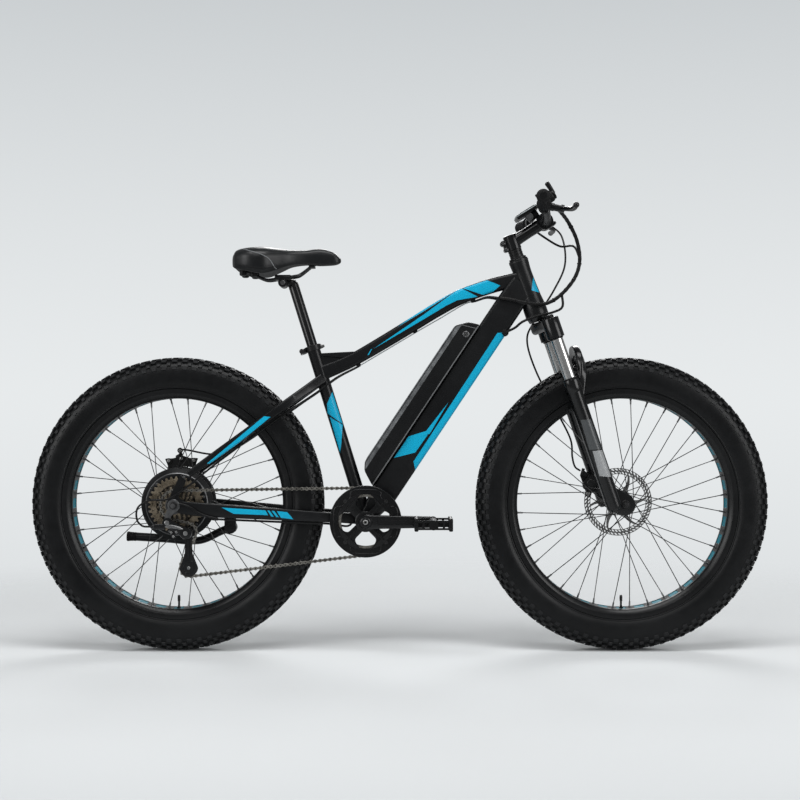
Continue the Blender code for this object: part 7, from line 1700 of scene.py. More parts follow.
@dataclass
class Fork(Assembly):
    """The suspension fork: crown, stanchions and steerer above, lowers with arch and dropouts."""

    offset: float = 0.018
    half: float = 0.085

    def build(self) -> None:
        """Build the steered crown and the sliding lowers."""
        self.crown()
        self.lowers()
        self.axle()
        self.caliper()

    def leg_point(self, down: float, side: float) -> Array:
        """A point on a leg's axis."""
        return steer_point(down, self.offset, side * self.half)

    def legs(self, profile: Array, steps: int, ring: bool = False) -> Shape:
        """The same profile turned round both legs."""
        return joined([turned(profile, self.leg_point(0.0, side), -STEER_DOWN, steps, ring=ring)
                       for side in (-1.0, 1.0)])

    def crown(self) -> None:
        """The crown bridge with its sleeves and knobs, the races, the steerer and the stanchions."""
        stations = mm((-85, 34, 18, 30), (-62, 38, 14, 29), (-40, 44, 9, 28), (-18, 52, 3, 29), (0, 55, 0, 30),
                      (18, 52, 3, 29), (40, 44, 9, 28), (62, 38, 14, 29), (85, 34, 18, 30))
        line = curve(np.array(stations), 33)
        rows = []
        for side, width, ahead, height in line:
            ring = rounded(width, height, 0.01, 5)
            rows.append(steer_point(0.0305, ahead, side) + ring[:, :1] * STEER_AHEAD - ring[:, 1:] * STEER_DOWN)
        bridge = skin(np.array(rows))
        sleeves = self.legs(mm((16, -70), (21.2, -70), (22.5, -69), (22.5, -20), (21.5, -18), (18, -17.2), (12, -17)),
                            40)
        knobs = self.legs(mm((9, -19), (12, -18.6), (12, -11), (10.8, -9.5), (6, -9)), 32)
        tubes = self.legs(mm((15, -330), (16, -329.5), (16, -60), (15, -60)), 48)
        rings = self.legs(mm((16.3, -73.5), (17.8, -73.2), (17.8, -70.2), (16.3, -69.9)), 40, True)
        race = turned(mm((18, -14), (24.5, -13.8), (25.5, -12.8), (28, -4), (28.4, -2), (28, -0.3), (18, -0.2)),
                      HEAD_FOOT, -STEER_DOWN, 44)
        steerer = turned(mm((14.3, -12), (14.3, 215), (13, 216)), HEAD_FOOT, -STEER_DOWN, 28)
        self.add("fork_crown_bridge", bridge + sleeves + race + steerer, GLOSS_BLACK, "steering", ("fork_crown",))
        self.add("fork_crown_knobs", knobs + rings, MOULDED, "steering")
        self.add("fork_stanchions", tubes, CHROME, "steering")

    def lowers(self) -> None:
        """The lower legs with collars and seals, the arch behind them and the round dropouts."""
        blocks = (Patch(mm((454.2, 593.6), (480.6, 596.1), (507.1, 520.5), (476.9, 518)), (0.06, 0.065, 0.068), 0.086),
                  Patch(mm((484.4, 515.5), (509.6, 518), (532.3, 450), (502, 452.5)), (0.29, 0.3, 0.305), 0.086))
        paint = replace(GLOSS_BLACK, name="fork_leg_paint", patches=blocks)
        legs = self.legs(mm((15, -530), (18.5, -526), (20, -518), (20, -216), (21.2, -212), (22.2, -210), (22.2, -184),
                            (21.2, -181.5), (17, -181), (16.5, -185)), 48)
        seals = self.legs(mm((16.3, -181.5), (20, -181.2), (20, -179), (17.8, -177), (16.3, -176.8)), 40, True)
        stops = np.array(((0.225, 0.03, 1.0, 0.02, 0.016), (0.175, 0.052, 0.96, 0.022, 0.018),
                          (0.138, 0.06, 0.8, 0.026, 0.018), (0.12, 0.0615, 0.5, 0.028, 0.016),
                          (0.116, 0.062, 0.0, 0.028, 0.015)))
        whole = np.vstack((stops, stops[-2::-1] * np.array((1, 1, -1, 1, 1))))
        line = curve(whole, 61)
        path = np.array([steer_point(down, ahead, side * self.half) for down, ahead, side, _, _ in line])
        sections = np.array([rounded(width, height, min(width, height) * 0.34, 4) for _, _, _, width, height in line])
        arch = sweep(path, sections, hint=STEER_DOWN)
        drop = []
        for side in Side:
            turn = np.radians(np.linspace(-110.0, 70.0, 26))
            round_part = FRONT_AXLE[[0, 2]] + 0.0265 * circle_at(turn)
            upper, rear = steer_point(0.465, 0.028), steer_point(0.515, 0.004)
            drop.append(plate(np.vstack((round_part, upper[[0, 2]], rear[[0, 2]])), 0.0672, 0.0762, 0.0022,
                              3).sided(side))
        tab = block(steer_point(0.457, -0.006, 0.0703), (0.034, 0.012, 0.056), STEER_AHEAD, -STEER_DOWN, 0.003, 0.002)
        self.add("fork_lower_legs", legs + arch + joined(drop) + tab, paint, "fork_lowers", ("fork_lowers",))
        self.add("fork_seals", seals, MOULDED, "fork_lowers")

    def axle(self) -> None:
        """The front axle, its washers and nuts."""
        bar = rod(FRONT_AXLE - Y_AXIS * 0.0885, FRONT_AXLE + Y_AXIS * 0.0885, 0.005, 20, 0.0006)
        nuts = (nut(FRONT_AXLE - Y_AXIS * 0.0775, -Y_AXIS, 0.009, 0.0075)
                + nut(FRONT_AXLE + Y_AXIS * 0.0775, Y_AXIS, 0.009, 0.0075))
        washer = mm((5.5, 0), (11.8, 0), (12.2, 0.4), (12.2, 1.2), (11.6, 1.6), (5.5, 1.6))
        washers = joined([turned(washer, FRONT_AXLE + Y_AXIS * sign * 0.0762, Y_AXIS * sign, 32)
                          for sign in (-1.0, 1.0)])
        self.add("front_axle_bar", bar + nuts + washers, BRUSHED_BLACK, "fork_lowers", ("front_axle",))

    def caliper(self) -> None:
        """The front brake caliper over its rotor."""
        radial = unit(vec(-0.8275, 0.0, 0.5614))
        shapes = caliper_shapes(FRONT_AXLE + radial * 0.087, radial, 0.0415, 0.064, 0.0525)
        self.add("front_caliper_body", shapes[0], ANODISED, "fork_lowers", ("front_brake_caliper",))
        self.add("front_caliper_screws", shapes[1], STEEL, "fork_lowers")


@dataclass
class Cockpit(Assembly):
    """Stem, spacers, handlebar, grips, brake levers, shifter, throttle, display and their cables."""

    def build(self) -> None:
        """Build what is steered by hand, from the head tube up."""
        self.stem()
        self.handlebar()
        for side in Side:
            self.perch(side)
            self.lever(side)
        self.shifter()
        self.throttle()
        self.display()
        self.cables()

    def stem(self) -> None:
        """The grooved spacers, the stem's sleeve, rising arm, clamp, cap and bolts."""
        up = -STEER_DOWN
        spacers = [turned(mm((15, 154.3), (21.8, 154.3), (22.5, 154.9), (22.5, 158.5), (21.5, 159.3), (17.8, 159.4),
                             (17.8, 166), (16.8, 166.4), (16.8, 167.2), (17.8, 167.6), (17.8, 173.5), (16.8, 173.9),
                             (16.8, 174.7), (17.8, 175.1), (17.8, 180.3), (15, 180.7)), HEAD_FOOT, up, 44)]
        sleeve = turned(mm((14.8, 181), (18.2, 181), (19, 181.8), (19, 218), (18, 219.3), (10, 219.5)), HEAD_FOOT, up,
                        44)
        start, end = steer_point(-0.2, -0.002), vec(0.373, 0.0, 1.104)
        run = unit(end - start)
        path = np.array([start + (end - start) * share for share in (0.0, 0.25, 0.5, 0.75, 1.0)])
        arm = sweep(path, oval(0.015, 0.015, 2.3, 28), hint=Y_AXIS, scale=np.array((1.12, 1.02, 0.98, 1.0, 1.12)))
        clamp = turned(mm((15, -23), (20.5, -23), (21.5, -22), mirrored=True), end, Y_AXIS, 40)
        over = np.cross(Y_AXIS, run)
        plates = [block(end + run * 0.015 + over * sign * 0.0165, (0.012, 0.044, 0.009), run, over, 0.003, 0.0015)
                  for sign in (-1.0, 1.0)]
        lugs = [turned(mm((5, -13), (7, -12.2), mirrored=True), steer_point(-0.205, -0.024), Y_AXIS, 24),
                turned(mm((4.5, -13), (6, -12.2), mirrored=True), steer_point(-0.187, -0.0215), Y_AXIS, 24),
                block(steer_point(-0.196, -0.018), (0.014, 0.02, 0.03), STEER_AHEAD, up, 0.003, 0.001)]
        bolts = [bolt(steer_point(down, ahead, -0.013), -Y_AXIS, radius, 0.0014) for down, ahead,
                 radius in ((-0.205, -0.024, 0.0042), (-0.187, -0.0215, 0.0038))]
        bolts += [bolt(end + run * 0.0205 + over * sign * 0.0165 + Y_AXIS * side * 0.015, run, 0.0032, 0.0024)
                  for sign in (-1.0, 1.0) for side in (-1.0, 1.0)]
        cap = turned(mm((10, 219), (17.2, 219.2), (17.6, 220), (15, 221.2), (8, 221.6)), HEAD_FOOT, up, 40)
        self.add("headset_spacer_stack", spacers[0], ANODISED, "steering", ("headset_spacers",))
        self.add("stem_body", sleeve + arm + clamp + joined(plates) + joined(lugs) + cap, GLOSS_BLACK, "steering",
                 ("stem",), 32)
        self.add("stem_bolts", joined(bolts), DULL_STEEL, "steering")

    def handlebar(self) -> None:
        """The risen and swept bar, thicker in the clamp, and both ribbed grips."""
        y = np.linspace(-0.3385, 0.3385, 145)
        line = bar_points(y)
        window = np.ones(9) / 9
        smooth = np.apply_along_axis(lambda v: np.convolve(np.pad(v, 4, mode="reflect", reflect_type="odd"), window,
                                                           "valid"), 0, line)
        swell = np.clip((0.04 - np.abs(y)) / 0.008, 0.0, 1.0)
        radius = 0.0111 + 0.0047 * swell * swell * (3 - 2 * swell)
        bar = sweep(smooth, circle(28), hint=X_AXIS, scale=radius)
        self.add("handlebar_tube", bar, SATIN_BLACK, "steering", ("handlebar",))
        for side in Side:
            self.grip(side)

    def grip(self, side: Side) -> None:
        """A grip: radius swells at both ends and has forty fine ribs between."""
        sign = side.value
        distance = np.linspace(0.0, 1.0, 170)
        y = 0.2105 + 0.129 * distance
        line = bar_points(y * sign)
        waist = 0.0157 + 0.0009 * np.cos(TAU * distance)
        ribs = 0.00035 * np.sign(np.sin(TAU * distance * 40.0)) * (np.abs(distance - 0.5) < 0.4)
        flange = 0.002 * np.exp(-((distance / 0.035) ** 4))
        close = np.clip((1.0 - distance) / 0.04, 0.0, 1.0)
        radius = (waist + ribs + flange) * np.sqrt(1 - (1 - close) ** 2 * 0.55)
        shape = sweep(line, circle(36), hint=X_AXIS, scale=radius)
        tip = bar_point(0.3396 * sign)
        plug = turned(mm((4, 0), (9, 0), (9.6, -0.4), (9.6, -3)), tip, Y_AXIS * sign, 36)
        word = side.word
        self.add(f"grip_{word}_sleeve", shape, GRIP_RUBBER, "steering", (f"grip_{word}",), 24)
        self.add(f"grip_{word}_plug", plug, SMOOTH_PLASTIC, "steering")

    def perch(self, side: Side) -> None:
        """A brake lever's perch: split ring on the bar, body ahead of it and the cable adjuster."""
        out, ahead, up = HAND_OUT[side], HAND_AHEAD[side], HAND_UP[side]
        origin = bar_point(0.182 * side.value)
        ring = turned(mm((11.4, -7.8), (15.5, -8), (16.5, -7), mirrored=True), origin, out, 36)
        body = block(origin + ahead * 0.0325, (0.037, 0.018, 0.016), ahead, up, 0.0045, 0.002)
        neck = block(origin + ahead * 0.018, (0.016, 0.015, 0.019), ahead, up, 0.004, 0.002)
        start = origin + ahead * 0.03 - out * 0.006
        end = origin + ahead * 0.038 - out * 0.04
        run = unit(end - start)
        reach = float(np.linalg.norm(end - start))
        adjuster = turned(((0.003, 0.0), (0.0048, 0.002), (0.0048, reach * 0.45), (0.004, reach * 0.48),
                           (0.004, reach * 0.55), (0.0048, reach * 0.58), (0.0048, reach * 0.86), (0.0036, reach * 0.9),
                           (0.0036, reach)), start, run, 20)
        screw = bolt(origin + ahead * 0.045 + out * 0.004 + up * 0.008, up, 0.0042, 0.0018)
        pinch = bolt(origin - up * 0.012 + ahead * 0.012, -up, 0.0032, 0.004)
        word = side.word
        self.add(f"brake_perch_{word}_body", ring + body + neck + adjuster, GLOSS_BLACK, "steering",
                 (f"brake_perch_{word}",))
        self.add(f"brake_perch_{word}_screws", screw + pinch, DULL_STEEL, "steering")

    def lever(self, side: Side) -> None:
        """A brake lever blade: a flat oval section along a smooth path, ending in a ball."""
        out, ahead, up = HAND_OUT[side], HAND_AHEAD[side], HAND_UP[side]
        pivot = bar_point(0.182 * side.value) + ahead * 0.045 + out * 0.004
        stops = mm((-4, -4, 13, 10), (8, 10, 14, 10.5), (22, 28, 14, 11), (30, 60, 13, 11.5), (33, 90, 12, 12),
                   (34.5, 108, 12, 12))
        arm = blade(stops, 36, pivot, ahead, out, 2.8, np.cross(up, out))
        turn = np.linspace(0.12, math.pi - 0.12, 14)
        ball = turned(np.stack((0.0074 * np.sin(turn), -0.0074 * np.cos(turn)), axis=1),
                      pivot + ahead * 0.0345 + out * 0.112, out, 24)
        word = side.word
        self.add(f"brake_lever_{word}_blade", arm + ball, GLOSS_BLACK, f"brake_lever_{word}", (f"brake_lever_{word}",),
                 35)

    def shifter(self) -> None:
        """The thumb shifter: clamp ring, round housing and the lever that turns on it."""
        place, axis = vec(0.37646, -0.157, 1.15143), unit(vec(0.85303, 0.0, 0.52186))
        rest = vec(-0.52186, 0.0, 0.85303)
        bar = bar_point(-0.157)
        ring = turned(mm((11.3, -9), (15.2, -9), (16, -8.2), mirrored=True), bar, Y_AXIS, 36)
        housing = turned(mm((10, -14), (13.6, -13.8), (15, -12), (15, -2), (14.4, 0), (13, 2), (10, 2)), place, axis,
                         40)
        neck = block((bar + place) / 2 - axis * 0.004, (0.016, 0.014, 0.022), axis, unit(place - bar), 0.004, 0.0015)
        self.add("shifter_housing", ring + housing + neck, MOULDED, "steering", ("shifter_body",), 32)
        disc_part = turned(mm((5, 2.3), (11, 2.4), (12, 3.4), (12, 7), (10.8, 8.3), (4, 8.3)), place, axis, 36)
        stops = mm((2, 6.2, 13, 11), (14, 6.2, 12.5, 11.2), (24, 6, 13.5, 12), (31, 5.6, 13.5, 12),
                   (33.5, 5.4, 11.5, 10.4), (35, 5.2, 6, 5.6))
        arm = blade(stops, 24, place, rest, axis, 2.6, Y_AXIS)
        screw = bolt(place + axis * 0.008, axis, 0.004, 0.0014)
        self.add("shift_lever_blade", disc_part + arm, SMOOTH_PLASTIC, "shift_lever", ("shift_lever",), 32)
        self.add("shift_lever_screw", screw, DULL_STEEL, "shift_lever")

    def throttle(self) -> None:
        """The throttle's body on the bar and its paddle ring with a ribbed thumb pad."""
        centre = bar_point(-0.2036)
        out = HAND_OUT[Side.RIGHT]
        body = turned(mm((11.4, -4.8), (17.2, -4.8), (18.5, -3.6), mirrored=True), centre, out, 40)
        box = block(centre - HAND_UP[Side.RIGHT] * 0.015 + HAND_AHEAD[Side.RIGHT] * 0.004, (0.018, 0.0094, 0.012),
                    HAND_AHEAD[Side.RIGHT], HAND_UP[Side.RIGHT], 0.002, 0.001)
        self.add("throttle_housing", body + box, MOULDED, "steering", ("throttle_body",))
        hub = vec(0.3543, -0.19525, 1.12388)
        ring = turned(mm((11.4, -3.2), (15.6, -3.2), (16.5, -2.4), mirrored=True), hub, out, 40)
        run = unit(vec(-0.62, 0.0, 0.78))
        over = np.cross(out, run)
        stops = mm((13.5, 0, 5.8, 10), (19, 0, 5.6, 9.5), (24, 0.4, 5.8, 8.5), (29, 1.2, 6, 7), (32.5, 2, 4.8, 4.5))
        pad = blade(stops, 20, hub, run, over, 2.8, out)
        self.add("throttle_paddle_ring", ring + pad, MOULDED, "throttle_paddle", ("throttle_paddle",), 32)

    def display(self) -> None:
        """The tilted display: a rounded slab with a glass face, keys and its bracket."""
        tilt = math.radians(31.8)
        ahead, up = vec(math.cos(tilt), 0.0, math.sin(tilt)), vec(-math.sin(tilt), 0.0, math.cos(tilt))
        centre = vec(0.3268, 0.0, 1.1265)
        case = slab(centre, ahead, up, 0.064, 0.09, 0.012, 0.0085)
        glass = slab(centre + up * 0.0056 + ahead * 0.003, ahead, up, 0.05, 0.078, 0.0022, 0.006)
        rim = slab(centre + up * 0.003, ahead, up, 0.0646, 0.0906, 0.0022, 0.0088)
        keys = joined([slab(centre + up * 0.0058 - ahead * 0.027 + Y_AXIS * y, ahead, up, 0.006, 0.014, 0.002, 0.002)
                       for y in (-0.022, 0.0, 0.022)])
        bracket = block(centre - up * 0.015 + ahead * 0.01, (0.03, 0.022, 0.02), ahead, up, 0.005, 0.002)
        dial = turned(mm((7, 0), (10.4, 0.6), (10.4, 4), (9, 5), (5, 5.2)), centre - up * 0.012 - Y_AXIS * 0.008,
                      -Y_AXIS, 32)
        self.add("display_case", case + bracket + keys, SMOOTH_PLASTIC, "steering", ("display",))
        self.add("display_glass_face", glass, GLASS_BLACK, "steering")
        self.add("display_edge", rim, PALE_EDGE, "steering")
        self.add("display_dial", dial, GREY_PLASTIC, "steering")

    def cables(self) -> None:
        """The wrapped loom with its branches and ties, and the front brake cable."""
        mouth = vec(0.397, -0.1464, 1.1145)
        along = unit(vec(0.3307, 0.9411, -0.0708))
        trunk = [mouth, mouth + along * 0.006, vec(0.425, -0.092, 1.092), vec(0.45, -0.06, 1.05),
                 vec(0.459, -0.045, 1.0), vec(0.446, -0.042, 0.955), vec(0.41, -0.043, 0.912), vec(0.37, -0.044, 0.89),
                 vec(0.32, -0.043, 0.893), vec(0.28, -0.038, 0.902), vec(0.256, -0.0335, 0.9057)]
        line = curve(np.array(trunk), 150)
        spiral = 1.0 + 0.05 * np.sin(np.linspace(0.0, TAU * 34, 150))
        wrap = sweep(line, circle(16), scale=0.0048 * spiral)
        power = cable((tuple(line[88]), (0.415, -0.043, 0.882), (0.39, -0.0445, 0.868), (0.355, -0.044, 0.86),
                       (0.315, -0.04, 0.845), (0.296, -0.0362, 0.83), (0.28, -0.0345, 0.8218), (0.269, -0.03, 0.8172)),
                      0.0032)
        branch = cable((tuple(line[58]), (0.45, 0.01, 1.042), (0.42, 0.064, 1.048), (0.382, 0.114, 1.078),
                        (0.3535, 0.1735, 1.1093)), 0.003)
        ties = joined([turned(mm((5, -1.6), (6, -1.4), mirrored=True), line[k], line[k + 1] - line[k - 1], 20,
                              ring=True) for k in (34, 62, 96, 128)])
        loom = self.add("cable_loom_wrap", wrap + power + branch + ties, WRAP, "", ("cable_loom",), 40)
        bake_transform(loom)
        left = vec(0.397, 0.1464, 1.1145)
        in_line = along * np.array((1.0, -1.0, 1.0))
        brake = [left, left + in_line * 0.006, vec(0.428, 0.092, 1.076), vec(0.433, 0.06, 1.0), vec(0.402, 0.048, 0.93),
                 vec(0.352, 0.06, 0.85), vec(0.335, 0.078, 0.8), vec(0.36, 0.093, 0.72), vec(0.412, 0.1, 0.62),
                 vec(0.45, 0.088, 0.542), vec(0.453, 0.068, 0.495), vec(0.459, 0.0585, 0.469),
                 vec(0.4732, 0.058, 0.4584)]
        hose = self.add("front_brake_housing", cable(np.array(brake), 0.0025), HOUSING, "", ("front_brake_cable",), 40)
        tuple(steer_point(-0.10))
        tuple(steer_point(0.30))
        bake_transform(hose)


def slab(centre: Array, ahead: Array, up: Array, length: float, width: float, height: float, corner: float) -> Shape:
    """A rounded slab: one rounded outline in the plane, narrowed in steps towards both faces."""
    edge = min(height * 0.35, 0.003)
    outline = rounded(length, width, corner, 6)
    rows = []
    for share, lift in ((edge, -height / 2), (edge * 0.25, -height / 2 + edge * 0.5), (0.0, -height / 2 + edge),
                        (0.0, height / 2 - edge), (edge * 0.25, height / 2 - edge * 0.5), (edge, height / 2)):
        flat = outline * (1 - share / np.array((length, width)) * 2)
        rows.append(centre + flat[:, :1] * ahead + flat[:, 1:] * Y_AXIS + up * lift)
    return skin(np.array(rows))


@dataclass
class Seat(Assembly):
    """The saddle on its rails, clamp and post."""

    table: tuple[tuple[float, float, float, float], ...] = ((0.0, 0.046, 1.014, 0.983), (0.05, 0.066, 1.0285, 0.977),
                                                            (0.16, 0.084, 1.035, 0.97), (0.3, 0.084, 1.0365, 0.964),
                                                            (0.42, 0.064, 1.033, 0.975), (0.54, 0.041, 1.03, 0.988),
                                                            (0.68, 0.0275, 1.0302, 0.9925),
                                                            (0.8, 0.024, 1.0338, 0.9905), (0.9, 0.0215, 1.0285, 0.9915),
                                                            (0.96, 0.0195, 1.02, 0.993), (1.0, 0.0175, 1.012, 0.9945))
    rail_run: tuple[tuple[float, float, float], ...] = ((-0.398, 0.022, 0.97), (-0.372, 0.022, 0.964),
                                                        (-0.344, 0.022, 0.9535), (-0.318, 0.022, 0.9555),
                                                        (-0.27, 0.022, 0.9625), (-0.255, 0.016, 0.968),
                                                        (-0.229, 0.01, 0.988))

    def build(self) -> None:
        """Build the saddle, its trim, rails, clamp and post."""
        self.saddle()
        self.rails()
        self.post()

    def surface(self, share: Array, around: Array, swell: float = 0.0) -> Array:
        """Points on the saddle's skin.

        Along: x = -0.431 + 0.279 share, with half width, top and foot read from a smooth curve
        through the table. Around: a closed ring (width share, height share) that crowns in the
        middle, rolls over the side and tucks under. The skirt sinks where it meets the shell.

        Args:
            share: Places along the saddle from tail to nose, 0 to 1.
            around: Places round the section, 0 to 1, from the top round the left side.
            swell: Distance added to the width and the height.

        Returns:
            Points, (share, around, 3).
        """
        fine = curve(np.array(self.table), 400)
        half, top, foot = (np.interp(share, fine[:, 0], fine[:, k]) for k in (1, 2, 3))
        half, top = half + swell, top + swell
        side = np.array(((0.0, 0.985), (0.24, 1.0), (0.5, 0.985), (0.74, 0.925), (0.92, 0.8), (1.0, 0.62), (1.0, 0.4),
                         (0.975, 0.2), (0.93, 0.07), (0.86, 0.02), (0.72, 0.05), (0.45, 0.12), (0.22, 0.15)))
        ring = np.vstack((side, ((0.0, 0.16),), side[:0:-1] * np.array((-1.0, 1.0))))
        smooth = curve(ring, 520, looped=True)
        place = np.interp(around, np.arange(521) / 520.0, np.arange(521))
        wide = np.interp(place, np.arange(521), np.append(smooth[:, 0], smooth[0, 0]))
        high = np.interp(place, np.arange(521), np.append(smooth[:, 1], smooth[0, 1]))
        y = half[:, None] * wide
        x = np.broadcast_to(-0.431 + 0.279 * share[:, None], y.shape)
        z = foot[:, None] + (top - foot)[:, None] * high
        return np.stack((x, y, z), axis=-1)

    def saddle(self) -> None:
        """The padded cover: its tail and nose close as blunt ovals, where size = (1 - t^2.6)^(1/2.4)."""
        bend = np.sin(np.linspace(0.0, math.pi / 2, 13)[:-1])
        tail, nose = 0.045 * (1 - bend[::-1]), 0.92 + 0.08 * bend
        share = np.concatenate((tail, np.linspace(0.049, 0.916, 82), nose))
        reach = np.maximum(np.clip((0.045 - share) / 0.045, 0, 1), np.clip((share - 0.92) / 0.08, 0, 1))
        size = np.maximum(1 - reach ** 2.6, 0.0) ** (1 / 2.4)
        around = np.arange(96) / 96.0
        held = self.surface(np.clip(share, 0.02, 0.985), around)
        rows = self.surface(share, around)
        middle = held.mean(axis=1, keepdims=True)
        held = middle + (held - middle) * np.where(reach > 0, np.maximum(size, 0.06), 1.0)[:, None, None]
        rows[..., 1:] = held[..., 1:]
        low = (around > 0.3) & (around < 0.7)
        cover = skin(rows)
        cover.flow = np.tile(low.astype(float), len(rows))
        piece = self.add("saddle_cover", cover, SADDLE_VINYL, "seat", ("saddle",), 60, 1)
        self.trim()

    def trim(self) -> None:
        """Piping: a curved seam down each side behind the waist, and a welt round the rear rim.

        The seam runs through places (along, around), from the top near the tail to the lower rim.
        """
        parts = []
        stops = np.array(((0.09, 0.112), (0.185, 0.158), (0.3, 0.188), (0.368, 0.226), (0.42, 0.32)))
        for mirror in (False, True):
            line = np.array([self.surface(np.array((a,)), np.array((1.0 - b if mirror else b,)), 0.0004)[0, 0]
                             for a, b in curve(stops, 48)])
            parts.append(tube(line, 0.0011, 8))
        self.add("saddle_piping", joined(parts), PIPING, "seat", (), 60)
        parts = []
        seam_share = np.linspace(0.052, 0.43, 60)
        for mirror in (False, True):
            place = 0.272
            line = self.surface(seam_share, np.array((1.0 - place if mirror else place,)), 0.0003)[:, 0]
            parts.append(tube(line, 0.0012, 8))
        self.add("saddle_welt", joined(parts), MOULDED, "seat", (), 60)
        bumpers = []
        for y in (-0.03, 0.03):
            for x, z in ((-0.402, 0.972), (-0.376, 0.969)):
                bumpers.append(turned(mm((6, -10), (9.2, -8), (9.8, 0), (9.2, 8), (6, 10)), vec(x, y, z), Z_AXIS, 20))
        self.add("saddle_bumpers", joined(bumpers), MOULDED, "seat", (), 40)

    def rails(self) -> None:
        """The twin rails, with their rear and nose blocks."""
        parts = []
        for side in Side:
            line = np.array(self.rail_run) * np.array((1.0, side.value, 1.0))
            parts.append(cable(line, 0.0035, 14, 0.004))
        parts.append(block(vec(-0.39, 0.0, 0.971), (0.024, 0.07, 0.008), corner=0.002, edge=0.001))
        parts.append(block(vec(-0.227, 0.0, 0.9878), (0.016, 0.034, 0.008), corner=0.002, edge=0.001))
        self.add("saddle_rail_pair", joined(parts), GLOSS_BLACK, "seat", ("saddle_rails",), 40)

    def post(self) -> None:
        """The round post, the cradle, the clamp with its grooves, and its bolt."""
        foot = seat_point(0.27)
        top = vec(-0.2767, 0.0, 0.945)
        length = float(np.linalg.norm(top - foot))
        shaft = turned(((0.0126, 0.0), (0.0136, 0.001), (0.0136, length - 0.004), (0.0128, length), (0.01, length)),
                       foot, top - foot, 44)
        head = vec(-0.301, 0.0, 0.9455)
        neck_path = np.array((top - SEAT_UP * 0.01, top, (top + head) / 2 + Z_AXIS * 0.002, head))
        neck = sweep(neck_path, oval(0.0135, 0.0118, 2.4, 28), hint=Y_AXIS, scale=np.array((1.0, 1.0, 0.95, 0.9)))
        cradle = turned(mm((7, -30), (11.2, -29.8), (12, -28.5), mirrored=True), head, Y_AXIS, 36)
        clamp = block(head + Z_AXIS * 0.0125, (0.042, 0.056, 0.012), corner=0.003, edge=0.002)
        grooves = joined([block(head + Z_AXIS * 0.0188 + Y_AXIS * y, (0.04, 0.009, 0.0025), corner=0.0008, edge=0.0006)
                          for y in (-0.022, 0.022)])
        screw = bolt(head - Y_AXIS * 0.03, -Y_AXIS, 0.0062, 0.0034) + nut(head + Y_AXIS * 0.03, Y_AXIS, 0.0075, 0.004)
        self.add("seatpost_shaft", shaft + neck + cradle + clamp + grooves, GLOSS_BLACK, "seat", ("seatpost",))
        self.add("seatpost_bolt", screw, DULL_STEEL, "seat")


@dataclass
class SeatLever(Assembly):
    """The seat collar's quick-release lever: a barrel and a curved blade along the collar."""

    def build(self) -> None:
        """Build the barrel and the blade."""
        hub = vec(-0.25222, 0.0298, 0.76895)
        barrel = turned(mm((5, -7), (7.2, -7), (8, -6.2), mirrored=True), hub, SEAT_UP, 32)
        ahead = -SEAT_BACK
        stops = mm((2, 1, 5, 9), (16, 3, 5, 10.5), (32, 4.2, 5.2, 11.2), (48, 4.6, 5.4, 10.8), (57.5, 5, 4.5, 7.5))
        arm = blade(stops, 24, hub, ahead, Y_AXIS, 2.8, Y_AXIS)
        self.add("seat_lever_blade", barrel + arm, SILVER_ALLOY, "seat_qr_lever", ("seat_qr_lever",), 32)


@dataclass
class Kickstand(Assembly):
    """The kickstand: pivot hub, bent leg and rubber foot."""

    def build(self) -> None:
        """Build the hub, the leg and the foot."""
        pivot = vec(-0.449, 0.115, 0.306)
        hub = turned(mm((10, -24), (15, -23.8), (16, -22.6), (16, 8.8), (13.2, 10), (10, 10)), pivot, Y_AXIS, 36)
        knee, toe = pivot + vec(-0.087, 0.004, -0.036), pivot + vec(-0.253, 0.006, -0.026)
        end = pivot + vec(-0.278, 0.006, -0.025)
        path = curve(np.array((pivot, (pivot * 2 + knee) / 3, knee, (knee + toe) / 2, toe)), 44)
        leg = sweep(path, circle(20), hint=Y_AXIS, scale=np.interp(np.arange(44), (0, 24, 27, 43),
                                                                   (0.0108, 0.01, 0.0112, 0.0112)))
        screw = bolt(pivot + Y_AXIS * 0.011, Y_AXIS, 0.0062, 0.0026)
        reach = float(np.linalg.norm(end - toe))
        foot = turned(((0.0105, 0.0), (0.0118, 0.001), (0.0118, 0.005), (0.0112, 0.006), (0.0116, 0.0065),
                       (0.0122, 0.016), (0.012, 0.017), (0.0127, 0.0175), (0.013, reach - 0.002),
                       (0.0118, reach - 0.0002), (0.008, reach)), toe, end - toe, 32)
        self.add("kickstand_leg", hub + leg, SATIN_BLACK, "kickstand", ("kickstand",), 35)
        self.add("kickstand_foot", foot, GRIP_RUBBER, "kickstand")
        self.add("kickstand_screw", screw, DULL_STEEL, "kickstand")


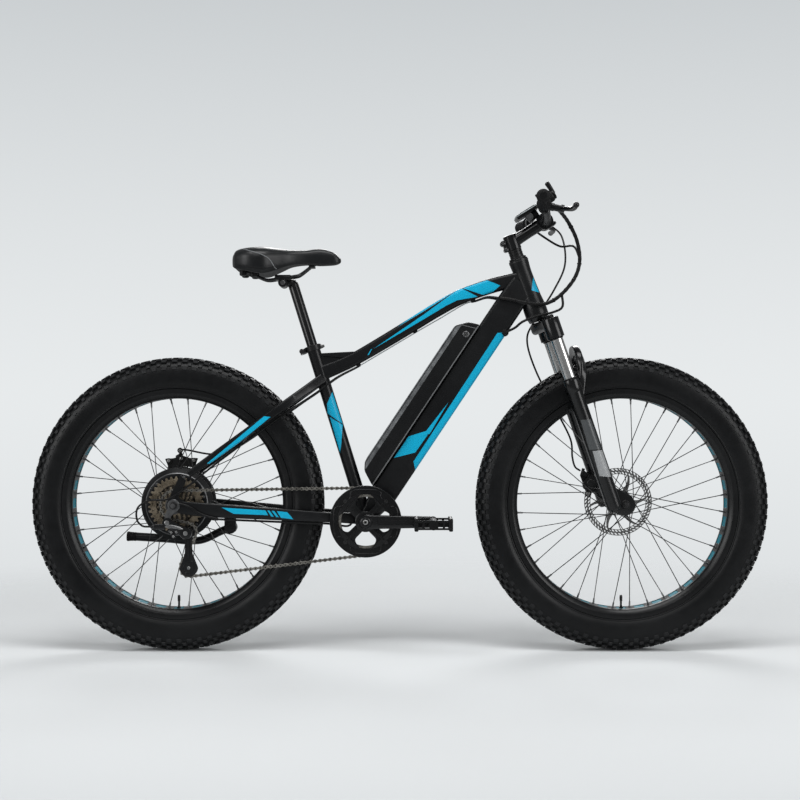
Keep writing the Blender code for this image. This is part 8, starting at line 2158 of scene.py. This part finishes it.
@dataclass
class Battery(Assembly):
    """The battery pack on the down tube: moulded case, hatched strip, edge lines and key lock."""

    outline: tuple[tuple[float, float], ...] = ((0.082, -0.0351), (0.103, -0.0739), (0.123, -0.0861), (0.543, -0.0861),
                                                (0.5685, -0.0626), (0.579, -0.0351))

    def side_view(self, points: Sequence[tuple[float, float]]) -> Array:
        """Points given along the down tube and above it, as (x, z)."""
        return np.array([down_point(a, b)[[0, 2]] for a, b in points])

    def build(self) -> None:
        """Build the case, its hatched strip, the lines along its seam and end, and the lock."""
        ring = self.softened(np.array(self.outline), 0.006)
        case = plate(self.side_view(ring), -0.0368, 0.0368, 0.0036, 4)
        self.add("battery_case", case, BATTERY_CASE, "battery", ("battery",), 28)
        hatch = []
        for sign in (-1.0, 1.0):
            strip = block(down_point(0.335, -0.085, sign * 0.0356), (0.408, 0.0024, 0.004), DOWN_ALONG,
                          unit(-DOWN_BELOW * 0.72 + Y_AXIS * sign * 0.72), 0.0008, 0.0006)
            hatch.append(strip)
            low, high = sorted((sign * 0.0362, sign * 0.0372))
            hatch.append(plate(self.side_view(((0.1075, -0.0735), (0.1225, -0.0826), (0.5425, -0.0826),
                                               (0.552, -0.0735))), low, high, 0.0003))
        self.add("battery_hatched_strip", joined(hatch), HATCHED, "battery")
        seam = [block(down_point(0.33, -0.0366, sign * 0.036), (0.486, 0.003, 0.0024), DOWN_ALONG, Y_AXIS, 0.0003,
                      0.0003) for sign in (-1.0, 1.0)]
        end = [block(down_point(0.5585, -0.056, sign * 0.0366), (0.04, 0.0016, 0.0018),
                     unit(DOWN_ALONG * 0.36 + DOWN_BELOW), Y_AXIS, 0.0004, 0.0004) for sign in (-1.0, 1.0)]
        self.add("battery_edge_lines", joined(seam + end), GREY_PLASTIC, "battery")
        lock_place = vec(0.169, -0.0368, 0.8125)
        lock = turned(mm((5, 0), (8.2, 0.2), (8.2, 1.2), (7, 1.8), (5.8, 1.6), (5, 0.8), (2, 0.8)), lock_place, -Y_AXIS,
                      32)
        slot = block(lock_place - Y_AXIS * 0.0012, (0.006, 0.0012, 0.0012), DOWN_ALONG, Y_AXIS, 0.0003, 0.0002)
        self.add("battery_lock", lock, DULL_STEEL, "battery")
        self.add("battery_lock_slot", slot, SMOOTH_PLASTIC, "battery")

    @staticmethod
    def softened(outline: Array, radius: float) -> Array:
        """The outline with each corner replaced by a parabola between points radius away from it."""
        before = outline + unit(np.roll(outline, 1, axis=0) - outline) * radius
        after = outline + unit(np.roll(outline, -1, axis=0) - outline) * radius
        t = np.linspace(0.0, 1.0, 6)[:, None, None]
        bend = before * (1 - t) ** 2 + outline * 2 * t * (1 - t) + after * t ** 2
        return bend.transpose(1, 0, 2).reshape(-1, 2)


@dataclass
class Studio:
    """The pale floor and surround, the soft lamps and the camera."""

    eye: tuple[float, float, float] = (0.0, -3.9, 0.644)
    lens: float = 67.9
    surround: Colour = (0.8, 0.825, 0.835)
    upper: Colour = (0.5, 0.53, 0.55)
    ambient: float = 0.18
    fade: tuple[float, float] = (1.0, 2.6)

    def build(self) -> None:
        """Set up the camera, world, lamps, floor and view transform."""
        self.camera()
        self.world()
        self.lamps()
        self.floor()
        bpy.context.scene.view_settings.view_transform = "Standard"

    def camera(self) -> None:
        """A level camera on the drive side, square to the bicycle."""
        data = bpy.data.cameras.new("camera")
        data.lens = self.lens
        data.sensor_width = 36.0
        data.clip_end = 60.0
        item = bpy.data.objects.new("camera", data)
        item.location = self.eye
        item.rotation_euler = (math.pi / 2, 0.0, 0.0)
        bpy.context.scene.collection.objects.link(item)
        bpy.context.scene.camera = item

    def world(self) -> None:
        """A surround that shows pale to the camera and in reflections, and lights the rest softly.

        Its tone falls from the horizon up by the direction's height.
        """
        world = bpy.data.worlds.new("surround")
        bpy.context.scene.world = world
        world.use_nodes = True
        tree = world.node_tree
        ground = tree.nodes["Background"]
        place = tree.nodes.new("ShaderNodeTexCoord")
        split = made_node(tree, "ShaderNodeSeparateXYZ", {0: place.outputs["Generated"]})
        height = math_node(tree, "POWER", math_node(tree, "ABSOLUTE", split.outputs[2]), 1.4)
        share = math_node(tree, "MULTIPLY", height, 4.6, clamp=True)
        seen = made_node(tree, "ShaderNodeBackground", {"Color": mix_colour(tree, share, self.surround, self.upper),
                                                        "Strength": 1.0})
        feed(tree, ground, {"Color": (1.0, 1.0, 1.0, 1.0), "Strength": self.ambient})
        path = tree.nodes.new("ShaderNodeLightPath")
        rays = math_node(tree, "MAXIMUM", math_node(tree, "MAXIMUM", path.outputs["Is Camera Ray"],
                                                    path.outputs["Is Transmission Ray"]),
                         math_node(tree, "MULTIPLY", path.outputs["Is Glossy Ray"], 0.22))
        mix = made_node(tree, "ShaderNodeMixShader", {0: rays, 1: ground.outputs[0], 2: seen.outputs[0]})
        feed(tree, tree.nodes["World Output"], {"Surface": mix.outputs[0]})

    def lamps(self) -> None:
        """Soft boxes: one above, two tall strips at the camera's sides, one high behind it, one behind."""
        for name, place, target, size, power in (("lamp_above", (0.0, -1.2, 3.9), (0.0, 0.0, 0.5), (3.2, 1.3), 92.0),
                                                 ("strip_left", (-3.3, -2.4, 1.7), (0.0, 0.0, 0.6), (2.0, 2.8), 84.0),
                                                 ("strip_right", (3.3, -2.4, 1.7), (0.0, 0.0, 0.6), (2.0, 2.8), 84.0),
                                                 ("lamp_front", (-0.6, -4.6, 4.2), (0.0, 0.0, 0.5), (1.6, 1.0), 24.0),
                                                 ("lamp_behind", (0.6, 3.8, 3.0), (0.0, 0.0, 0.6), (2.6, 1.6), 95.0)):
            data = bpy.data.lights.new(name, "AREA")
            data.shape = "RECTANGLE"
            data.size, data.size_y = size
            data.energy = power
            item = bpy.data.objects.new(name, data)
            back = unit(np.array(place) - np.array(target))
            wide = unit(np.cross(Z_AXIS, back))
            matrix = np.eye(4)
            matrix[:3, :3] = np.stack((wide, np.cross(back, wide), back), axis=1)
            matrix[:3, 3] = place
            item.matrix_world = Matrix(matrix.tolist())
            bpy.context.scene.collection.objects.link(item)

    def floor(self) -> None:
        """A round floor whose tone fades into the surround with distance, so no edge shows.

        Points: rings of growing radius round the middle; share = a smooth step between the two
        distances of fade.
        """
        radii = np.concatenate(([0.02], np.linspace(0.3, 6.0, 20)))
        rows = np.stack([np.column_stack((circle(96) * radius, np.zeros(96))) for radius in radii])
        grid = skin(rows, capped=False)
        first, second, third = grid.points[grid.quads[0, :3]]
        if np.cross(second - first, third - first)[2] < 0:
            grid.quads = grid.quads[:, ::-1]
        grid.lids = [list(range(96))]
        mesh = bpy.data.meshes.new("floor")
        mesh.from_pydata(grid.points.tolist(), [], grid.quads.tolist() + grid.lids)
        mesh.materials.append(self.floor_material())
        item = bpy.data.objects.new("floor", mesh)
        bpy.context.scene.collection.objects.link(item)

    def floor_material(self) -> bpy.types.Material:
        """The floor's material: pale and matt near the bicycle, clear towards its rim."""
        made = bpy.data.materials.new("pale_floor")
        made.use_nodes = True
        tree = made.node_tree
        shader = tree.nodes["Principled BSDF"]
        feed(tree, shader, {"Roughness": 0.9, "Specular IOR Level": 0.1, "Base Color": (0.645, 0.665, 0.675, 1.0)})
        length = made_node(tree, "ShaderNodeVectorMath", {0: object_place(tree)}, operation="LENGTH")
        share = made_node(tree, "ShaderNodeMapRange", {"Value": length.outputs["Value"], "From Min": self.fade[0],
                                                       "From Max": self.fade[1]}, interpolation_type="SMOOTHSTEP")
        clear = tree.nodes.new("ShaderNodeBsdfTransparent")
        mix = made_node(tree, "ShaderNodeMixShader", {0: share.outputs[0], 1: shader.outputs[0], 2: clear.outputs[0]})
        feed(tree, tree.nodes["Material Output"], {"Surface": mix.outputs[0]})
        return made


def main() -> None:
    """Build every sub-assembly in order, and log how many pieces and faces were made."""
    logging.basicConfig(level=logging.INFO, format="%(name)s %(message)s")
    shop = Workshop()
    Studio().build()
    Wheel(shop, "front", FRONT_AXLE, 0.03, 0.034, 60.0, 0.0525).build()
    Wheel(shop, "rear", REAR_AXLE, 0.0925, 0.03, 20.0, 0.066).build()
    FrontHub(shop).build()
    HubMotor(shop).build()
    MainFrame(shop).build()
    Battery(shop).build()
    Kickstand(shop).build()
    Freewheel(shop).build()
    Chain(shop).build()
    Crankset(shop).build()
    Pedal(shop, Side.RIGHT).build()
    Pedal(shop, Side.LEFT).build()
    Derailleur(shop).build()
    Fork(shop).build()
    Cockpit(shop).build()
    Seat(shop).build()
    SeatLever(shop).build()
    LOG.info("%d pieces, %d faces", shop.made, shop.faces)


if __name__ == "__main__":
    main()
